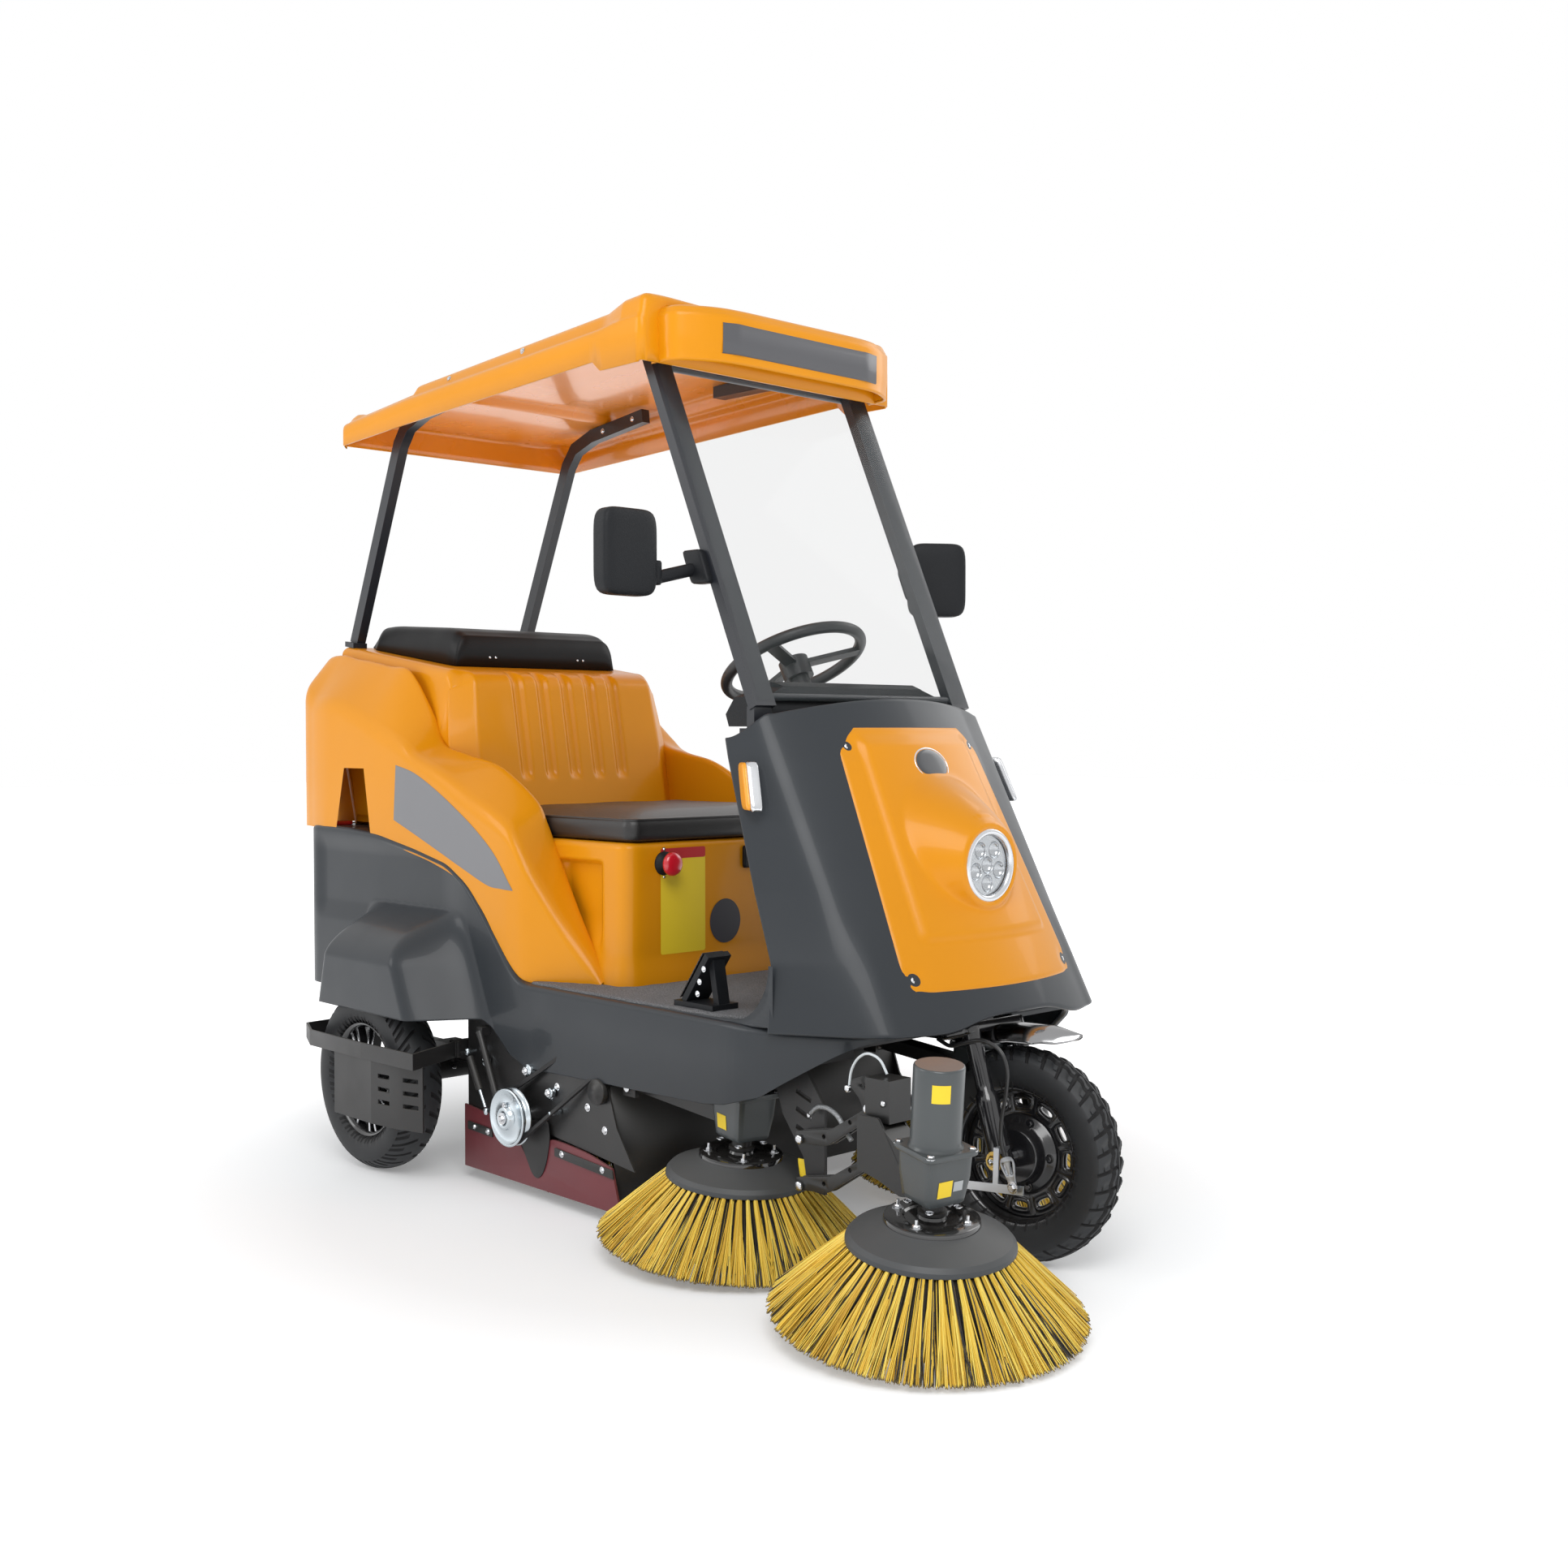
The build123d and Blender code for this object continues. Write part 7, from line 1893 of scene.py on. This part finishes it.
for name, spot, radius, length, metal in (
    ("idler_boss", (578, -448, 255), 11, 14, zinc_bright), ("upper_boss", (498, -448, 293), 15, 18, zinc_bright),
    ("bearing_cap", (746, -448, 282), 28, 16, chassis_black), ("rear_boss", (325, -448, 289), 12, 10, zinc_bright),
    ("stud_boss", (602, -446, 216), 6, 30, zinc_bright),
):
    turned(name, [(0.02, length), (radius * 0.55, length), (radius * 0.6, length * 0.8), (radius * 0.95, length * 0.75),
                  (radius, length * 0.6),
                  (radius, 0)], metal, "chassis", spot, (0, -1, 0), segments=36)
fasteners("box_bolts_right", [(578, -462, 255), (498, -466, 293), (590, -444.5, 268), (566, -444.5, 244),
                              (700, -444.5, 240), (760, -444.5, 200)],
          (0, -1, 0), 6, bright_steel, "chassis")
fasteners("box_bolts_left", [(x, 444.5, z) for x, z in ((300, 280), (420, 330), (560, 300), (700, 240), (760, 200))],
          (0, 1, 0), 6,
          bright_steel, "chassis")
for side, word in ((-1, "right"), (1, "left")):
    top, foot = np.array((276, side * 470, 308.0)), np.array((352, side * 470, 180.0))
    run = (foot - top) / np.linalg.norm(foot - top)
    tube(f"gas_spring_{word}", [top + run * 14, top + run * 96], 8.5, chassis_black, "chassis",
         segments=24)
    tube(f"gas_rod_{word}", [top + run * 90, foot - run * 10], 4, zinc_bright, "chassis", segments=16)
    for spot, part in ((top, "top"), (foot, "foot")):
        pillow(f"gas_{part}_{word}", spot, (7, 7, 9), 0.0, zinc_bright, "chassis", power=2.4, count=14)
        tube(f"gas_{part}_stud_{word}", [spot, spot - (0, side * 22, 0)], 4, zinc_bright, "chassis",
             segments=14)

# rear broom: a drum of stiff dark filaments in spiral rows
rows = []
chance = np.random.default_rng(9)
count = 6000
at_y = chance.uniform(-424, 424, count)
turn = np.floor(chance.uniform(0, 12, count)) * (2 * math.pi / 12) + at_y / 424 * 0.9 + chance.normal(0, 0.05, count)
root = np.stack([476 + 95 * np.cos(turn), at_y, 190 + 95 * np.sin(turn)], -1)
lean_out = chance.normal(0, 0.05, count)
tip_reach = chance.uniform(176, 181.5, count)
tip = np.stack([476 + tip_reach * np.cos(turn + lean_out), np.clip(at_y + chance.normal(0, 4, count), -424.5, 424.5),
                190 + tip_reach * np.sin(turn + lean_out)], -1)
broom = strands("broom_strands", np.stack([root, (root + tip) / 2, tip], 1), 1.5,
                np.where(chance.uniform(0, 1, count) < 0.86, 0.05, chance.uniform(0.13, 1, count)), "broom")
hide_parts("main_broom")
core_profile = [(0.02, -424), (98, -424), (100, -422), (100, 422), (98, 424), (0.02, 424)]
turned("broom_core", [(r, h) for r, h in core_profile][::-1], flap_rubber, "broom", (476, 0, 190), (0, 1, 0),
       segments=48)

# ---------------------------------------------------------------- dust bin and battery box
# Plain plastic bin under the lid and the steel battery case under the seat, both seen only through
# the lid's opening and from below.
bin_plastic = finished("bin_plastic", (0.05, 0.052, 0.056), 0.5, grain_finish, tint=0.2, spread=0.2, bump=0.2, dust=0.5)
dressed("dust_bin", bin_plastic, edge=2.0)
dressed("battery_box", steel_black, edge=2.5)
